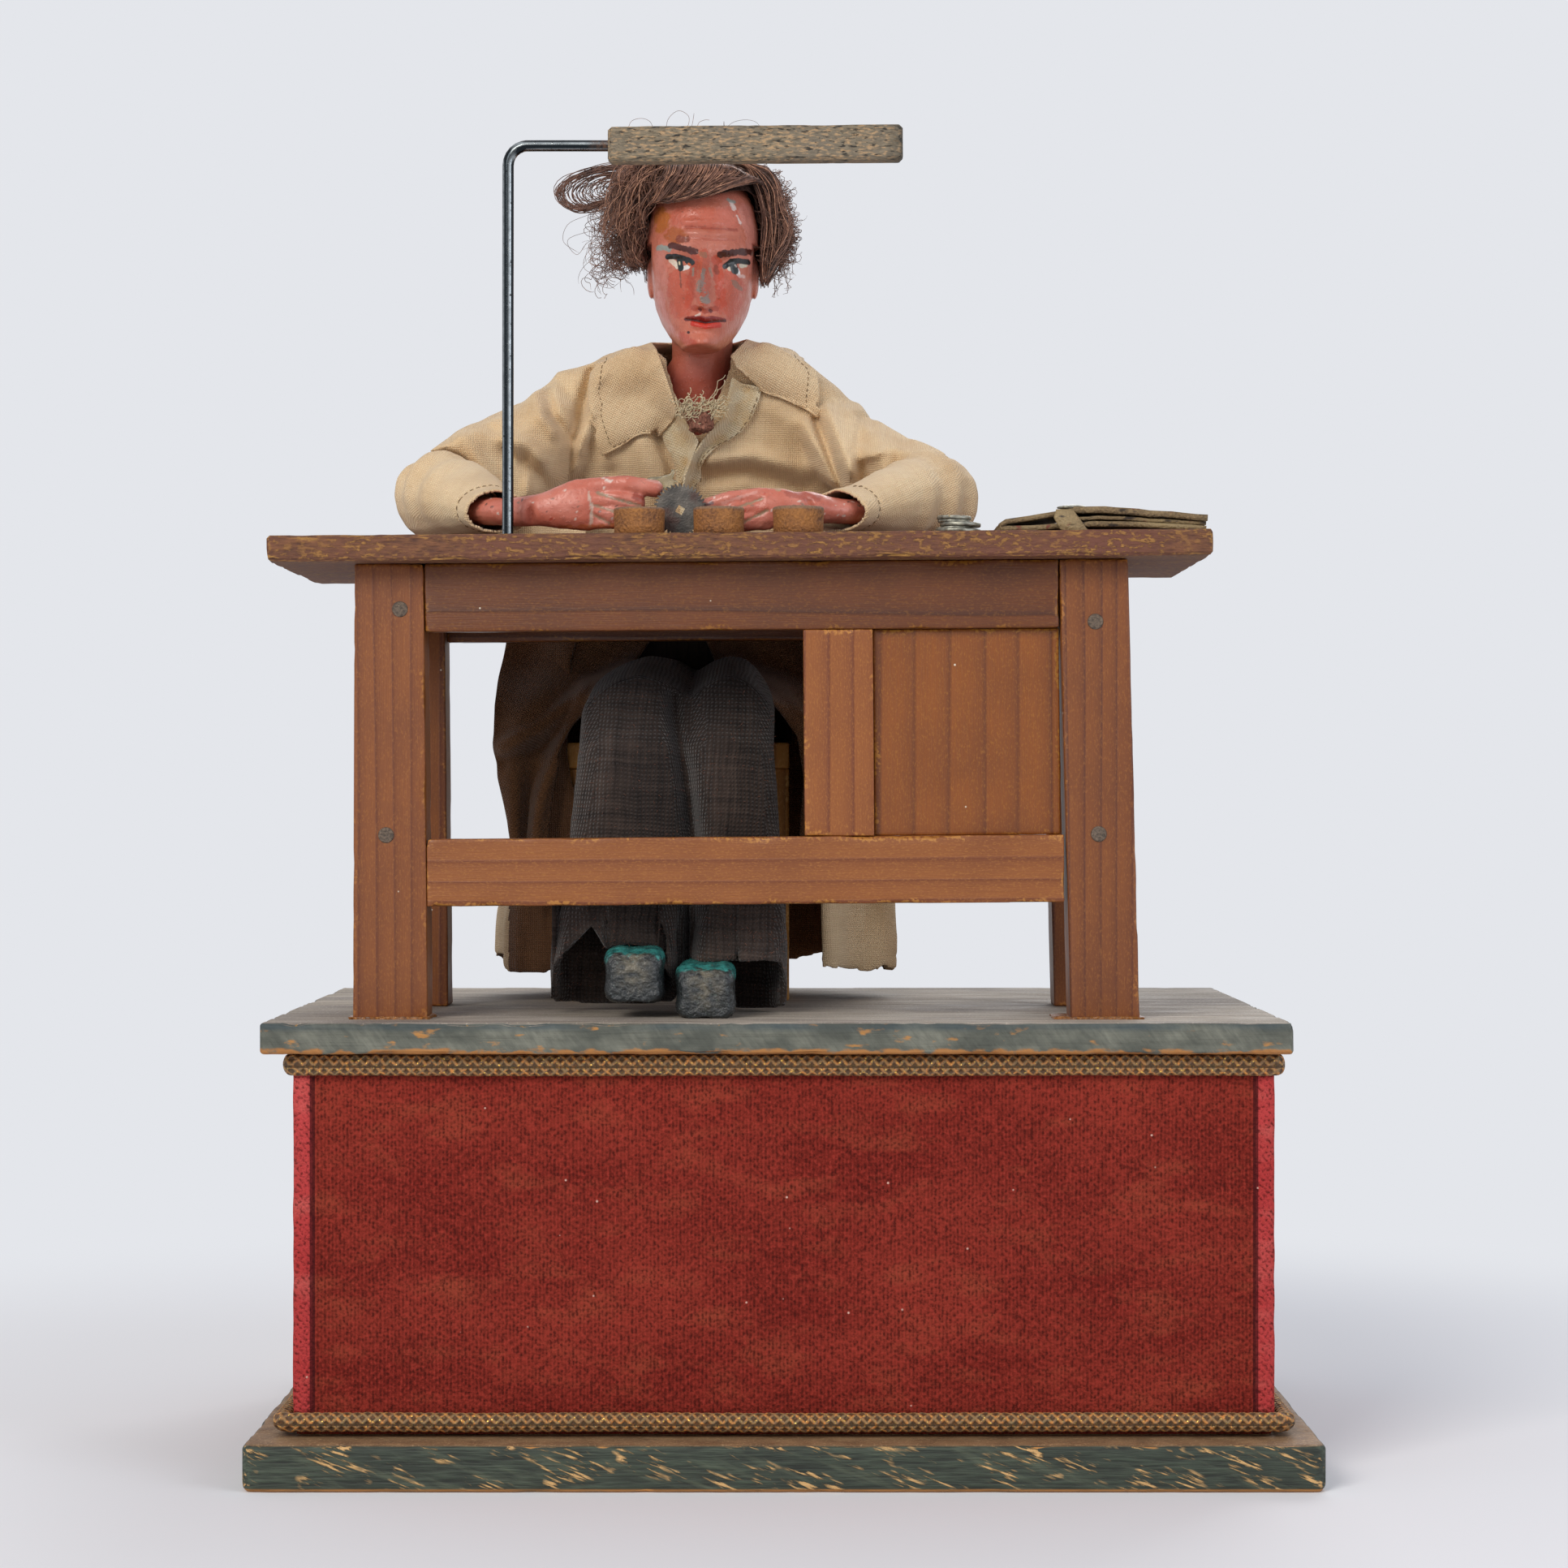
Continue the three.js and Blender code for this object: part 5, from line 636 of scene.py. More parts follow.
# Bench. Planed pine stained and varnished a warm brown: four legs nailed to aprons and a lower
# rail, a stile and a sunk panel at the right, and a top that has dried out and worn at its edges.
bench_lean = -0.0073
bench_woods = {
    "legs": ("Z", (-58, -85, 0), "#824717", "#552309", 7, 0.4, "#602d0d", "#9c6327"),
    "right legs": ("Z", (52, -85, 0), "#7d4416", "#512108", 6, 0.4, "#5c2b0b", "#9c6327"),
    "aprons": ("X", (0, -40, 330), "#673307", "#421b02", 6, 0.36, "#461f04", "#845312"),
    "side aprons": ("Y", (0, 0, 350), "#673307", "#421b02", 6, 0.4, "#461f04", "#845312"),
    "lower rail": ("X", (0, -60, 140), "#8e5220", "#622a0e", 7.5, 0.42, "#713a13", "#ab7230"),
    "stile": ("Z", (-40, -70, 0), "#8f511d", "#62290c", 8, 0.42, "#703811", "#ae722e"),
    "panel": ("Z", (-30, -66, 0), "#8a4b13", "#5f2d09", 12, 0.3, "#643007", "#9f6921"),
}
for wood, (grain, pith, light, dark, ring_gap, shine, stain, raw) in bench_woods.items():
    finish = pine("varnished pine, " + wood, grain, pith, light, dark, ring_gap * mm, shine, stain, raw)
    for node, name, board_wood, round_off, chip, grid in (
        ("bench_leg_front_left", "leg_front_left", "legs", 0.7, 1.4, 5),
        ("bench_leg_rear_left", "leg_rear_left", "legs", 0.7, 1.0, 6),
        ("bench_leg_front_right", "leg_front_right", "right legs", 0.7, 1.4, 5),
        ("bench_leg_rear_right", "leg_rear_right", "right legs", 0.7, 1.0, 6),
        ("apron_front", "front_apron", "aprons", 0.6, 1.2, 5),
        ("apron_rear", "rear_apron", "aprons", 0.6, 0.8, 6),
        ("apron_left", "left_apron", "side aprons", 0.6, 0.8, 6),
        ("apron_right", "right_apron", "side aprons", 0.6, 0.8, 6),
        ("lower_rail", "front_rail", "lower rail", 0.5, 1.6, 4),
        ("stile", "front_stile", "stile", 0.5, 0.8, 4),
        ("cupboard_panel", "sunk_panel", "panel", 0.4, 0.3, 5),
    ):
        if board_wood == wood:
            worn_board(node, name, finish, round_off * mm, chip * mm, grid * mm, bench_lean)

# Dried bench top: coarse open grain, purple-brown with ochre crumbs.
top_pine, tree, shader, place = start_finish("dry brown bench board")
fibre = grains(tree, place, 0.9 * mm, 0.3, 0.7, 6, (0.22, 1, 1))
crumb = grains(tree, place, 1.1 * mm, 0.52, 0.62, 4, (0.5, 1, 1))
clump = grains(tree, place, 16 * mm, 0.35, 0.65, 4, (0.5, 1, 1))
colour = blend_in(tree, fibre, "#4f2e20", "#7e5132")
colour = blend_in(tree, grains(tree, place, 40 * mm, 0.4, 0.65, 3), colour, "#6b3f2f")
crumbs = add_node(tree, "Math", {0: crumb, 1: clump}, operation="MULTIPLY")
colour = blend_in(tree, crumbs, colour, "#ab7b3b")
colour = rub_edges(tree, colour, fibre, 0.2, 0.42, "#aa7c3e")
set_surface(
    tree, shader, colour, 0.72, add_node(tree, "Math", {0: crumbs, 1: fibre}, operation="ADD"), 0.45 * mm
)
worn_board("bench_top", "bench_board", top_pine, 1.2 * mm, 2.2 * mm, 4 * mm, bench_lean)

# Nails. Four flat round heads of mild steel, dark with rust. They are driven through the front
# legs into the aprons and the rail.
nail_iron, tree, shader, place = start_finish("rusted nail iron")
rust = grains(tree, place, 1.1 * mm, 0.35, 0.7, 5)
colour = blend_in(tree, rust, "#4a4038", "#7b6a5a")
shader.inputs["Metallic"].default_value = 0.4
set_surface(tree, shader, colour, 0.6, rust, 0.3 * mm)
for number, (x, z) in enumerate([(-136.3, 307.5), (-141.2, 227.3), (110.5, 303.1), (111.7, 227.7)], 1):
    form = bmesh.new()
    spot = Matrix.Translation((x * mm, -95.6 * mm, z * mm)) @ Matrix.Rotation(math.pi / 2, 4, "X")
    bmesh.ops.create_cone(
        form, cap_ends=True, segments=24, radius1=2.9 * mm, radius2=2.7 * mm, depth=0.7 * mm, matrix=spot
    )
    rims = [edge for edge in form.edges if edge.calc_face_angle(0) > 0.8]
    bmesh.ops.bevel(form, geom=rims, offset=0.2 * mm, affect="EDGES", segments=2, profile=0.5, material=-1)
    caps = [face for face in form.faces if len(face.verts) > 8]
    bmesh.ops.inset_individual(form, faces=caps, thickness=1.1 * mm)
    bmesh.ops.translate(
        form, vec=(0, 0.12 * mm, 0), verts=[v for face in caps for v in face.verts if face.normal.y < 0]
    )
    link_piece(f"nail_head_{number}", form, nail_iron)

# Hide glue. Old amber glue that ran out under the front legs when they were set on the platform,
# dark and shiny.
glue, tree, shader, place = start_finish("old hide glue")
bubble = grains(tree, place, 1.2 * mm, 0.3, 0.7, 4)
set_surface(tree, shader, blend_in(tree, bubble, "#5b3314", "#a86a24"), 0.25, bubble, 0.4 * mm)
for name, x, wide in (("left", -139.8, 28.5), ("right", 112.0, 32.0)):
    form = bmesh.new()
    spot = Matrix.Translation(
        (x * mm, -85.5 * mm, 162.45 * mm)
    ) @ Matrix.Diagonal((wide * mm, 23 * mm, 1.1 * mm, 1))
    bmesh.ops.create_cube(form, size=1.0, matrix=spot)
    bmesh.ops.subdivide_edges(form, edges=form.edges[:], cuts=9, use_grid_fill=True)
    middle = Vector((x * mm, -85.5 * mm, 162.4 * mm))
    for vert in form.verts:
        off = vert.co - middle
        swell = 1 + 0.09 * noise.noise(vert.co * 180)
        vert.co = middle + Vector((off.x * swell, off.y * swell, off.z))
        if off.z > 0:
            vert.co.z -= 0.5 * mm * max(0.0, noise.noise(vert.co * 260) + 0.2)
    link_piece("glue_under_leg_" + name, form, glue)

# Pots. Three short turned wooden tubs along the front of the bench, end grain showing all round,
# with a narrow bare rim and a scooped top.
pot_wood, tree, shader, place = start_finish("turned end-grain wood")
coarse = grains(tree, place, 1.0 * mm, 0.35, 0.68, 5)
warm = grains(tree, place, 7 * mm, 0.35, 0.65, 4)
colour = blend_in(tree, coarse, "#603a20", "#9c6737")
colour = blend_in(tree, warm, colour, "#b27533", 0.5)
tall = add_node(tree, "SeparateXYZ", {0: place}, 2)
rim = add_node(tree, "MapRange", {0: tall, 1: 342.2 * mm, 2: 342.9 * mm})
colour = blend_in(tree, rim, colour, "#7f6c5b", 0.6)
set_surface(tree, shader, colour, 0.7, coarse, 0.35 * mm)
for node in ("pot_left", "pot_middle", "pot_right"):
    low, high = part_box(node)
    mid = (low + high) / 2
    wide = (high.x - low.x) / 2
    tall_by = high.z - low.z
    form = bmesh.new()
    shares = [(0.0, 0.0), (0.93, 0.0), (
        0.985, 0.05
    ), (0.975, 0.3), (0.985, 0.6), (1.0, 0.88), (0.985, 0.97), (0.93, 1.0),
              (0.88, 0.96), (0.6, 0.86), (0.0, 0.84)]
    rim_points = [form.verts.new((mid.x + r * wide, mid.y, low.z + h * tall_by)) for r, h in shares]
    edges = chain(form, rim_points)
    bmesh.ops.spin(
        form, geom=rim_points + edges, cent=mid, axis=(0, 0, 1), angle=2 * math.pi, steps=72, use_merge=True
    )
    bmesh.ops.remove_doubles(form, verts=form.verts, dist=0.002 * mm)
    bmesh.ops.recalc_face_normals(form, faces=form.faces)
    for vert in form.verts:
        off = Vector((vert.co.x - mid.x, vert.co.y - mid.y, 0))
        vert.co -= off.normalized() * 0.12 * mm * (1 + noise.noise(vert.co * 420)) * (off.length > 0.5 * wide)
    tub = link_piece(node + "_turned", form, pot_wood)
    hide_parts(node)

# Toothed wheel, plain disc and stack of discs. Small stamped steel parts for the bench: the wheel
# stands on edge against the left hand, blued and blackened, with a square hole on its corner.
dark_steel, tree, shader, place = start_finish("blackened steel")
cloud = grains(tree, place, 5 * mm, 0.35, 0.7, 5)
grit = grains(tree, place, 0.6 * mm, 0.4, 0.7, 3)
colour = blend_in(tree, cloud, "#403d3a", "#68625b")
colour = blend_in(tree, grains(tree, place, 6 * mm, 0.52, 0.7, 5, shift=(0.5, 0, 0)), colour, "#4c3630")
shader.inputs["Metallic"].default_value = 0.35
set_surface(tree, shader, colour, (grit, 0.4, 0.6), grit, 0.06 * mm)
wheel_low, wheel_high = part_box("toothed_wheel")
hub = (wheel_low + wheel_high) / 2
hub.y = wheel_low.y
outer = (wheel_high.x - wheel_low.x) / 2
form = bmesh.new()
teeth = 38
rim = []
for step in range(teeth):
    for share, reach in ((0.0, 0.87), (0.5, 0.99), (0.7, 0.995), (0.86, 0.86)):
        angle = 2 * math.pi * (step + share) / teeth
        rim.append(form.verts.new(hub + Vector((math.cos(angle), 0, math.sin(angle))) * outer * reach))
hole = [
    form.verts.new(hub + Vector((math.cos(a), 0, math.sin(a))) * 1.9 * mm) for a in (0.25, 1.82, 3.39, 4.96)
]
edges = chain(form, rim, True) + chain(form, hole, True)
bmesh.ops.triangle_fill(form, use_beauty=True, edges=edges)
made = bmesh.ops.extrude_face_region(form, geom=form.faces[:])["geom"]
bmesh.ops.translate(form, vec=(0, 0.9 * mm, 0), verts=[v for v in made if isinstance(v, bmesh.types.BMVert)])
bmesh.ops.recalc_face_normals(form, faces=form.faces)
wheel = link_piece("toothed_wheel_stamped", form, dark_steel, smooth=False)
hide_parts("toothed_wheel")

grey_tin, tree, shader, place = start_finish("dull tinned steel")
mottle = grains(tree, place, 2.4 * mm, 0.35, 0.7, 5)
colour = blend_in(tree, mottle, "#6b6a62", "#a7a596")
colour = blend_in(tree, grains(tree, place, 1.6 * mm, 0.58, 0.7, 3, shift=(1, 0, 0)), colour, "#75603c")
shader.inputs["Metallic"].default_value = 0.7
set_surface(tree, shader, colour, (mottle, 0.3, 0.55), mottle, 0.1 * mm)


def turned_pile(name, node, finish, layers):
    """Loose discs on the bench: each is a radius, a height, a shift across and a tilt."""
    low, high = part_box(node)
    mid = (low + high) / 2
    base = low.z
    form = bmesh.new()
    for wide, thick, shift, tilt in layers:
        disc = bmesh.new()
        spot = Matrix.Translation(
            (mid.x + shift * mm, mid.y, base + thick * mm / 2)
        ) @ Matrix.Rotation(tilt, 4, "Y")
        bmesh.ops.create_cone(
            disc, cap_ends=True, segments=56, radius1=wide * mm, radius2=wide * mm, depth=thick * mm,
            matrix=spot
        )
        edges = [edge for edge in disc.edges if edge.calc_face_angle(0) > 0.8]
        bmesh.ops.bevel(
            disc, geom=edges, offset=thick * mm / 4, affect="EDGES", segments=2, profile=0.5, material=-1
        )
        for vert in disc.verts:
            off = vert.co - mid
            vert.co += Vector((off.x, off.y, 0)) * 0.03 * noise.noise(vert.co * 300)
        part = bpy.data.meshes.new(name)
        disc.to_mesh(part)
        disc.free()
        form.from_mesh(part)
        bpy.data.meshes.remove(part)
        base += thick * mm
    pile = link_piece(name, form, finish)
    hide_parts(node)


turned_pile("metal_disc_loose", "metal_disc", grey_tin, [(15.6, 1.0, 0, bench_lean + 0.004)])
stack = [
    (8.1, 1.6, 0, 0.02), (6.4, 0.8, -1.2, -0.04), (7.2, 1.5, 0.8, 0.03), (5.6, 1.0, -1.6, 0.0),
    (6.1, 1.3, -1.4, 0.02)
]
turned_pile("disc_stack_loose", "disc_stack", grey_tin, stack)

# Tool wallet. A flat wallet of old brown leather, two stiff flaps closed over its tools, with a
# lump of metal under the fold and one soft tongue that hangs over the front edge of the bench.
leather, tree, shader, place = start_finish("dry brown leather")
grain = grains(tree, place, 1.0 * mm, 0.3, 0.72, 5)
rub = grains(tree, place, 9 * mm, 0.42, 0.66, 6, (0.4, 1, 1))
crack = grains(tree, place, 2.2 * mm, 0.58, 0.66, 6, (0.3, 1, 1))
colour = blend_in(tree, grain, "#5d4a33", "#8f7753")
colour = blend_in(tree, rub, colour, "#a08a60", 0.7)
colour = blend_in(tree, crack, colour, "#31241a")
colour = blend_in(tree, grains(tree, place, 4 * mm, 0.66, 0.74, 3, shift=(0.4, 0, 0)), colour, "#7c2f28")
set_surface(tree, shader, colour, (rub, 0.72, 0.48), grain, 0.35 * mm)
low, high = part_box("tool_wallet")


def join_rows(form, rows, turned=False):
    """Fills a net of points with faces, row by row."""
    for one, two in zip(rows, rows[1:]):
        for cell in range(len(one) - 1):
            corners = (one[cell], one[cell + 1], two[cell + 1], two[cell])
            form.faces.new(corners[:1] + corners[:0:-1] if turned else corners)


def wallet_leaf(name, profile, thick, front, back, replaced=None):
    """One leather leaf: a bent profile of x and height points in mm, drawn back over the bench."""
    form = bmesh.new()
    spine = [form.verts.new((low.x + x * mm, front, low.z + h * mm)) for x, h in profile]
    edges = chain(form, spine)
    rows = 12
    for _ in range(rows):
        edges = draw_out(form, edges, (0, (back - front) / rows, 0))
    bmesh.ops.subdivide_edges(form, edges=form.edges[:], cuts=2, use_grid_fill=True)
    for vert in form.verts:
        vert.co.z += 0.3 * mm * noise.noise(vert.co * 120) + 0.12 * mm * noise.noise(vert.co * 500)
        vert.co.y += 0.5 * mm * noise.noise(Vector((vert.co.x * 160, 4, 1)))
    bmesh.ops.recalc_face_normals(form, faces=form.faces)
    bmesh.ops.solidify(form, geom=form.faces[:], thickness=thick * mm)
    leaf = link_piece(name, form, leather)
    if replaced:
        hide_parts(replaced)


back_edge = high.y - mm
front_edge = low.y + mm
wallet_leaf(
    "wallet_bottom_leaf", [(1, 1.9), (8, 2.0), (20, 2.6), (34, 3.6), (50, 3.4), (66, 2.6), (74, 2.0)], 1.8,
    front_edge, back_edge, "tool_wallet",
)
wallet_leaf(
    "wallet_left_flap", [(0.6, 2.5), (3, 4.4), (12, 5.6), (22, 7.3), (29, 8.8)], 1.7, front_edge, back_edge
)
wallet_leaf(
    "wallet_right_flap", [(27, 8.9), (38, 8.8), (50, 7.9), (62, 7.0), (74.5, 6.0)], 2.2, front_edge, back_edge
)
wallet_leaf(
    "wallet_inner_leaf", [(24, 5.0), (36, 5.6), (50, 5.0), (62, 4.2), (74, 3.5)], 1.2, front_edge + mm,
    back_edge
)
form = bmesh.new()
tongue = [(23.5, 7.4, 2.6), (24.2, 4.6, 4.2), (26.5, 1.0, 4.4), (30.5, -1.8, 3.4), (33, -2.6, 1.4)]
rim = []
for x, h, half in tongue:
    bow = 1.3 * mm * (1 - ((h - 3) / 6) ** 2)
    rim.append([form.verts.new(
        (low.x + (x + side * half) * mm, low.y - 6 * mm - bow * (1 - side * side * 0.6), low.z + h * mm)
    )
                for side in (-1, -0.5, 0, 0.5, 1)])
join_rows(form, rim)
bmesh.ops.translate(form, vec=(0, 5.2 * mm, 0), verts=form.verts)
bmesh.ops.subdivide_edges(form, edges=form.edges[:], cuts=2, smooth=0.6, use_grid_fill=True)
bmesh.ops.solidify(form, geom=form.faces[:], thickness=0.9 * mm)
bmesh.ops.recalc_face_normals(form, faces=form.faces)
link_piece("wallet_tongue", form, leather)
form = bmesh.new()
spot = Matrix.Translation(
    (low.x + 27 * mm, low.y + 5 * mm, low.z + 8.7 * mm)
) @ Matrix.Diagonal((5.5, 3, 1.0, 1))
bmesh.ops.create_icosphere(form, subdivisions=4, radius=mm, matrix=spot)
for vert in form.verts:
    vert.co += vert.normal * 0.35 * mm * noise.noise(vert.co * 500)
link_piece("wallet_metal_lump", form, grey_tin)

# Celluloid scrap. A thin clear shard of sheet, yellowed, with a torn, toothed edge. The left
# forefinger pinches it.
celluloid, tree, shader, place = start_finish("yellowed celluloid")
haze = grains(tree, place, 3 * mm, 0.3, 0.7, 4)
shader.inputs["Transmission Weight"].default_value = 0.75
shader.inputs["IOR"].default_value = 1.5
set_surface(tree, shader, blend_in(tree, haze, "#cfc6a4", "#e6e0c4"), 0.25, haze, 0.1 * mm)
low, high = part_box("toothed_scrap")
form = bmesh.new()
outline = [(0.0, 0.3), (0.12, 0.5), (0.3, 0.62), (
    0.55, 0.66
), (0.8, 0.78), (0.84, 1.0), (0.92, 0.96), (0.9, 0.7),
           (
               0.86, 0.52
           ), (1.0, 0.4), (0.9, 0.33), (0.98, 0.2), (
               0.84, 0.22
           ), (0.82, 0.05), (0.7, 0.12), (0.6, 0.0), (0.3, 0.08)]
size = high - low
ring = [form.verts.new((low.x + x * size.x, low.y, low.z + z * size.z)) for x, z in outline]
edges = chain(form, ring, True)
bmesh.ops.triangle_fill(form, use_beauty=True, edges=edges)
bmesh.ops.subdivide_edges(form, edges=form.edges[:], cuts=3)
for vert in form.verts:
    vert.co.y += 0.5 * mm * noise.noise(vert.co * 220)
bmesh.ops.solidify(form, geom=form.faces[:], thickness=0.25 * mm)
bmesh.ops.recalc_face_normals(form, faces=form.faces)
scrap_body = next(
    b for b, nodes in frame["record"]["behaviour"]["bodies"].items() if "toothed_scrap" in nodes
)
scrap = link_piece("celluloid_scrap", form, celluloid, scrap_body)
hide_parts("toothed_scrap")

# Lamp arm. A bent steel rod stuck in a hole of the bench carries a square bar of grey weathered
# wood over the head. The rod carries bright streaks of painted reflection along two sides, and it is rusty
# where it enters the bar.
rod_steel, tree, shader, place = start_finish("dull steel rod with painted reflection streaks")
spots = grains(tree, place, 0.9 * mm, 0.6, 0.72, 4)
# Painted reflection: bright streaks along two sides of the rod, set by which way its surface faces.
facing = add_node(tree, "SeparateXYZ", {0: add_node(tree, "TexCoord", out="Normal")})
side = add_node(tree, "Math", {0: facing, 1: facing.node.outputs[2]}, operation="ADD")
painted_glint = add_node(
    tree, "Math", {0: add_node(tree, "Math", {0: side, 1: 0.3}, operation="SUBTRACT")}, operation="ABSOLUTE"
)
painted_glint = add_node(tree, "MapRange", {0: painted_glint, 1: 0.06, 2: 0.34, 3: 1.0, 4: 0.0})
painted_edge_glint = add_node(
    tree, "Math", {0: add_node(tree, "Math", {0: side, 1: 0.72}, operation="ADD")}, operation="ABSOLUTE"
)
painted_edge_glint = add_node(tree, "MapRange", {0: painted_edge_glint, 1: 0.04, 2: 0.2, 3: 0.7, 4: 0.0})
lines = add_node(tree, "Math", {0: painted_glint, 1: painted_edge_glint}, operation="MAXIMUM")
uneven = grains(tree, place, 2.2 * mm, 0.25, 0.75, 5, (0.6, 0.6, 1))
lines = add_node(
    tree, "Math", {0: lines, 1: add_node(tree, "MapRange", {0: uneven, 3: 0.45, 4: 1.0})},
    operation="MULTIPLY"
)
colour = blend_in(tree, lines, "#23282c", "#b4bbbd")
colour = blend_in(tree, spots, colour, "#1f1e1c")
across = add_node(tree, "SeparateXYZ", {0: place})
at_bar = add_node(tree, "MapRange", {0: across, 1: -70 * mm, 2: -63 * mm})
rusty = add_node(
    tree, "Math", {0: at_bar, 1: grains(tree, place, 1.2 * mm, 0.3, 0.6, 4)}, operation="MULTIPLY"
)
colour = blend_in(tree, rusty, colour, "#5a3a22")
tree.links.new(add_node(tree, "MapRange", {0: rusty, 3: 0.95, 4: 0.1}), shader.inputs["Metallic"])
set_surface(tree, shader, colour, (spots, 0.22, 0.5), spots, 0.04 * mm)


def tubes(name, paths, thickness, finish, body="display_base", roundness=0, tip=0, caps=False):
    """Round tubes along paths, as one curve that rides on a body. The last tip points are thinner."""
    lines = bpy.data.curves.new(name, "CURVE")
    lines.dimensions = "3D"
    for path in paths:
        spline = lines.splines.new("POLY")
        spline.points.add(len(path) - 1)
        for index, (point, at) in enumerate(zip(spline.points, path)):
            point.co = (*at, 1)
            point.radius = 1.0 if index < len(path) - tip else 0.55
    lines.bevel_depth = thickness
    lines.bevel_resolution = roundness
    lines.use_fill_caps = caps
    lines.materials.append(finish)
    piece = bpy.data.objects.new(name, lines)
    scene.collection.objects.link(piece)
    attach(piece, body)
    return piece


low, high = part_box("lamp_wire")
thick = (high.y - low.y) / 2
mid_y = (low.y + high.y) / 2
form = merged_copy("lamp_wire")
bar_drop = 1.7 * mm
top_z = high.z - thick - bar_drop
slant = low.x + thick
bend = 7 * mm
foot = [v.co for v in form.verts if v.co.z < low.z + mm]
foot_x = sum(co.x for co in foot) / len(foot)
form.free()
route = [Vector((foot_x, mid_y, low.z)), Vector((slant, mid_y, top_z - bend))]
route += [
    Vector((slant + bend * (1 - math.cos(a)), mid_y, top_z - bend + bend * math.sin(a)))
    for a in (0.26, 0.52, 0.78, 1.05, 1.31, 1.5)
]
route += [Vector((slant + bend * 1.6, mid_y, top_z)), Vector((high.x, mid_y, top_z))]
rod = tubes("lamp_arm_rod", [route], thick * 1.13, rod_steel, roundness=6, caps=True)
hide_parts("lamp_wire")

# Weathered grey wood: silvered fibres with dark cracks and pale flecks, dark at its right end.
grey_wood, tree, shader, place = start_finish("weathered grey wood")
fibre = grains(tree, place, 0.6 * mm, 0.3, 0.72, 6, (0.25, 1, 1))
fleck = grains(tree, place, 0.8 * mm, 0.5, 0.66, 6, (0.35, 1, 1), (0.2, 0, 0))
crack = grains(tree, place, 1.0 * mm, 0.58, 0.66, 6, (0.3, 1, 1), (0.4, 0, 0.1))
colour = blend_in(tree, fibre, "#5a5142", "#91836c")
colour = blend_in(tree, grains(tree, place, 14 * mm, 0.45, 0.7, 3, (0.5, 1, 1)), colour, "#756b5c")
colour = blend_in(tree, fleck, colour, "#b0916c")
colour = blend_in(tree, crack, colour, "#2e2a26")
across = add_node(tree, "SeparateXYZ", {0: place})
end = add_node(tree, "MapRange", {0: across, 1: 36 * mm, 2: 42 * mm})
end = add_node(tree, "Math", {0: end, 1: grains(tree, place, 3 * mm, 0.2, 0.6)}, operation="MULTIPLY")
colour = blend_in(tree, end, colour, "#36342d")
colour = rub_edges(tree, colour, fibre, 0.25, 0.5, "#b19875")
set_surface(
    tree, shader, colour, 0.8, add_node(tree, "Math", {0: fibre, 1: crack}, operation="SUBTRACT"), 0.3 * mm
)
bar = worn_board("lamp_bar", "lamp_bar_weathered", grey_wood, 0.9 * mm, 0.9 * mm, 2.5 * mm)
bar.data.transform(Matrix.Translation((0, 0, -bar_drop)))

# Stool. A seat and two side boards of plain pine under the coat, brighter and yellower than the
# bench where they show. The torso block on the seat is pine painted nearly black as shade.
stool_pine = pine(
    "yellow pine stool", "Z", (-40, 90, 0), "#c58a3c", "#96602a", 5 * mm, 0.55, "#8f5f2a", "#d9a964"
)
for node in ("stool_seat", "stool_side_left", "stool_side_right"):
    worn_board(node, node + "_worn", stool_pine, 0.8 * mm, 0.6 * mm, 8 * mm)
# Painted shade: the torso block is made nearly black where it shows under the bench.
pine_painted_shade_black = pine(
    "pine painted nearly black as shade", "Z", (0, 60, -25), "#33241a", "#1d130d", 4 * mm, 0.7, "#1a120c", "#4a3525"
)
worn_board("torso", "torso_block", pine_painted_shade_black, 0.8 * mm, 0.4 * mm, 6 * mm)

# Head. Lime wood carved with neck and ears in one piece, sized and painted a glossy flesh red. The
# features are drawn with a brush, and the paint has chipped to grey ground on the nose and cheeks.
# A few pale strokes on the brow, the upper lip and in the eyes are painted highlights.


def clamp(value):
    """Keeps a share between nought and one."""
    return min(1.0, max(0.0, value))


def smooth_form(form, rounds, axes="xyz", verts=None):
    """Evens out a form's points, or some of them, along the axes named."""
    along = {"use_axis_" + axis: axis in axes for axis in "xyz"}
    for _ in range(rounds):
        bmesh.ops.smooth_vert(form, verts=verts or form.verts, factor=0.5, **along)


def even_skin(node, voxel, rounds):
    """A node's form as one evenly meshed, smoothed skin, ready for relief."""
    rough = bpy.data.meshes.new("rough")
    form = merged_copy(node)
    form.to_mesh(rough)
    form.free()
    holder = bpy.data.objects.new("rough", rough)
    scene.collection.objects.link(holder)
    remesh = holder.modifiers.new("even mesh", "REMESH")
    remesh.mode = "VOXEL"
    remesh.voxel_size = voxel
    bpy.context.view_layer.update()
    even = bpy.data.meshes.new_from_object(holder.evaluated_get(bpy.context.evaluated_depsgraph_get()))
    bpy.data.objects.remove(holder)
    form = bmesh.new()
    form.from_mesh(even)
    bpy.data.meshes.remove(even)
    bpy.data.meshes.remove(rough)
    smooth_form(form, rounds)
    form.normal_update()
    return form


def places_of(form):
    """The places of a form's points, as an array."""
    return np.array([v.co[:] for v in form.verts])


def paint_points(form, tones):
    """Keeps a colour at each point of a form, for its paint to read."""
    layer = form.verts.layers.float_color.new("paint")
    for vert, tone in zip(form.verts, tones):
        vert[layer] = (*tone, 1.0)


def lay_over(paint, mask, coat):
    """Lays a colour, or another paint, over a paint where the mask is one."""
    coat = np.array(srgb(coat)[:3]) if isinstance(coat, str) else coat
    return paint * (1 - mask[:, None]) + coat * mask[:, None]


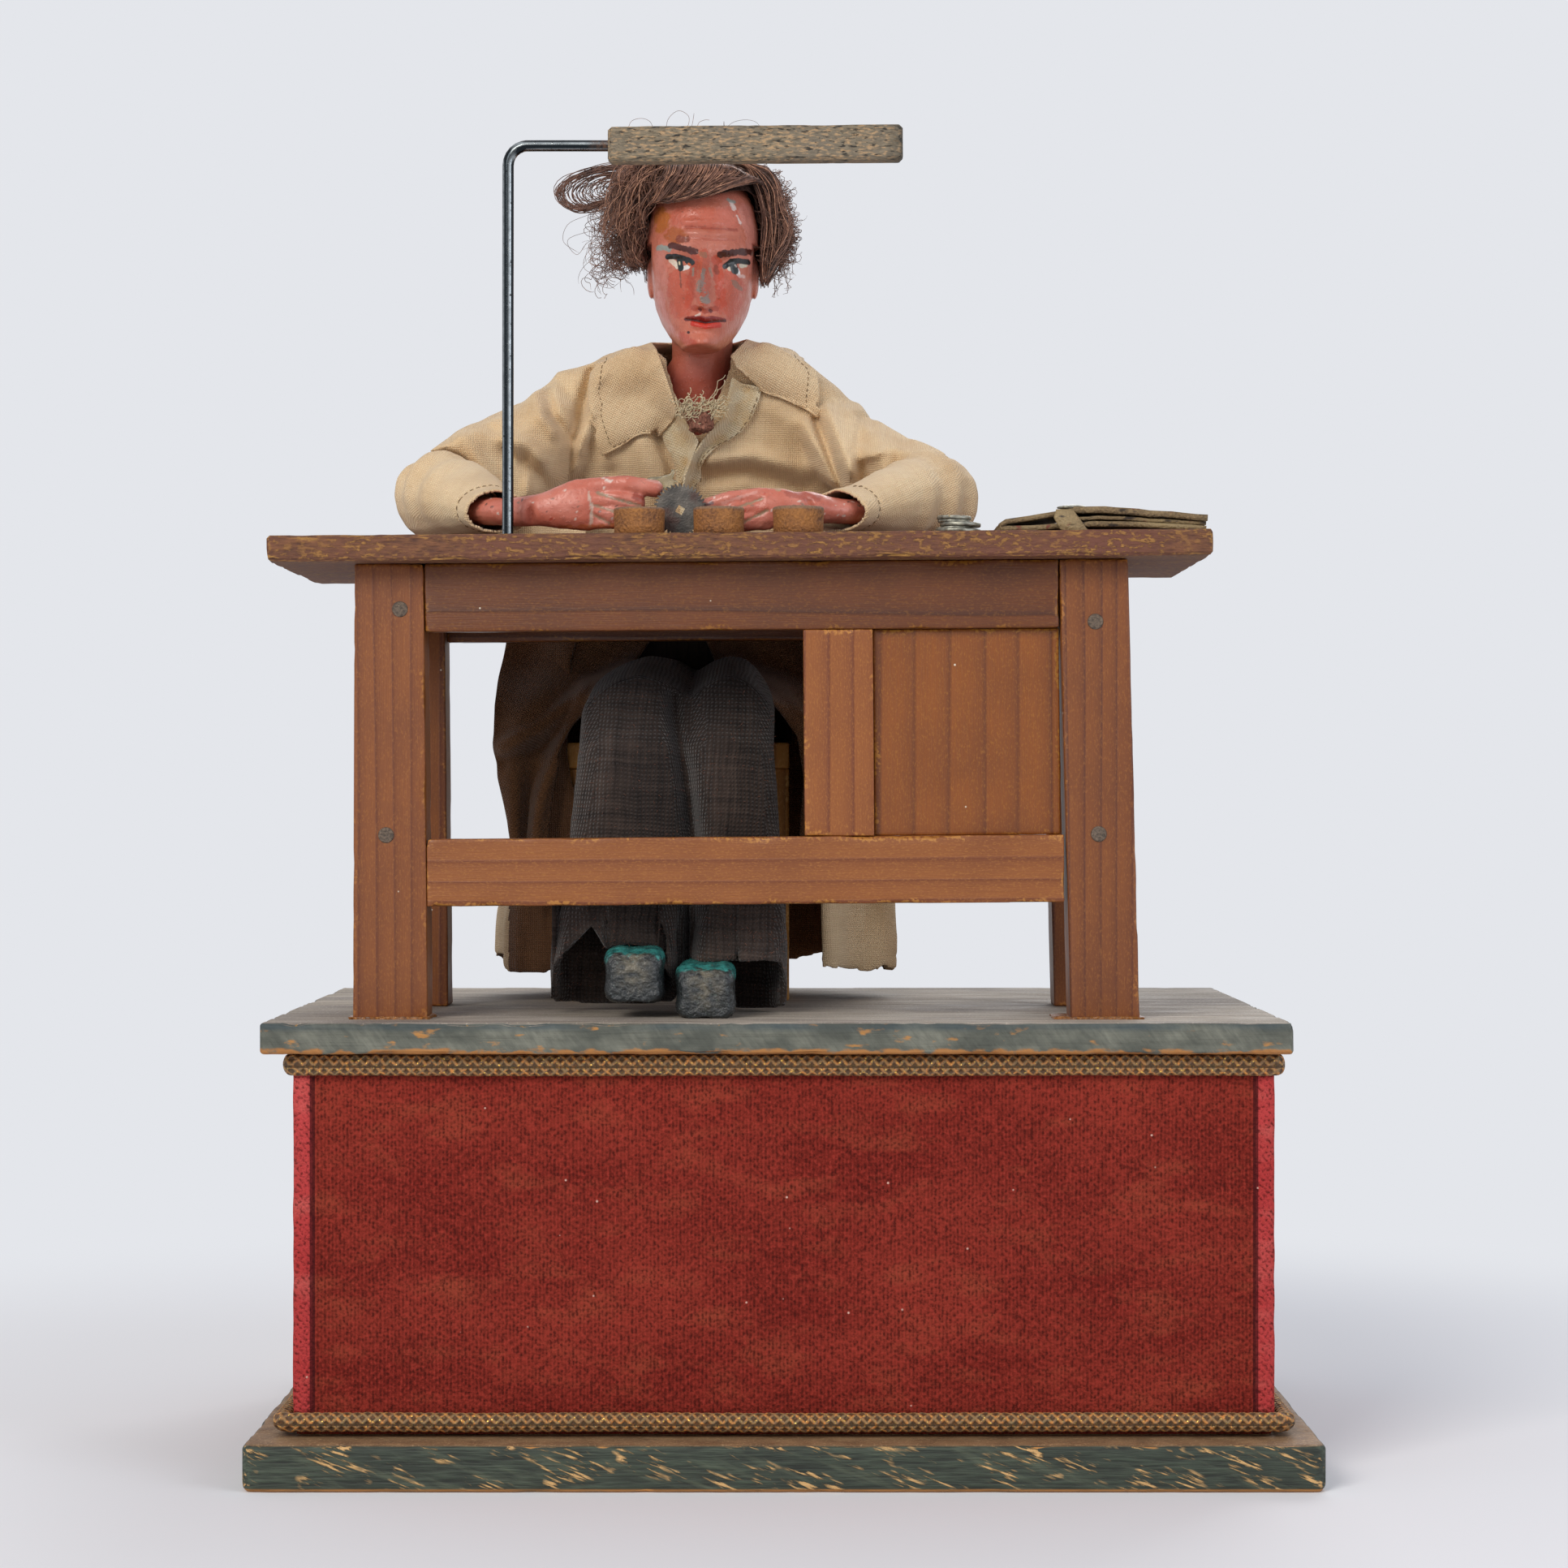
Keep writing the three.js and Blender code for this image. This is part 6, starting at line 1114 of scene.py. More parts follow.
def mottled(spots, under, over, size, gain, level, strength):
    """A paint of one colour with soft clouds of another."""
    cloud = np.array([noise.noise(Vector(p) * size) for p in spots])
    base = np.array([srgb(under)[:3]] * len(spots))
    return lay_over(base, np.clip(cloud * gain + level, 0, 1) * strength, over)


def line_lift(places, folds):
    """How far places are lifted by ridges: each is a line of points in mm, a width and a height."""
    lift = np.zeros(len(places))
    for line, width, height in folds:
        nearest = np.full(len(places), 1e9)
        for first, second in zip(line, line[1:]):
            start = np.array(first) * mm
            run = np.array(second) * mm - start
            share = np.clip(((places - start) @ run) / (run @ run), 0, 1)
            away = np.linalg.norm(places - start - share[:, None] * run, axis=1)
            nearest = np.minimum(nearest, away)
        lift += height * mm * np.exp(-((nearest / (width * mm)) ** 2))
    return lift


def brushed(places, paint, strokes, seed=0):
    """Lays strokes on a paint: each is a line in mm, a width, a colour, how ragged and how strong."""
    rough = np.array([noise.noise(Vector((p[0] * 420, seed, p[-1] * 420))) for p in places])
    rough += 0.6 * np.array([noise.noise(Vector((p[0] * 1300, seed + 5, p[-1] * 1300))) for p in places])
    for line, width, colour, ragged, strength in strokes:
        near = line_lift(places, [(line, width, 1000)])
        near = near + ragged * rough * np.sqrt(np.clip(near, 0, 1))
        mask = np.clip((near - 0.3) / 0.16, 0, 1) * strength
        paint = lay_over(paint, mask, colour)
    return paint


def refine(form, low_x, high_x, high_y, low_z, high_z):
    """Splits the faces inside a part of the front of a form. All in mm."""
    fine = set()
    for face in form.faces:
        x, y, z = face.calc_center_median() / mm
        if low_x < x < high_x and y < high_y and low_z < z < high_z:
            fine.update(face.edges)
    bmesh.ops.subdivide_edges(form, edges=list(fine), cuts=1, use_grid_fill=True)


# Glossy oil paint on carved wood, laid on by brush: varied flesh reds, pits and dusty hollows.
flesh, tree, shader, place = start_finish("glossy flesh paint on carved wood")
paint = add_node(tree, "VertexColor", layer_name="paint")
# The black and white strokes lie over the flesh coat, so its mottling leaves the dark ones alone.
bare = add_node(tree, "MapRange", {0: add_node(tree, "SeparateColor", {0: paint}), 1: 0.06, 2: 0.3})
mottle = add_node(
    tree, "Math", {0: grains(tree, place, 4.5 * mm, 0.4, 0.7, 5), 1: bare}, operation="MULTIPLY"
)
pits = add_node(
    tree, "Math", {0: grains(tree, place, 0.8 * mm, 0.58, 0.72, 3), 1: bare}, operation="MULTIPLY"
)
colour = blend_in(tree, mottle, paint, "#9c3a22", 0.3)
colour = blend_in(tree, pits, colour, "#e09a8a", 0.2)
fleck = grains(tree, place, 0.9 * mm, 0.66, 0.72, 3, shift=(0.3, 0.1, 0))
colour = blend_in(tree, fleck, colour, "#6d5648", 0.5)
height = add_node(tree, "Math", {0: mottle, 1: 0.6, 2: pits}, operation="MULTIPLY_ADD")
set_surface(tree, shader, colour, (mottle, 0.3, 0.46), height, 0.12 * mm)

form = even_skin("head", 0.75 * mm, 14)
refine(form, -99, 99, -8, 408, 463)
smooth_form(form, 3)
for vert in form.verts:
    if vert.co.z < 410 * mm:
        at_left = clamp((-31 * mm - vert.co.x) / (7 * mm))
        vert.co.x -= 5.2 * mm * at_left * min(1.0, (410 * mm - vert.co.z) / (9 * mm))
refine(form, -44, -14, -20, 434, 448.5)
refine(form, -38, -20, -20, 413, 433)
form.normal_update()
spots = places_of(form)
front = np.array([max(0.0, -v.normal.y) for v in form.verts]) * (spots[:, 1] < 4 * mm)
flat = spots[:, [0, 2]]
carving = [
    ([(-29, 442), (-29.3, 434)], 2.2, 1.5), ([(-29.3, 434), (-29.8, 424.5)], 3.0, 2.6),
    ([(-33.2, 423.8), (-26, 423.8)], 1.8, 0.9),
    ([(-47, 447.4), (-40, 446.6), (-33.4, 443.6)], 2.0, 0.9),
    ([(-24.4, 443.6), (-17.5, 445.4), (-11, 446.8)], 2.0, 0.9),
    ([(-41.8, 440.6), (-35.2, 439.6)], 3.3, -1.7), ([(-21.6, 439.6), (-15, 440.6)], 3.3, -1.7),
    ([(-39.6, 440), (-36.6, 439.6)], 1.9, 1.2), ([(-20, 439.4), (-17.2, 439.8)], 1.9, 1.2),
    ([(-43, 443.2), (-38.7, 442.6), (-34.5, 440.6)], 0.55, 0.35),
    ([(-22.4, 440.6), (-17.5, 442.9), (-13.8, 442.8)], 0.55, 0.35),
    ([(-36.8, 453.4), (-27, 452.8), (-17.6, 453)], 0.6, -0.6),
    ([(-35, 449.2), (-27, 448.4), (-18, 449.2)], 1.0, -0.4),
    ([(-38, 451.2), (-27, 450.6), (-17.5, 451.2)], 1.0, 0.5),
    ([(-37.5, 455.6), (-27, 455), (-17.5, 455.4)], 1.0, 0.4),
    ([(-35.8, 419.7), (-31, 419.5), (-29.2, 418.9), (-27, 419.5), (-22.6, 419.4)], 1.0, 0.75),
    ([(-34, 416.8), (-29.2, 415.6), (-24.2, 416.7)], 1.25, 1.0),
    ([(-36.2, 418.9), (-29.2, 417.3), (-22.3, 418.7)], 0.5, -0.7),
    ([(-33.5, 413.2), (-25, 413.2)], 1.6, -0.6), ([(-32, 409.6), (-26, 409.6)], 3.2, 0.7),
    ([(-34.6, 426), (-38.2, 420.2)], 0.8, -0.5), ([(-24.4, 426), (-20.6, 420)], 0.8, -0.5),
    ([(-43.5, 433), (-40, 429)], 3.8, 0.7), ([(-15.5, 433), (-18.5, 429)], 3.8, 0.7),
    ([(-33.4, 440), (-32.6, 434)], 1.3, -0.9), ([(-24.8, 440), (-25.4, 434)], 1.3, -0.9),
    ([(-31.6, 422.3), (-31, 421.9)], 0.8, -0.7), ([(-27.8, 422.2), (-27.2, 421.9)], 0.8, -0.7),
]
lift = line_lift(flat, carving) * front
for vert, rise in zip(form.verts, lift):
    cuts = 0.16 * mm * noise.noise(vert.co * 240) + 0.08 * mm * noise.noise(vert.co * 900)
    vert.co += Vector((0, -rise, 0)) + vert.normal * cuts
for vert in form.verts:
    off = vert.co.x + 31 * mm
    reach = clamp((abs(off) - 17.5 * mm) / (3 * mm)) * (420 * mm < vert.co.z < 450 * mm)
    if reach and abs(vert.co.y) < 16 * mm:
        vert.co.x -= math.copysign(0.45 * (abs(off) - 17.5 * mm) * reach, off)
        vert.co.z += 3.2 * mm * reach * (1 - abs(vert.co.z - 432 * mm) / (20 * mm))
base = mottled(spots, "#c06c54", "#cc8270", 110, 1.3, 0.35, 0.5)
base = lay_over(base, 0.55 * np.clip((412 * mm - spots[:, 2]) / (10 * mm), 0, 1), "#a9483c")
hairline_x = [-56, -47.9, -43.8, -38.2, -32.7, -26.5, -22.3, -19.6, -14, -10.6, -4]
hairline_z = [460, 463.3, 461.9, 462.6, 463.3, 464, 465.4, 466.7, 468.1, 466.7, 462]
above = spots[:, 2] / mm - np.interp(spots[:, 0] / mm, hairline_x, hairline_z)
base = lay_over(base, np.clip((above - 1) / 3, 0, 1), "#5b4238")
marks = [
    ([(-40, 434), (-38.5, 428), (-37.5, 424)], 4.6, "#bb4a32", 0.6, 0.6),
    ([(-19, 434), (-20, 428), (-21.5, 424)], 4.2, "#c04e36", 0.6, 0.6),
    ([(-33, 441), (-34.5, 431), (-35.5, 425)], 1.8, "#b84428", 0.5, 0.7),
    ([(-25.2, 441), (-24, 431), (-23.2, 425)], 1.9, "#c4492b", 0.5, 0.8),
    ([(-30, 443), (-29.6, 436), (-30.2, 425)], 2.2, "#c1563a", 0.5, 0.8),
    ([(-46, 460), (-45.6, 455.5)], 2.9, "#b0662e", 0.6, 0.9),
    ([(-41.5, 450.6), (-38.8, 449.8)], 3.2, "#a95a2a", 0.4, 0.95),
    ([(-39, 448.9), (-36.6, 448.6)], 1.5, "#7a3320", 0.5, 0.9),
    ([(-38, 457.5), (-29, 456.8), (-20, 457.5)], 4.2, "#c4604a", 0.5, 0.6),
    ([(-14.5, 462), (-12, 452), (-11, 440)], 2.6, "#d28b7e", 0.5, 0.6),
    ([(-47, 444), (-45.6, 434)], 2.2, "#cf8374", 0.5, 0.6),
    # Painted highlights: the two pale strokes on the brow.
    ([(-19.6, 463.2), (-18.8, 461.4)], 0.8, "#ead9d0", 1.0, 0.85),
    ([(-17.6, 458.6), (-16.4, 456)], 0.5, "#e6cfc6", 1.0, 0.8),
    ([(-21, 464.6), (-18.5, 464)], 0.7, "#8a9a92", 0.9, 0.9),
    ([(-36.8, 453.4), (-27, 452.8), (-17.6, 453)], 0.45, "#96402c", 0.3, 0.8),
    ([(-35, 449.2), (-27, 448.4), (-18, 449.2)], 0.5, "#ab5440", 0.3, 0.6),
    ([(-47.2, 447), (-44.8, 446.6), (-42.7, 445.4)], 0.9, "#8d9a92", 0.6, 0.95),
    ([(-42.4, 446.9), (-38.2, 445.6), (-32.7, 443.6)], 1.2, "#4e1c13", 0.5, 1.0),
    ([(-23.7, 443), (-18.9, 444.4), (-14, 445.6), (-11.3, 446.1)], 1.2, "#45170f", 0.5, 1.0),
    ([(-11.6, 445), (-10.6, 446)], 0.5, "#8f9086", 0.8, 0.8),
    ([(-31, 443.4), (-29.4, 442.2)], 1.0, "#8f6a4f", 1.0, 0.7),
    ([(-33.8, 437.4), (-33.9, 434.8)], 0.45, "#8b8c80", 0.9, 0.85),
    ([(-29.6, 436.4), (-30.2, 432.6)], 0.6, "#8a8378", 1.2, 0.85),
    ([(-31, 430.6), (-29.8, 427.6), (-29.4, 426)], 1.6, "#8a8378", 1.1, 0.9),
    ([(-27.6, 437.5), (-26.9, 435)], 0.5, "#9a8a78", 1.0, 0.7),
    ([(-38.8, 437), (-38.4, 431)], 0.28, "#6b3a2a", 0.5, 0.8),
    ([(-20, 434), (-16.6, 432)], 0.9, "#8a6a58", 1.3, 0.85),
    ([(-25.6, 439), (-25, 436.6)], 0.8, "#8a3a22", 0.8, 0.8),
    ([(-42.2, 441.7), (-40.4, 440), (-39.8, 439.2)], 0.95, "#e3d8c4", 0.3, 1.0),
    ([(-37.6, 438.1), (-36, 438.5)], 0.9, "#eeece6", 0.25, 1.0),
    ([(-20.9, 439.1), (-20.3, 438.3)], 0.75, "#d9cdb8", 0.25, 1.0),
    ([(-16, 440.2), (-14.6, 440.8)], 0.8, "#d3cbb6", 0.25, 1.0),
    ([(-17.6, 438.2), (-17.1, 437.1)], 0.95, "#f0efec", 0.25, 1.0),
    ([(-16.6, 436.3), (-15.4, 436.5)], 0.8, "#dcb8ae", 0.6, 0.85),
    ([(-43.5, 443.1), (-41, 443), (-37.5, 441.9), (-35.4, 440.9), (-34.1, 439.8)], 0.95, "#12161a", 0.2, 1.0),
    ([(-22.1, 439.2), (-19.8, 441.2), (-16.8, 441.8), (-13.6, 442.2)], 1.0, "#12161a", 0.2, 1.0),
    ([(-39, 441.4), (-38.5, 438.2)], 1.1, "#101c1c", 0.15, 1.0),
    ([(-36.4, 440.6), (-35.4, 439.6)], 0.6, "#101c1c", 0.15, 1.0),
    ([(-19.4, 440.8), (-18.4, 438)], 1.45, "#0f191a", 0.15, 1.0),
    # Painted reflection: a pale dot in the left eye.
    ([(-39.1, 440.7), (-39, 439.9)], 0.32, "#d9cda8", 0.2, 0.95),
    ([(-35.6, 439.6), (-35.2, 439.2)], 0.45, "#c8602c", 0.2, 0.95),
    # Painted reflection: a pale dot in the right eye.
    ([(-18.2, 440), (-17.9, 439.6)], 0.3, "#cfd0c8", 0.2, 0.8),
    ([(-34, 423), (-29.6, 421.6), (-25.4, 423)], 1.0, "#a5412c", 0.4, 0.8),
    ([(-31.4, 422.2), (-31, 421.9)], 0.6, "#5e1d18", 0.3, 0.9),
    ([(-27.6, 422.1), (-27.2, 421.9)], 0.6, "#5e1d18", 0.3, 0.9),
    (
        [(-36.6, 419.1), (-32, 419.2), (-29.2, 418.5), (-26.6, 419.2), (-22.4, 419.1)], 0.85, "#7b1d18", 0.25,
        1.0
    ),
    ([(-33.8, 417.1), (-29.2, 416), (-24.4, 417)], 1.15, "#c02f1d", 0.15, 1.0),
    ([(-36.8, 419), (-29.2, 417.4), (-22, 418.9)], 0.4, "#4c1210", 0.15, 1.0),
    # Painted highlight on the upper lip.
    ([(-33, 419.9), (-31.4, 420.3)], 0.45, "#cfc4b8", 0.8, 0.8),
    ([(-35.7, 414), (-35.5, 413.9)], 0.5, "#3a1714", 0.1, 1.0),
    ([(-38, 413), (-34, 408.5)], 1.6, "#b64432", 0.7, 0.6),
    ([(-47, 430), (-44.6, 420), (-40.5, 412)], 1.5, "#d58f88", 0.6, 0.5),
]
paint_points(form, lay_over(base, np.clip(front * 3, 0, 1), brushed(flat, base, marks, 3)))
head = link_piece("head_carved", form, flesh, "head")
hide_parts("head")

# Wig. Brown mohair sewn to a dark cloth cap and glued on: brushed forward over the brow, puffed
# out at both temples, with one looping lock at the left and a few stray curls above.
random.seed(11)
between = random.uniform
hair, tree, shader, place = start_finish("brown mohair")
tone = grains(tree, place, 1.6 * mm, 0.3, 0.7, 3)
colour = blend_in(tree, tone, "#4b2d23", "#966b56")
colour = blend_in(tree, grains(tree, place, 9 * mm, 0.45, 0.7, 3), colour, "#4a3026")
shader.inputs["Specular IOR Level"].default_value = 0.35
shader.inputs["Sheen Weight"].default_value = 0.15
set_surface(tree, shader, colour, 0.5, tone, 0.1 * mm)
# A lighter copy of the mohair, laid on some of the strands as painted highlights.
hair_painted_highlight, tree, shader, place = start_finish("brown mohair, lighter as painted highlight")
tone = grains(tree, place, 1.6 * mm, 0.3, 0.7, 3)
shader.inputs["Specular IOR Level"].default_value = 0.35
set_surface(tree, shader, blend_in(tree, tone, "#865d4a", "#c39479"), 0.5, tone, 0.1 * mm)
cap_hair, tree, shader, place = start_finish("brown mohair, packed close")
strands = grains(tree, place, 0.55 * mm, 0.3, 0.7, 4, (1, 1, 0.12))
colour = blend_in(tree, strands, "#33221c", "#6b5046")
shader.inputs["Specular IOR Level"].default_value = 0.15
set_surface(tree, shader, colour, 0.85, strands, 0.6 * mm)
form = even_skin("wig", 1.1 * mm, 8)
for vert in form.verts:
    vert.co -= vert.normal * (1.6 + 0.5 * noise.noise(vert.co * 160)) * mm
    rim_z = float(np.interp(vert.co.x / mm, hairline_x, hairline_z)) * mm + 2 * mm
    if vert.co.y < -8 * mm and vert.co.z < rim_z:
        vert.co.z += (rim_z - vert.co.z) * 0.8
    if vert.co.x < -58 * mm:
        vert.co.x = -58 * mm + (vert.co.x + 58 * mm) * 0.1
cap = link_piece("wig_cap", form, cap_hair, "head")
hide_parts("wig")
wig_low, wig_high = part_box("wig")


def strand_set(name, thickness, strands, finish=hair, reach=6):
    """Many hairs as thin tubes on one curve, none of them farther than reach mm outside the wig."""
    near = [(wig_low[axis] - reach * mm, wig_high[axis] + reach * mm) for axis in range(3)]
    kept = [
        [[min(max(a, low), high) for a, (low, high) in zip(at, near)] for at in strand] for strand in strands
    ]
    tubes(name, kept, thickness, finish, "head", tip=2)


def waved(points, count, swing, curl, phase):
    """A hair along a rough path in mm, resampled with a wave of its own."""
    path = [Vector(p) * mm for p in points]
    knots = [path[0]] + path + [path[-1]]
    hair_line = []
    for step in range(count):
        at = step / (count - 1) * (len(path) - 1)
        low_at = min(int(at), len(path) - 2)
        share = at - low_at
        a, b, c, d = knots[low_at:low_at + 4]
        spot = 0.5 * (
            2 * b + (c - a) * share + (2 * a - 5 * b + 4 * c - d) * share ** 2
            + (3 * b - a - 3 * c + d) * share ** 3
        )
        turn = phase + curl * step / count * 2 * math.pi
        wave = Vector((math.cos(turn), math.sin(turn * 0.7 + 1), math.sin(turn))) * swing * mm
        hair_line.append(spot + wave * min(1.0, step / 3))
    return hair_line


def brow_y(x, out):
    """How far forward the scalp reaches at a place across it, plus out, in mm."""
    return -2 - (31 + out) * math.sqrt(max(0.04, 1 - ((x + 31) / (23.5 + out)) ** 2))


for name, finish, number in (("hair_fringe", hair, 330), ("hair_fringe_light", hair_painted_highlight, 120)):
    strands = []
    for _ in range(number):
        lock = random.randrange(15)
        x = -46 + 37 * (lock + random.random() * 0.9) / 15
        out = between(0.8, 4.2)
        drop = between(0.4, 4.5) if random.random() < 0.5 else between(0.4, 9)
        sweep = 3 + (lock % 3) + 5 * (x + 46) / 37
        low_x = max(-49.5, x - sweep)
        end_x = max(-50.5, low_x - between(3, 9) * min(1.0, (x + 50) / 12))
        rim_z = [float(np.interp(at, hairline_x, hairline_z)) + drop for at in (low_x, end_x)]
        bow = x + 1.6
        strands.append(waved([
            (x - 1, -12, 481 - ((x + 31) / 22) ** 2 * (7 if x > -31 else 1.5)),
            (bow, brow_y(bow, out) * 0.86, 477.5 - ((x + 31) / 22) ** 2 * (6 if x > -31 else 1)),
            (bow - 0.2 * sweep, brow_y(bow, out) - 0.6, 472.5),
            (low_x, brow_y(low_x, out), rim_z[0] + 0.6), (end_x, brow_y(end_x, out * 0.6), rim_z[1]),
        ], 16, 0.22, between(0.5, 1.4), between(0, 6.3)))
    strand_set(name, 0.2 * mm, strands, finish)

levels = [480, 477.4, 470.4, 463.4, 456.2, 449, 443, 437.4]
right_in = [-20, -14, -11, -10.2, -9.4, -8.8, -8.6, -8.6]
right_out = [-12, -5.7, -0.6, 1.2, 3.2, 0.6, -3, -5.6]
left_in = [-43, -47, -50, -51, -51.6, -52, -53, -54]
left_out = [-49, -55, -58.5, -60.5, -62, -61.5, -58.5, -56]
for name, finish, number in (("hair_sides", hair, 520), ("hair_sides_light", hair_painted_highlight, 120)):
    strands = []
    for count in range(number):
        right = count % 2
        inner, outer = (right_in, right_out) if right else (left_in, left_out)
        stop = 8 if right and random.random() < 0.5 else random.choice((6, 7))
        share = random.random() ** 0.8
        y = between(-17, 17)
        swing = between(0.4, 1.1) if right else between(0.7, 1.8)
        phase = 5.5 * share + between(-0.6, 0.6) if right else between(0, 6.3)
        across = [a + (b - a) * share for a, b in zip(inner, outer)]
        flow = [(x, y * (1 - 0.04 * row), z) for row, (x, z) in enumerate(zip(across, levels))][:stop]
        strands.append(waved(flow, 22, swing, between(1.4, 2.0) if right else between(2, 4.5), phase))
    strand_set(name, 0.18 * mm, strands, finish)

# A tangle joins the fringe, the left side and the lock under the bar.
tangle = []
for _ in range(150):
    x, z = between(-58, -42), between(470, 481)
    y = between(-24, 4)
    path = [
        (x + 8, y + 2, 480), (x + 3, y, z + 1.5), (x - 2, y - 1, z), (x - 6, y, z - between(1, 6)),
        (x - 7, y + 2, z - 8)
    ]
    tangle.append(waved(path, 20, between(0.6, 1.6), between(1.5, 4), between(0, 6.3)))
strand_set("hair_tangle", 0.15 * mm, tangle)
swept = []
for _ in range(150):
    x, y = between(-61, -44), between(-30, -20)
    end = between(458, 470)
    path = [
        (x + 12, y + 8, 481), (x + 6, y + 2, 478), (x, y, between(470, 477)), (x - 5, y + 3, end),
        (x - 9, y + 8, end - 7)
    ]
    swept.append(waved(path, 26, between(0.6, 1.7), between(2, 5), between(0, 6.3)))
strand_set("hair_swept", 0.15 * mm, swept[:90])
strand_set("hair_swept_light", 0.13 * mm, swept[90:], hair_painted_highlight)
ringlets = []
for _ in range(110):
    x, y, z = between(-66, -58), between(-12, 14), between(438, 470)
    away, fall = between(3, 11), between(-4, 8)
    path = [
        (x + 6, y, z + 4), (x, y, z + 2), (x - away * 0.6, y, z), (x - away, y + 1, z - fall * 0.5),
        (x - away * 0.7, y, z - fall - 2)
    ]
    ringlets.append(waved(path, 24, between(0.6, 1.8), between(1, 4), between(0, 6.3)))
for _ in range(90):
    x, y, z = between(-7, 0), between(-16, 12), between(438, 474)
    away, fall = between(2, 6), between(-2, 7)
    path = [
        (x - 5, y, z + 5), (x, y, z + 3), (x + away * 0.7, y, z), (x + away, y + 1, z - fall * 0.6),
        (x + away * 0.5, y, z - fall - 3)
    ]
    ringlets.append(waved(path, 24, between(0.6, 1.6), between(1, 4), between(0, 6.3)))
strand_set("hair_ringlets", 0.11 * mm, ringlets)

# Loose curls stand off both sides, thin enough to see through.
fuzz = []
for count in range(210):
    left = count % 3
    z = between(443, 476)
    edge = float(np.interp(-z, [-at for at in levels], left_out if left else right_out))
    off = (-1 if left else 1) * between(0, 7.5 if left else 3)
    y = between(-14, 12)
    path = [
        (edge + (3 if left else -3), y, z + 4), (edge + off * 0.6, y - 1, z + 2), (edge + off, y, z - 2),
        (edge + off * 0.5, y + 1, z - 5)
    ]
    fuzz.append(waved(path, 22, between(0.9, 2.2), between(1.5, 3.5), between(0, 6.3)))
strand_set("hair_fuzz", 0.11 * mm, fuzz)

back = []
for _ in range(420):
    angle = between(1.75, 4.55)
    lift = between(1.0, 3.6)
    across, deep = math.sin(angle), -math.cos(angle)
    end = between(437, 447)
    path = [(-31 + across * (r + lift * k), -2 + deep * (1.42 * r + lift * k), z) for r, z, k in (
        (8, 481.5, 0.5), (16, 479, 0.8), (21, 470, 1), (22.5, 458, 1), (21.5, end, 0.8))]
    back.append(waved(path, 14, 0.5, between(0.5, 2), between(0, 6.3)))
for _ in range(420):
    angle = between(0, 6.3)
    start = between(0.0, 0.5)
    path = [
        (-31 + math.sin(angle) * r, 2 - math.cos(angle) * 1.35 * r, z) for r,
        z in ((18 * start, 482), (14, 480.4), (20, 475))
    ]
    back.append(waved(path, 9, 0.4, 1, between(0, 6.3)))
strand_set("hair_back", 0.25 * mm, back)

lock = []
for number in range(84):
    r = between(0.86, 1.0) if number % 3 == 0 else between(0.12, 0.9)
    y = between(-9, 4)
    loop = [
        (-50, 473), (-61, 475), (-73, 474.2), (-82, 470.6), (-87, 465.6), (-85, 460.6), (-79, 458.4),
        (-70, 460), (-62, 462.6), (-53, 462)
    ]
    if number % 4 == 0:
        loop = loop[:random.randrange(5, 9)]
    path = [
        (-62 + (x + 62) * r if x < -62 else x, y + 0.1 * i, 472.4 + (z - 466.4) * r) for i,
        (x, z) in enumerate(loop)
    ]
    lock.append(waved(path, 34, between(0.3, 1.3), between(1, 5), between(0, 6.3)))
strand_set("hair_lock", 0.14 * mm, lock)

curls = [
    [(-58.3, 489), (-56.9, 493.4), (-53.1, 494.8), (-50, 493.4), (-48.8, 489)],
    [(-43.8, 489), (-43.1, 494.4), (-39.6, 497.7), (-36.2, 496.1), (-35.8, 493), (-37.5, 489)],
    [(-35.5, 488), (-34.4, 493), (-33.6, 496.4)],
    [(-32, 488), (-32.4, 492.3), (-29.9, 493.7), (-27.5, 493.9)],
    [(-22.7, 493.4), (-22.2, 491), (-18.9, 493), (-14, 493.9), (-9.9, 493), (-8.1, 490)],
    [(-71.4, 438.4), (-69.4, 431.5), (-64.5, 429.7), (-61.1, 432.2)],
    [(-58, 441), (-61, 435.6), (-56.2, 430.8), (-55.9, 427.3)],
    [(-66, 452), (-79.7, 448.1), (-77, 442.5), (-73.5, 446.7)],
    [(-4, 468), (0.5, 466), (4, 466.7), (4.3, 464.7), (0.5, 461.9)],
    [(-4, 446), (-0.2, 438.4), (4.6, 434.2)], [(-70, 458), (-80, 454), (-82, 447), (-76, 443)],
    [(-62, 446), (-72, 444), (-74, 437), (-66, 434)],
]
stray = []
for number, path in enumerate(curls):
    y, spread = (-48.7, 0.984) if number < 5 else (-2, 1.026)
    path = [(x * spread, y, 240 + (z - 240) * spread) for x, z in path]
    if number < 5:
        path = [(path[0][0], -21, 477.5), (path[0][0], -36, 481.5)] + path
    stray.append(waved(path, 34 if number < 5 else 20, 0.25, 1, number))
for _ in range(30):
    x, z = random.choice([(between(-74, -60), between(444, 465)), (between(-4, 3), between(443, 475))])
    way = -1 if x < -30 else 1
    path = [
        (x - way * 6, between(-8, 8), z + 3), (x, between(-8, 8), z),
        (x + way * 4, between(-8, 8), z - between(2, 9))
    ]
    stray.append(waved(path, 18, between(0.8, 2.2), between(1, 2), between(0, 6.3)))
strand_set("hair_stray", 0.075 * mm, stray, hair, 15)

# Coat. An artisan's blouse of unbleached linen, hand sewn: body, sleeves set in at the shoulder,
# a wide turned-down collar, a faced front opening and a long skirt, worn soft, soiled and creased.


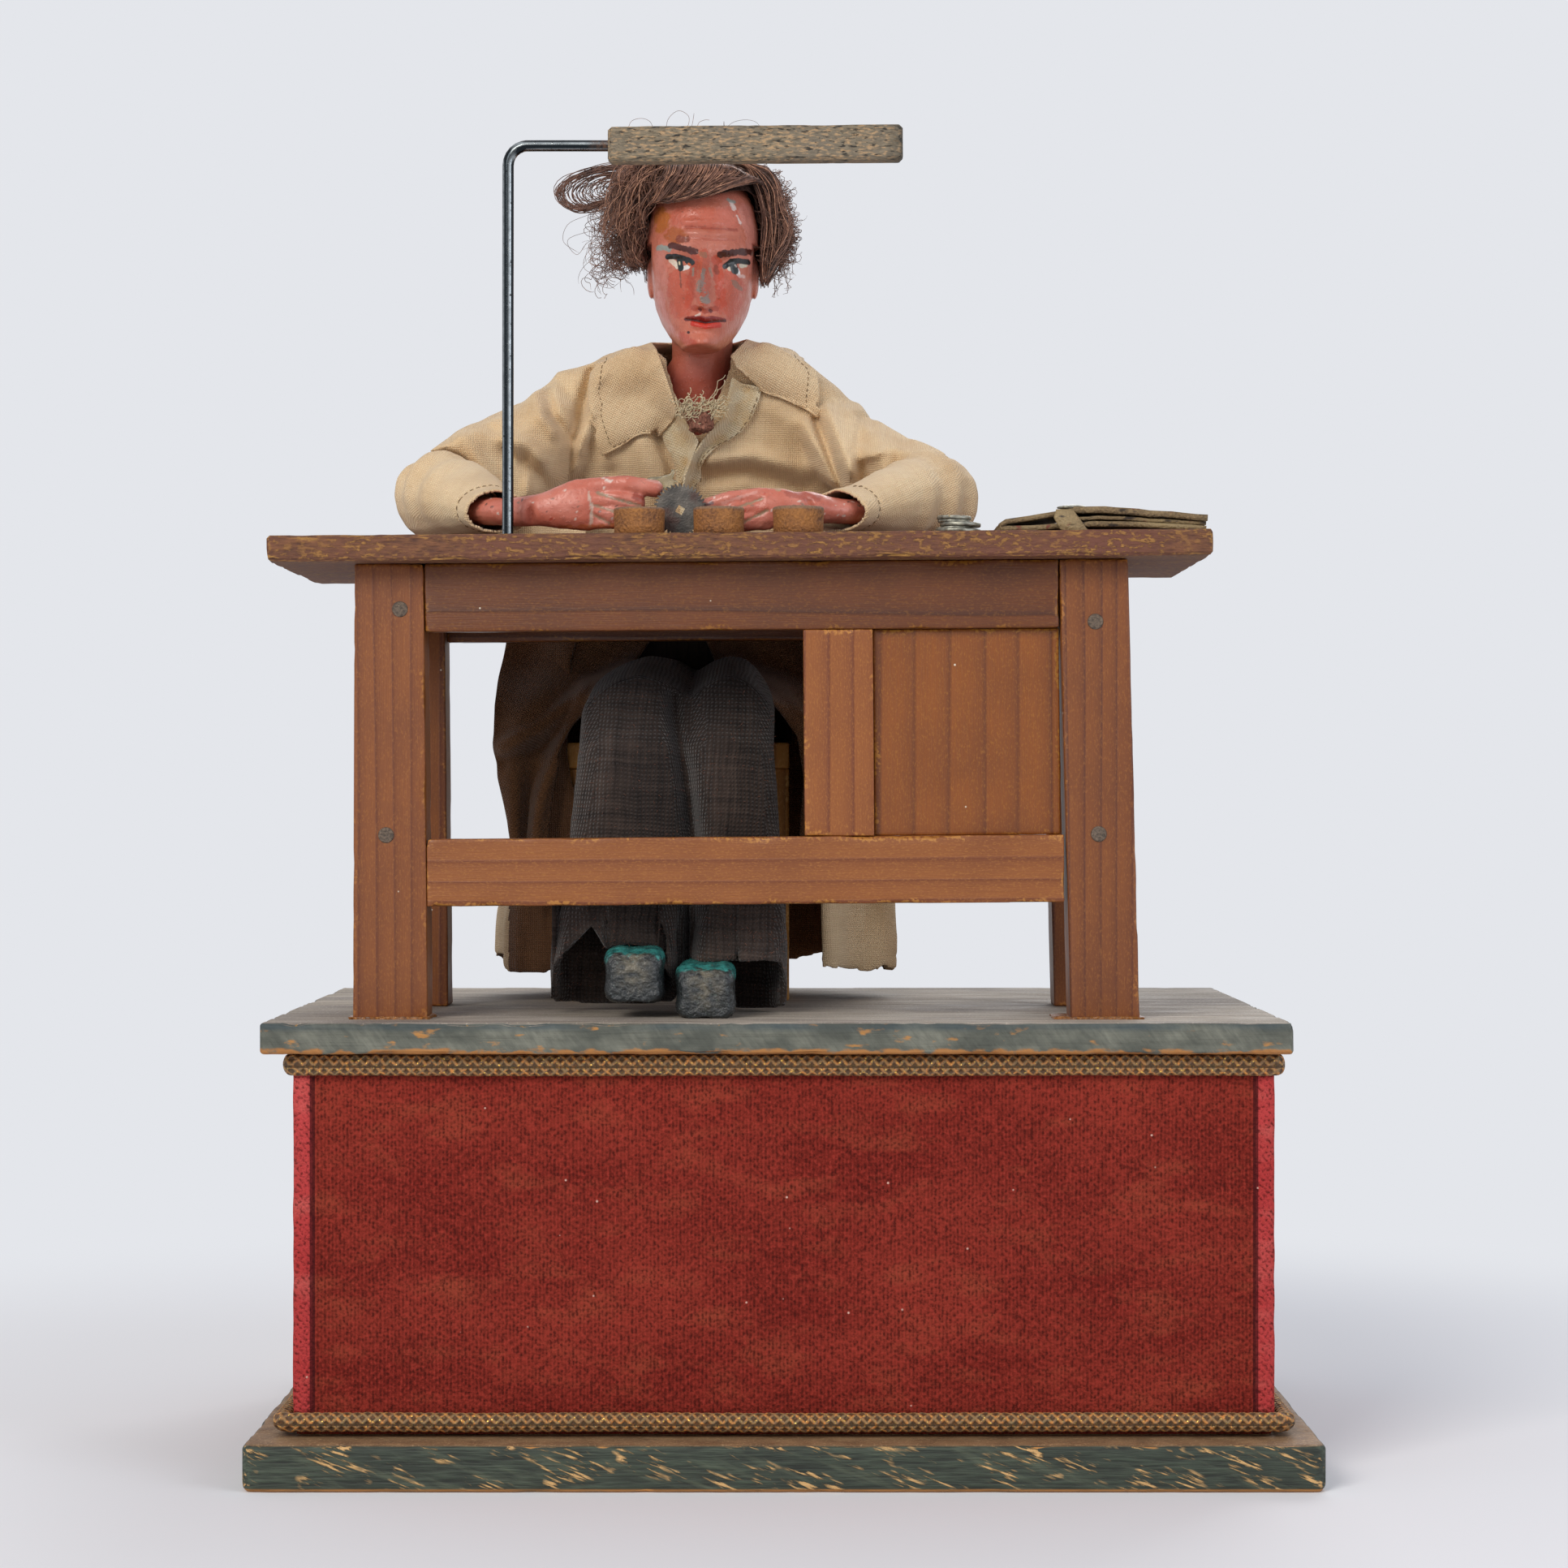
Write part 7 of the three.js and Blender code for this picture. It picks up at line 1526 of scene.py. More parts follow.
def cloth_map(form, turn=0.0):
    """Lays the threads over a form: a map in metres, read from the side that each face looks to."""
    layer = form.loops.layers.uv.new("cloth")
    right, up = math.cos(turn), math.sin(turn)
    for face in form.faces:
        facing = [abs(part) for part in face.normal]
        main = facing.index(max(facing))
        for loop in face.loops:
            co = loop.vert.co
            a, b = ((co.y, co.z), (co.x, co.z), (co.x, co.y))[main]
            loop[layer].uv = (a * right - b * up, a * up + b * right)


def woven(name, pitch, hollow_shade, thread, light, soil, soil_size=28 * mm, fuzz=0.25):
    """Plain-woven cloth: threads over and under at their pitch, with shade painted into the hollows between
    them, uneven in tone, soiled in clouds.
    """
    finish, tree, shader, place = start_finish(name)
    cloth = add_node(tree, "UVMap", uv_map="cloth")
    wander = add_node(tree, "TexNoise", {0: place, "Scale": 1 / (8 * pitch), "Detail": 2.0}, "Color")
    threads = add_node(
        tree, "VectorMath", {0: wander, 1: (1.6 * pitch,) * 3, 2: cloth}, operation="MULTIPLY_ADD"
    )
    waves = []
    for direction, size, phase in (
        ("X", pitch, math.pi), ("Y", pitch, math.pi), ("X", 2 * pitch, 0), ("Y", 2 * pitch, 0)
    ):
        waves.append(add_node(
            tree, "TexWave", {0: threads, "Scale": 0.314 / size, "Phase Offset": phase}, "Fac",
            wave_type="BANDS", bands_direction=direction,
        ))
    both = add_node(tree, "Math", {0: waves[2], 1: waves[3]}, operation="MULTIPLY")
    either = add_node(tree, "Math", {0: waves[2], 1: waves[3]}, operation="ADD")
    over = add_node(tree, "Math", {0: both, 1: -2.0, 2: either}, operation="MULTIPLY_ADD")
    dots = add_node(tree, "Math", {0: waves[0], 1: waves[1]}, operation="MULTIPLY")
    height = add_node(tree, "Math", {0: over, 1: 0.25, 2: dots}, operation="MULTIPLY_ADD")
    uneven = grains(tree, threads, 1.3 * pitch, 0.3, 0.7, 3, (1, 0.06, 1))
    uneven = add_node(
        tree, "Math", {0: uneven, 1: grains(tree, threads, 1.3 * pitch, 0.3, 0.7, 3, (0.06, 1, 1))},
        operation="ADD"
    )
    uneven = add_node(tree, "Math", {0: uneven, 1: 0.5}, operation="MULTIPLY")
    # Painted shade: the hollows between the threads take the darker colour.
    colour = blend_in(tree, add_node(tree, "MapRange", {0: height, 1: 0.04, 2: 0.5}), hollow_shade, thread)
    colour = blend_in(tree, uneven, colour, light, 0.5)
    clouds = grains(tree, place, soil_size, 0.42, 0.75, 6)
    colour = blend_in(tree, clouds, colour, soil, 0.6)
    shader.inputs["Sheen Weight"].default_value = fuzz
    shader.inputs["Sheen Roughness"].default_value = 0.5
    shader.inputs["Specular IOR Level"].default_value = 0.2
    set_surface(tree, shader, colour, 0.92, height, 0.35 * pitch)
    return finish


# Linen threads lie 0.75 mm apart here, a little coarser than the real cloth so that they show.
linen = woven("soiled unbleached linen", 0.75 * mm, "#c9a57d", "#f2d6ac", "#f8e4bc", "#c39c6c")
facing_linen = woven("frayed linen facing", 0.8 * mm, "#bda67e", "#e6d6b2", "#f2e6ca", "#cf9f52", 6 * mm)


def declare_cloth(piece):
    """Works out the area of one side of a piece's wall; the area is then not used."""
    area = sum(polygon.area for polygon in piece.data.polygons)
    if not piece.modifiers:
        area /= 2


coat_body = even_skin("coat_body", 1.2 * mm, 9)
shoulder_x = [-124, -101, -94, -88, -80, -71, -60, -46, 5, 24, 30, 34, 48, 60, 66]
shoulder_z = [0, -1.5, 1.5, 3, 0, -2.4, -1.5, 0, 0, -4.5, -7, -9, -7.5, -2.5, 0]
for vert in coat_body.verts:
    top_share = clamp((vert.co.z - 352 * mm) / (30 * mm))
    vert.co.z += float(np.interp(vert.co.x / mm, shoulder_x, shoulder_z)) * mm * top_share
spots = places_of(coat_body)
ahead = np.clip((28 * mm - spots[:, 1]) / (14 * mm), 0, 1)
creases = [
    ([(-73.9, 405), (-77, 392), (-81.6, 373), (-84, 360)], 2.4, -2.6),
    ([(-69, 402), (-73, 390), (-77, 374)], 3.2, 1.3),
    ([(-90.6, 400), (-88.4, 386), (-82.5, 379)], 2.4, -2.0),
    ([(-96, 398), (-93, 386), (-88, 379.5)], 3.0, 1.5),
    ([(-98, 368), (-91, 359), (-85, 352)], 4.0, -2.6), ([(-106, 376), (-98, 374), (-92, 368)], 3.5, 1.4),
    ([(-116, 384), (-108, 378), (-104, 370)], 3.0, -1.2), ([(-124, 380), (-117, 372), (-112, 362)], 3.5, 1.0),
    ([(12.4, 386), (16, 374), (21.4, 361.6), (23, 352)], 2.4, -2.8),
    ([(17, 390), (20, 378), (25.5, 364)], 3.0, 1.6),
    ([(7, 384), (12, 373), (17, 360)], 3.2, 1.1), ([(30, 386), (28, 373), (31, 362)], 2.6, -1.5),
    ([(37, 386), (35, 374), (38, 362)], 3.4, 1.2), ([(48, 378), (43, 368), (42, 358)], 3.0, -1.2),
    ([(-31, 364), (-15, 366), (7, 359.5)], 3.6, -2.2), ([(-28, 370), (-12, 372), (9, 366)], 3.8, 1.3),
    ([(-48, 380), (-43, 367), (-41.5, 356)], 2.6, -2.4), ([(-55, 376), (-52, 362), (-52, 350)], 4.0, 1.0),
    ([(-66, 366), (-62, 352), (-60, 340)], 3.6, -1.4), ([(-10, 352), (-4, 342), (0, 330)], 4.0, -1.2),
    ([(-20, 395), (-4, 389), (8, 382)], 5.0, 0.9), ([(4, 352), (10, 344)], 4.0, 1.0),
]
lift = line_lift(spots[:, [0, 2]], [(line, wide * 0.85, high) for line, wide, high in creases]) * ahead * 2.5
behind = [
    ([(-90, 392), (-80, 376), (-74, 352)], 4, -2.0), ([(24, 392), (14, 376), (8, 352)], 4, -2.0),
    ([(-60, 398), (-56, 370), (-60, 320)], 5, 1.4), ([(-8, 398), (-12, 370), (-8, 320)], 5, 1.4),
    ([(-46, 392), (-33, 384), (-20, 392)], 4, -1.2), ([(-33, 370), (-31, 320)], 5, 1.0),
    ([(-76, 345), (-50, 338), (-20, 340), (6, 346)], 4, -1.2),
]
at_back = np.clip((spots[:, 1] - 45 * mm) / (16 * mm), 0, 1)
lift_back = line_lift(spots[:, [0, 2]], behind) * at_back
for vert, rise, rear in zip(coat_body.verts, lift, lift_back):
    co = vert.co.copy()
    soft = 0.9 * mm * noise.noise(co * 34) + 0.35 * mm * noise.noise(co * 95)
    out = Vector((co.x + 33 * mm, co.y - 25 * mm, 0)).normalized()
    vert.co += Vector((0, rear - rise, 0)) + out * soft
    by_neck = (co - Vector((-42, 6, 394.5)) * mm).length / (6 * mm)
    vert.co += Vector((-0.7, -1.1, 0)) * mm * math.exp(-(by_neck ** 2))
    if co.z > 388 * mm and abs(co.x - 29.5 * mm) < 7 * mm:
        vert.co.z += 2.0 * mm * math.exp(-(((co.x - 29.5 * mm) / (3 * mm)) ** 2))
coat_body.normal_update()
cloth_map(coat_body)
coat_shape = BVHTree.FromBMesh(coat_body)
coat = link_piece("coat_body_linen", coat_body, linen)
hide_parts("coat_body")
declare_cloth(coat)


def part_way(points, share):
    """The place at a share of the way along a line of points."""
    at = share * (len(points) - 1)
    first = min(int(at), len(points) - 2)
    return Vector(points[first]).lerp(Vector(points[first + 1]), at - first)


def seen_from_front(shape, x, z, start):
    """Where a ray from in front meets a shape, and the way it faces there. All in metres."""
    return shape.ray_cast(Vector((x, start, z)), Vector((0, 1, 0)))[:2]


def laid_band(name, inner, outer, finish, along, across, stand, edge_lift, thick, groove=0.12):
    """A strip of cloth lofted between two edges and laid on the coat, with a stitched, turned edge."""
    form = bmesh.new()
    rows = []
    for step in range(along + 1):
        first, last = part_way(inner, step / along) * mm, part_way(outer, step / along) * mm
        row = []
        for cell in range(across + 1):
            over = cell / across
            guess = first.lerp(last, over)
            hit, facing = seen_from_front(coat_shape, guess.x, guess.z, -60 * mm)
            if hit is None or abs(hit.y - guess.y) > 13 * mm or guess.y > 22 * mm:
                hit, facing, _, away = coat_shape.find_nearest(guess)
            else:
                away = abs(hit.y - guess.y) / 2
            hold = min(1.0, over / 0.3)
            if hit is None or away > 9 * mm:
                spot = guess
            else:
                out = Vector((guess.x + 33 * mm, guess.y - 22 * mm, 12 * mm)).normalized()
                facing = facing if facing.dot(out) > 0 else out
                spot = guess.lerp(hit + facing * (stand + edge_lift * over * over) * mm, hold)
            spot += Vector((0, -1, 0.3)) * 0.5 * mm * noise.noise(guess * 70)
            row.append(form.verts.new(spot))
        rows.append(row)
    join_rows(form, rows)
    smooth_form(form, 4, verts=[v for v in form.verts if not v.is_boundary])
    form.normal_update()
    for row in rows:
        for cell in range(across + 1):
            over = cell / across
            if abs(over - (1 - groove)) < 0.035:
                row[cell].co -= row[cell].normal * 0.3 * mm * (1 if row[cell].normal.y < 0 else -1)
    cloth_map(form, 0.5)
    seam = []
    for row in rows[3:-3]:
        vert = row[round(across * (1 - groove))]
        outward = Vector((vert.co.x + 33 * mm, vert.co.y - 25 * mm, 12 * mm))
        facing = vert.normal if vert.normal.dot(outward) > 0 else -vert.normal
        seam.append((vert.co + facing * thick * 0.5 * mm, facing.copy()))
    band = link_piece(name, form, finish)
    give_wall(band, thick, 0)
    soft = band.modifiers.new("soft edges", "SUBSURF")
    soft.levels = 1
    soft.render_levels = 1
    return band, seam


collar_in = [
    (-40.5, -4, 387.5), (-42.5, -6, 393), (-44.5, -7, 400), (-46.6, -7, 406.5), (-48.4, -3, 411.5),
    (-50.5, 6, 415), (-45, 20, 416.5),
    (-33, 25, 417), (-20, 20, 416.5), (-14.5, 6, 416), (-17, -2, 412.5), (-20.5, -6, 408.5),
    (-18.5, -7, 404.8), (-15.2, -7, 402.5),
]
collar_out = [
    (-46.2, -2, 380.5), (-55, 1, 379.2), (-69.2, 0, 372.7), (-73.4, 6, 387), (-71.8, 12, 402.5),
    (-66, 24, 408), (-56, 44, 404),
    (-33, 50, 399), (-9, 44, 404), (2, 24, 409.5), (11.2, 10, 402.5), (12.8, 3, 387.1), (1.5, 0, 392.5),
    (-8.5, -4, 398.6),
]
collar, collar_seam = laid_band("coat_collar", collar_in, collar_out, linen, 150, 22, 1.7, 1.0, 1.1)
declare_cloth(collar)
placket_in = [
    (-19.8, -6, 400.4), (-21.6, -5, 392.5), (-24.2, -4, 385), (-30.2, -2, 378), (-34.6, 0, 371.6),
    (-37.6, 2, 365), (-39.4, 3, 357), (-40, 3, 346)
]
placket_out = [
    (-8.6, -4, 398.8), (-9.8, -3, 392.5), (-12.2, -2, 387), (-16.4, 0, 381), (-24.2, 1, 375.4),
    (-31.6, 2, 368.6), (-35.4, 3, 358), (-36, 3, 346)
]
placket, placket_seam = laid_band(
    "coat_front_facing", placket_in, placket_out, facing_linen, 70, 12, 1.6, 0.3, 1.0
)
declare_cloth(placket)
under_in = [
    (-41.2, -5, 393), (-39.6, -4, 387), (-35.6, -3, 381), (-32.6, -2, 376.5), (-35, 0, 370.5), (-38, 2, 363)
]
under_out = [
    (-46.8, -5, 392), (-46.6, -3, 384), (-45, -1, 377), (-41.8, 0, 371), (-40.4, 1, 365.5), (-40.8, 2, 359)
]
under, _ = laid_band("coat_under_facing", under_in, under_out, facing_linen, 46, 12, 0.8, 0.3, 1.0)
declare_cloth(under)

# Sleeves. Each lower sleeve is sewn to the coat at the elbow, gathers there in creases, and ends
# in a wide turned-up hem with a row of stitches.
bench_z = 337.5 * mm
elbows = {"left": Vector((-128, -24, 353)) * mm, "right": Vector((55, -24, 353)) * mm}
cuffs = {"left": Vector((-104, -71, 347.6)) * mm, "right": Vector((20, -71, 348.6)) * mm}
thread_finish, tree, shader, place = start_finish("waxed linen thread")
twist = grains(tree, place, 0.4 * mm, 0.3, 0.7, 2)
set_surface(tree, shader, blend_in(tree, twist, "#6e5a3e", "#94795a"), 0.8, twist, 0.1 * mm)


def stitch_row(name, path, length, space, body, thickness=0.2 * mm):
    """A row of hand stitches along a path of points: short threads with their ends sunk in the cloth."""
    stitches = []
    run, due = 0.0, 0.0
    for first, second in zip(path, path[1:]):
        span = (second[0] - first[0]).length
        while due < run + span:
            at = (due - run) / span
            spot, out = first[0].lerp(second[0], at), first[1]
            ahead_by = (second[0] - first[0]).normalized() * length
            bow = ((0, -0.1), (0.25, 0.14), (0.75, 0.14), (1, -0.1))
            stitches.append([spot + ahead_by * share + out * rise * mm for share, rise in bow])
            due += space
        run += span
    tubes(name, stitches, thickness, thread_finish, body, 1)


stitch_row("collar_stitches", collar_seam, 1.3 * mm, 2.2 * mm, "display_base", thickness=0.16 * mm)
stitch_row("facing_stitches", placket_seam, 1.6 * mm, 2.6 * mm, "display_base", thickness=0.16 * mm)
for side, sign in (("left", -1), ("right", 1)):
    node = "forearm_sleeve_" + side
    elbow, cuff = elbows[side], cuffs[side]
    axis = (cuff - elbow).normalized()
    reach = (cuff - elbow).length
    form = even_skin(node, 0.95 * mm, 6)
    for vert in form.verts:
        share = clamp((vert.co - elbow).dot(axis) / reach)
        vert.co.z = bench_z + (vert.co.z - bench_z) * (1 - (0.36 if side == "left" else 0.4) * share ** 1.6)
    inner = []
    for face in form.faces:
        middle = face.calc_center_median() - elbow
        along = middle.dot(axis)
        out = (middle - axis * along).normalized()
        if along > reach - 20 * mm and face.normal.dot(out) < 0.3:
            inner.append(face)
    bmesh.ops.delete(form, geom=inner, context="FACES")
    for vert in form.verts:
        off = vert.co - elbow
        along = off.dot(axis)
        off -= axis * along
        out = off.normalized() if off.length > 1e-6 else Vector((0, 0, 1))
        turned = math.atan2(off.z, off.dot(axis.cross(Vector((0, 0, 1)))))
        near_elbow = max(0.0, 1 - max(0.0, along) / (34 * mm))
        crease = math.sin(
            along / (4.6 * mm) * 2 + 2.2 * math.sin(turned + sign)
        ) * near_elbow * (0.6 + 0.4 * math.sin(turned * 2))
        drape = noise.noise(vert.co * 42) * 0.8 + noise.noise(vert.co * 110) * 0.3
        vert.co += out * (crease * 1.6 + drape * 1.2) * mm
        flare = max(0.0, (along - reach + 9 * mm) / (9 * mm))
        vert.co += (out * 1.1 + axis * (1.6 + 1.2 * noise.noise(vert.co * 90))) * mm * flare * flare
        if abs(along - (reach - 7.5 * mm)) < 0.9 * mm:
            vert.co -= out * 0.35 * mm
    form.normal_update()
    cloth_map(form, math.atan2(axis.x, -axis.y) * 0.8)
    skin = BVHTree.FromBMesh(form)
    body = "forearm_" + side
    sleeve = link_piece("sleeve_" + side + "_linen", form, linen, body)
    give_wall(sleeve, 0.9)
    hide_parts(node)
    declare_cloth(sleeve)
    ring = []
    middle = elbow + axis * (reach - 7.5 * mm)
    cross = axis.cross(Vector((0, 0, 1))).normalized()
    for step in range(73):
        turned = 2 * math.pi * step / 72
        ray = cross * math.cos(turned) + Vector((0, 0, 1)) * math.sin(turned)
        hit, facing, _, _ = skin.ray_cast(middle + ray * 40 * mm, -ray)
        if hit is not None:
            ring.append((hit, ray))
    stitch_row("cuff_stitches_" + side, ring, 1.5 * mm, 2.6 * mm, body)

# Skirt of the coat. Linen browned by dirt and darkened further as painted shade, hung from the
# waist over the stool and open in front. Its back and the lower ends of its flaps are as pale as
# the coat, and its hem is turned.
linen_dirt_and_painted_shade = woven("linen browned by dirt and painted shade", 0.8 * mm, "#523721", "#755033", "#8d6340", "#563823", 22 * mm)
skirt_form = even_skin("coat_skirt", 1.5 * mm, 7)
for vert in skirt_form.verts:
    co = vert.co
    turned = math.atan2(co.x + 36 * mm, co.y - 60 * mm)
    down = max(0.0, (300 * mm - co.z) / (130 * mm))
    out = Vector((math.sin(turned), math.cos(turned), 0))
    hang = math.sin(turned * 9 + 1.4 * noise.noise(Vector((turned * 2, co.z * 8, 1)))) * 1.5 * down
    vert.co += out * (hang + noise.noise(co * 26) * 1.0 * down + noise.noise(co * 80) * 0.35) * mm
    if co.x < -60 * mm:
        vert.co.x += 7 * mm * math.exp(-(((co.z - 224 * mm) / (20 * mm)) ** 2))
    if co.z > 296 * mm:
        vert.co.z += 5 * mm
        vert.co -= out * 1.5 * mm
    if abs(co.z - 180 * mm - 2 * mm * noise.noise(co * 30)) < 0.9 * mm:
        vert.co -= out * 0.3 * mm
flap_low = {}
for vert in skirt_form.verts:
    if vert.co.x > 0 and vert.co.y < 75 * mm:
        column = round(vert.co.x / (1.5 * mm))
        flap_low[column] = min(flap_low.get(column, 1.0), vert.co.z)
for vert in skirt_form.verts:
    column = round(vert.co.x / (1.5 * mm))
    if vert.co.x > 0 and vert.co.y < 75 * mm and vert.co.z < 192 * mm:
        hem = float(
            np.interp(vert.co.x / mm, [0, 6, 14, 32, 42, 46], [181, 178.5, 175.5, 172.4, 171.8, 173])
        ) * mm
        vert.co.z += (hem - flap_low[column]) * (192 * mm - vert.co.z) / (192 * mm - flap_low[column])
for _ in range(3):
    smooth_form(skirt_form, 1, "yz", [v for v in skirt_form.verts if v.co.x > -2 * mm and v.co.z < 190 * mm])
skirt_form.normal_update()
cloth_map(skirt_form)
skirt = link_piece("coat_skirt_linen", skirt_form, linen_dirt_and_painted_shade)
# Faces that look out at the back and the lower ends of the flaps take the pale linen; the rest keeps the dirt
# and painted shade.
skirt.data.materials.append(linen)
for polygon in skirt.data.polygons:
    turned_out = Vector(
        (polygon.center.x + 36 * mm, polygon.center.y - 40 * mm, 0)
    ).normalized().dot(polygon.normal)
    if turned_out > 0.25 and polygon.center.y > 30 * mm:
        polygon.material_index = 1
    if (
        polygon.center.z < 202 * mm and (polygon.center.x > 2 * mm or polygon.center.x < -107 * mm)
        and polygon.center.y < 60 * mm
    ):
        polygon.material_index = 1
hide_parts("coat_skirt")
declare_cloth(skirt)

# Bench fall. Under each arm the linen of the blouse rests on the bench in a crumpled fold, made as
# a strip of its own.
for name, points in (
    ("coat_fold_left", [(-126, 2), (-114, -2), (-104, 3), (-96, 0), (-86, 5), (-76, 9)]),
    ("coat_fold_right", [(2, 9), (14, 6), (26, 3), (38, 1), (50, 3)]),
):
    form = bmesh.new()
    rows = []
    steps = 60
    for step in range(steps + 1):
        x, y = part_way(points, step / steps)
        row = []
        for cell in range(15):
            up = cell / 14
            crumple = (
                1.4 * noise.noise(Vector((x * 0.09, up * 1.6, 3)))
                + 0.5 * noise.noise(Vector((x * 0.3, up * 4, 3)))
            )
            row.append(
                form.verts.new(Vector((x, y + 6 * up * up + crumple, 336.4 + 19 * up + 0.4 * crumple)) * mm)
            )
        rows.append(row)
    join_rows(form, rows, True)
    form.normal_update()
    cloth_map(form)
    fold = link_piece(name, form, linen)
    give_wall(fold, 0.9)
    declare_cloth(fold)

# Neck tuft. A ball of reddish brown hair tied at the throat, with loose cream threads that stand
# off it.
fluff, tree, shader, place = start_finish("reddish brown hair tuft")
tone = grains(tree, place, 0.7 * mm, 0.3, 0.7, 4, (1, 1, 0.3))
set_surface(tree, shader, blend_in(tree, tone, "#4e2a20", "#a06a55"), 0.8, tone, 0.4 * mm)
form = bmesh.new()
knot = Vector((-31.4, -8.5, 383.2)) * mm
spot = Matrix.Translation(knot) @ Matrix.Diagonal((4.9, 3.2, 4.6, 1))
bmesh.ops.create_icosphere(form, subdivisions=5, radius=mm, matrix=spot)
for vert in form.verts:
    vert.co += (vert.co - knot).normalized() * (
        noise.noise(vert.co * 300) * 1.5 + noise.noise(vert.co * 1100) * 0.7
    ) * mm
link_piece("neck_tuft", form, fluff)
pale_thread, tree, shader, place = start_finish("loose cream thread")
tone = grains(tree, place, 0.6 * mm, 0.3, 0.7, 2)
set_surface(tree, shader, blend_in(tree, tone, "#b9a67e", "#e2d6b8"), 0.85, tone, 0.1 * mm)
threads = []
for number in range(90):
    start = Vector((between(-40, -27), -9.5, between(384, 390))) * mm
    tip = start + Vector((between(-4, 9), between(-2, 1), between(-3, 5))) * mm
    if number < 4:
        tip = start + Vector((between(3, 7), -1, between(7, 12))) * mm
    threads.append(
        waved(
            [start / mm, (start.lerp(tip, 0.5) + Vector((0, -1.5 * mm, mm))) / mm, tip / mm], 10, 0.6, 2,
            between(0, 6)
        )
    )
tubes("neck_threads", threads, 0.17 * mm, pale_thread)

# Forearms. Lime wood carved as one piece with the hand and painted like the head. The paint is
# chipped white and dark, and olive dust lies in the grooves between the fingers.
hand_marks = {
    "left": [
        ([(-67, 350), (-60, 347.4), (-51.6, 345.3)], 0.55, "#8a8068", 0.6, 0.85),
        ([(-69, 345.6), (-60, 342.7)], 0.5, "#8a8068", 0.6, 0.8),
        ([(-69, 342.4), (-62, 338.6)], 0.5, "#8a8068", 0.6, 0.8),
        ([(-70, 350), (-68.5, 344), (-69.5, 338)], 0.6, "#cdbfae", 1.0, 0.7),
        ([(-53, 348.4), (-48, 347.2)], 1.5, "#7d2f26", 0.5, 0.7),
        ([(-63.6, 354.2), (-62.6, 353.8)], 0.7, "#d9cfc4", 0.7, 0.9),
        ([(-43.4, 350.8), (-42.4, 350.2)], 0.9, "#5a5a62", 0.6, 0.9),
        ([(-60, 337.6), (-84, 336.8)], 1.2, "#b4602f", 0.7, 0.7),
        ([(-49, 354.6), (-44, 353.4)], 0.6, "#dba79b", 0.6, 0.8),
    ],
    "right": [
        ([(-8, 347.7), (-19.4, 343.5)], 0.5, "#8d8468", 0.6, 0.85),
        ([(-5.9, 343.5), (-14.2, 339.4)], 0.5, "#8d8468", 0.6, 0.8),
        ([(-10, 350.2), (-22, 346.2)], 0.5, "#d99d90", 0.7, 0.8),
        ([(-29, 345), (-26, 346.4)], 0.8, "#5a5a60", 0.6, 0.8),
        ([(2, 350), (12, 348)], 1.6, "#93463a", 0.7, 0.6),
        ([(-3, 351.4), (-1.6, 351)], 0.5, "#a89a7a", 0.6, 0.8),
    ],
}
for side in ("left", "right"):
    form = even_skin("forearm_" + side, 0.6 * mm, 3)
    wrist = Vector((-90, -79.5, 345) if side == "left" else (8, -79.5, 346)) * mm
    for vert in form.verts:
        if side == "right":
            flatter = 0.4 * clamp(vert.co.x / (20 * mm))
        else:
            flatter = 0.34 * clamp((-75 * mm - vert.co.x) / (25 * mm))
        vert.co.z = bench_z + (vert.co.z - bench_z) * (1 - flatter)
    smooth_form(form, 45, verts=[v for v in form.verts if (v.co - wrist).length < 15 * mm])
    form.normal_update()
    spots = places_of(form)
    front = np.array([max(0.0, -v.normal.y) for v in form.verts])
    flat = spots[:, [0, 2]]
    grooves = [mark for mark in hand_marks[side] if mark[2] in ("#8a8068", "#8d8468")]
    cuts = line_lift(flat, [(mark[0], mark[1] * 1.3, -0.55) for mark in grooves])
    for vert, rise in zip(form.verts, cuts * front):
        knife = 0.22 * noise.noise(vert.co * 190) + 0.09 * noise.noise(vert.co * 700)
        vert.co += Vector((0, -rise, 0)) + vert.normal * knife * mm
    base = mottled(spots, "#c46e5a", "#d48a79", 120, 1.4, 0.4, 0.6)
    base = lay_over(base, 0.6 * np.clip((spots[:, 1] + 66 * mm) / (14 * mm), 0, 1), "#8c3a30")
    chips = []
    low, high = spots.min(axis=0) / mm, spots.max(axis=0) / mm
    for _ in range(64):
        x, z = between(low[0], high[0]), between(low[2], high[2])
        tone = random.choice(["#dccfc3", "#e4d8cc", "#4c3a34", "#7a6a58", "#b24030"])
        chips.append(
            ([(x, z), (x + between(-0.8, 0.8), z + between(-0.5, 0.5))], between(0.14, 0.38), tone, 0.8, 0.85)
        )
    painted = brushed(flat, base, chips + hand_marks[side], 9)
    paint_points(form, lay_over(base, np.clip(front * 3, 0, 1), painted))
    arm = link_piece("forearm_" + side + "_carved", form, flesh, "forearm_" + side)
    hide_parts("forearm_" + side)

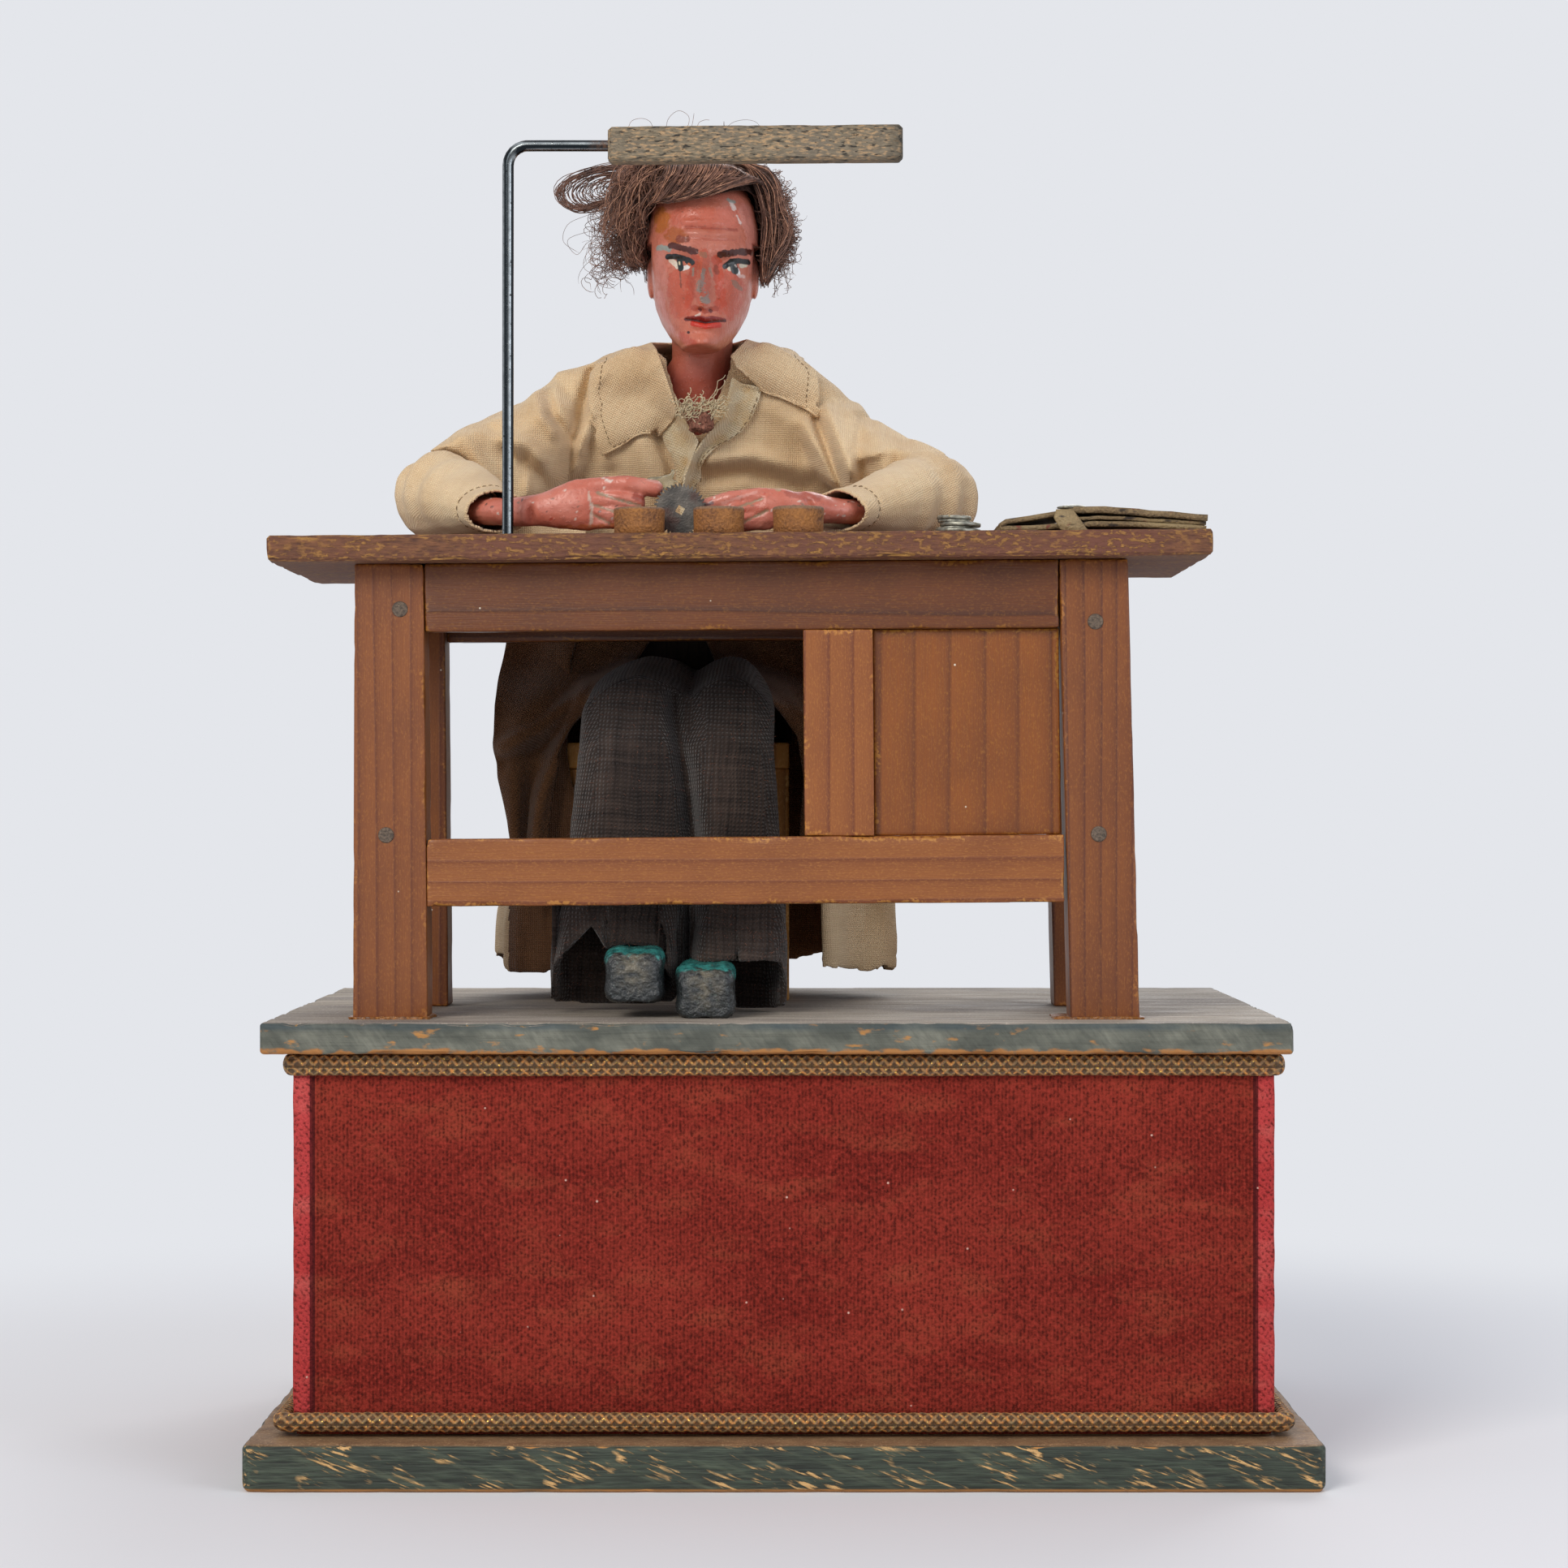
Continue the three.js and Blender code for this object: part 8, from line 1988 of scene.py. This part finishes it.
# Trousers. Coarse dark brown wool in plain weave, cut wide, hanging in two tubes over the knees.
# Their hems stand open in front of the shoes, the left one folded up at its outer side.
# Wool yarns lie 1.45 mm apart, as in the photograph, and are fuzzy and uneven.
wool = woven("coarse brown wool", 1.45 * mm, "#050404", "#2b221f", "#66554c", "#1c1615", 30 * mm, 0.2)
form = even_skin("trousers", 1.25 * mm, 6)
hem_x = [
    -86, -84.2, -79.7, -69.5, -66.2, -63.9, -56.1, -47.1, -43.7, -39.2, -36.4, -33.6, -26.8, -17.8, -6.6,
    -0.9, 1.3
]
hem_z = [
    164, 177.8, 184.6, 194.7, 190.2, 186.3, 187.7, 186.3, 180.1, 171, 172, 180.6, 181.2, 181.8, 182.3, 181.2,
    172.2
]
front_low = {}
for vert in form.verts:
    if vert.co.y < -66 * mm:
        column = round(vert.co.x / (mm))
        front_low[column] = min(front_low.get(column, 1.0), vert.co.z)
lowest = min(vert.co.z for vert in form.verts)
for vert in form.verts:
    if vert.co.z < lowest + 12 * mm:
        vert.co.z -= (lowest - 162.9 * mm) * (1 - (vert.co.z - lowest) / (12 * mm))
    co = vert.co.copy()
    column = round(co.x / (mm))
    if co.z < 225 * mm and column in front_low:
        in_front = clamp((-58 * mm - co.y) / (8 * mm))
        lifted = float(np.interp(co.x / mm, hem_x, hem_z)) * mm - front_low[column]
        vert.co.z += lifted * in_front * (225 * mm - co.z) / (225 * mm - front_low[column])
    mid_x = -62 * mm if co.x < -37 * mm else -16 * mm
    out = Vector((co.x - mid_x, co.y + 55 * mm, 0))
    out = out.normalized() if out.length > 1e-6 else out
    soft = noise.noise(co * 30) * 1.1 + noise.noise(co * 85) * 0.45
    vert.co += out * soft * mm
folds = [
    ([(-70, -78, 262), (-58, -80, 240), (-50, -80, 210)], 4, 1.2),
    ([(-76, -70, 250), (-74, -74, 222)], 3.5, -1.2),
    ([(-30, -80, 262), (-24, -80, 236), (-20, -80, 205)], 4, 1.0),
    ([(-12, -76, 255), (-8, -76, 225)], 3.5, -1.0),
    ([(-68, -80, 196), (-60, -80, 205), (-50, -80, 200)], 3.2, 1.4),
    ([(-66, -80, 190), (-73, -78, 184)], 2.6, 1.2),
]
lift = line_lift(places_of(form), folds)
for vert, rise in zip(form.verts, lift):
    vert.co.y -= rise
form.normal_update()
parting = line_lift(
    places_of(form)[:, [0, 2]],
    [([(-41, 278), (-40, 268), (-37, 251), (-33, 226), (-33, 200), (-37, 176)], 2.8, -8)]
)
swell = line_lift(
    places_of(form)[:, [0, 2]],
    [([(-62, 272), (-61, 250), (-60, 215)], 13, 2.5), ([(-15, 272), (-15, 250), (-15, 215)], 12, 2.0)]
)
for vert, sunk, full in zip(form.verts, parting, swell):
    if vert.normal.y < 0:
        vert.co.y -= (sunk + full) * min(1.0, -vert.normal.y * 2)
form.normal_update()
cloth_map(form, 0.04)
trousers = link_piece("trousers_wool", form, wool)
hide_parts("trousers")
declare_cloth(trousers)

# Trouser hems. The last hand's breadth of each leg stands open in front of the shoe and flares, with
# its raw edge turned in. The left one is folded up at its outer side.
lap_shape = BVHTree.FromObject(trousers, bpy.context.evaluated_depsgraph_get())
for side, first_x, last_x in (("left", -83.4, -37.2), ("right", -40.6, 0.2)):
    form = bmesh.new()
    columns = []
    last_y = -78.0
    count = round((last_x - first_x) / 0.7)
    for step in range(count + 1):
        x = first_x + (last_x - first_x) * step / count
        hem = float(np.interp(x, hem_x, hem_z))
        column = []
        for row in range(25):
            up = row / 24
            z = hem + (213 - hem) * up
            hit, _ = seen_from_front(lap_shape, x * mm, 206 * mm, -140 * mm)
            last_y = hit.y / mm if hit is not None and hit.y < -30 * mm else last_y
            edge = min(1.0, 4.5 * min(x - first_x, last_x - x) / (last_x - first_x))
            roll = 1.6 * (1 - up) ** 2 + 0.5 * noise.noise(Vector((x * 0.12, z * 0.12, 4)))
            column.append(
                form.verts.new(Vector((x, last_y - 0.9 - roll * edge + 3.5 * (1 - edge) ** 2, z)) * mm)
            )
        columns.append(column)
    join_rows(form, columns, True)
    smooth_form(form, 12, "y")
    form.normal_update()
    cloth_map(form, 0.04)
    cuff = link_piece("trouser_hem_" + side, form, wool)
    give_wall(cuff, 1.5, 0)
    declare_cloth(cuff)

# Coat fronts. The open fronts of the blouse fall from the waist over the knees and hang down at
# both sides, browned inside by dirt and darkened further as painted shade, with the folds running from the
# waist outward.
falls = {
    "left": (
        [(-50, 306), (-60, 289), (-70, 280), (-79, 271), (-86, 258), (-89, 240), (-91, 218), (-93, 204)],
        [
            (-108, 306), (-110, 290), (-111.5, 276), (-111.5, 262), (-109.5, 248), (-105.5, 232), (-102, 214),
            (-102, 200)
        ],
    ),
    "right": (
        [(-32, 306), (-26, 292), (-16, 284), (-4, 276), (5, 264), (8, 248), (6, 228), (6, 212)],
        [(36, 306), (38, 290), (40, 276), (41, 262), (41, 248), (40, 232), (40, 220), (40, 212)],
    ),
}
for side, (inner, outer) in falls.items():
    form = bmesh.new()
    rows = []
    for step in range(61):
        first, last = part_way(inner, step / 60), part_way(outer, step / 60)
        row = []
        for cell in range(37):
            over = cell / 36
            x, z = first.lerp(last, over)
            hit, _ = seen_from_front(lap_shape, x * mm, z * mm, -120 * mm)
            y = min(hit.y / mm - 2, 8) if hit is not None and hit.y < 0 else 8
            behind = clamp((z - 275) / 22)
            y += (30 - y) * behind * behind * (3 - 2 * behind)
            row.append(form.verts.new(Vector((x, max(y, -84), z)) * mm))
        rows.append(row)
    join_rows(form, rows, True)
    smooth_form(form, 60, "y")
    for step, row in enumerate(rows):
        for cell, vert in enumerate(row):
            over = cell / 36
            swing = math.sin(over * 9 - step * 0.085 + 0.8) * 2.4 + 1.1 * noise.noise(vert.co * 45)
            vert.co.y += swing * mm * min(1.0, 0.25 + over)
            vert.co.x += 0.8 * mm * noise.noise(vert.co * 60)
    ridges = {
        "left": [
            ([(-108, 260), (-94, 267), (-76, 283), (-58, 291)], 2.6, 4.2),
            ([(-106, 254), (-92, 260), (-77, 274)], 3.0, -3.0),
            ([(-76, 283), (-84, 262), (-93, 241), (-96, 226)], 2.4, 3.0),
            ([(-90, 262), (-98, 242), (-100, 224)], 3.0, -2.2),
        ],
        "right": [
            ([(-18, 292), (-2, 283), (12, 268), (20, 250)], 2.6, 3.2),
            ([(-6, 293), (12, 284), (26, 266)], 3.0, -2.4)
        ],
    }
    raised = line_lift(places_of(form)[:, [0, 2]], ridges[side])
    for vert, rise in zip(form.verts, raised):
        vert.co.y -= rise
    form.normal_update()
    cloth_map(form, 0.5 if side == "left" else -0.5)
    fall = link_piece("coat_front_" + side, form, linen_dirt_and_painted_shade)
    give_wall(fall, 0.9)
    declare_cloth(fall)

# Wool fuzz. Short loose fibres of brown yarn stand off the trousers' hems and knees, each a bent
# thread that starts on the cloth.
fibres = []
for number in range(900):
    x = between(-84, 0)
    z = between(166, 280) if number % 3 else between(166, 200)
    hit, facing = seen_from_front(lap_shape, x * mm, z * mm, -110 * mm)
    if hit is None or hit.y > -40 * mm:
        continue
    drift = Vector((between(-1, 1), between(-0.6, 0.2), between(-1, 1)))
    tip = hit + facing * between(0.4, 1.1) * mm + drift * mm
    fibres.append((hit, hit.lerp(tip, 0.5) + facing * 0.3 * mm, tip))
tubes("wool_fuzz", fibres, 0.06 * mm, fluff)

# Shoes. Carved wooden feet painted as square-toed black shoes with a teal strap over the instep.
# The toes are rubbed to a speckled grey, and the sides keep their gloss.
shoe_paint, tree, shader, place = start_finish("chipped black shoe paint")
paint = add_node(tree, "VertexColor", layer_name="paint")
mottle = grains(tree, place, 1.5 * mm, 0.4, 0.68, 5)
colour = blend_in(tree, mottle, paint, "#15181a", 0.35)
fleck = grains(tree, place, 0.7 * mm, 0.62, 0.7, 3)
colour = blend_in(tree, fleck, colour, "#7d9188", 0.3)
set_surface(tree, shader, colour, (mottle, 0.2, 0.45), mottle, 0.25 * mm)
for side in ("left", "right"):
    form = even_skin("shoe_" + side, 0.55 * mm, 4)
    low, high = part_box("shoe_" + side)
    mid_x = (low.x + high.x) / 2
    half_wide, half_tall, length = 10.4 * mm, 9.3 * mm, 46 * mm
    mid_z = low.z + half_tall
    tones = []
    for vert in form.verts:
        u, v = (vert.co.x - mid_x) / half_wide, (vert.co.z - mid_z) / half_tall
        if abs(v) < 1.05 and vert.co.y < low.y + 40 * mm:
            square = (u * u + v * v) ** 0.5 / max(1e-6, (u ** 4 + v ** 4) ** 0.25)
            square = 1 + (square - 1) * 0.8
            vert.co.x = mid_x + (vert.co.x - mid_x) * square
            vert.co.z = mid_z + (vert.co.z - mid_z) * square
        co = vert.co.copy()
        knife = 0.35 * noise.noise(co * 230) + 0.18 * noise.noise(co * 800)
        vert.co += vert.normal * knife * mm
        across = (co.x - mid_x) / half_wide
        up = (co.z - low.z) / (2 * half_tall)
        along = (co.y - low.y) / length
        rough = 0.12 * noise.noise(co * 300) + 0.08 * noise.noise(co * 900)
        toe = max(0.0, 1 - abs(across) / 0.75) * max(0.0, 1 - along / 0.35)
        speckle = 0.5 + 0.9 * noise.noise(co * 520)
        toe *= clamp(up * 1.8 - 0.15)
        tone = Vector(srgb("#25292b")[:3]).lerp(Vector(srgb("#6f6858")[:3]), clamp(toe * 1.5 * speckle))
        strap = up - 0.86 + 0.12 * across * across - 0.9 * max(0.0, 0.1 - along) + rough
        if along > 0.62:
            strap = 1 if up > 0.75 + rough else -1
        if strap > 0:
            teal = Vector(srgb("#3f958e")[:3]).lerp(
                Vector(srgb("#1f5a58")[:3]), clamp(0.4 + 1.2 * noise.noise(co * 420))
            )
            tone = tone.lerp(teal, min(1.0, strap * 14))
        tones.append(tone)
    paint_points(form, tones)
    shoe = link_piece("shoe_" + side + "_carved", form, shoe_paint)
    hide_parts("shoe_" + side)
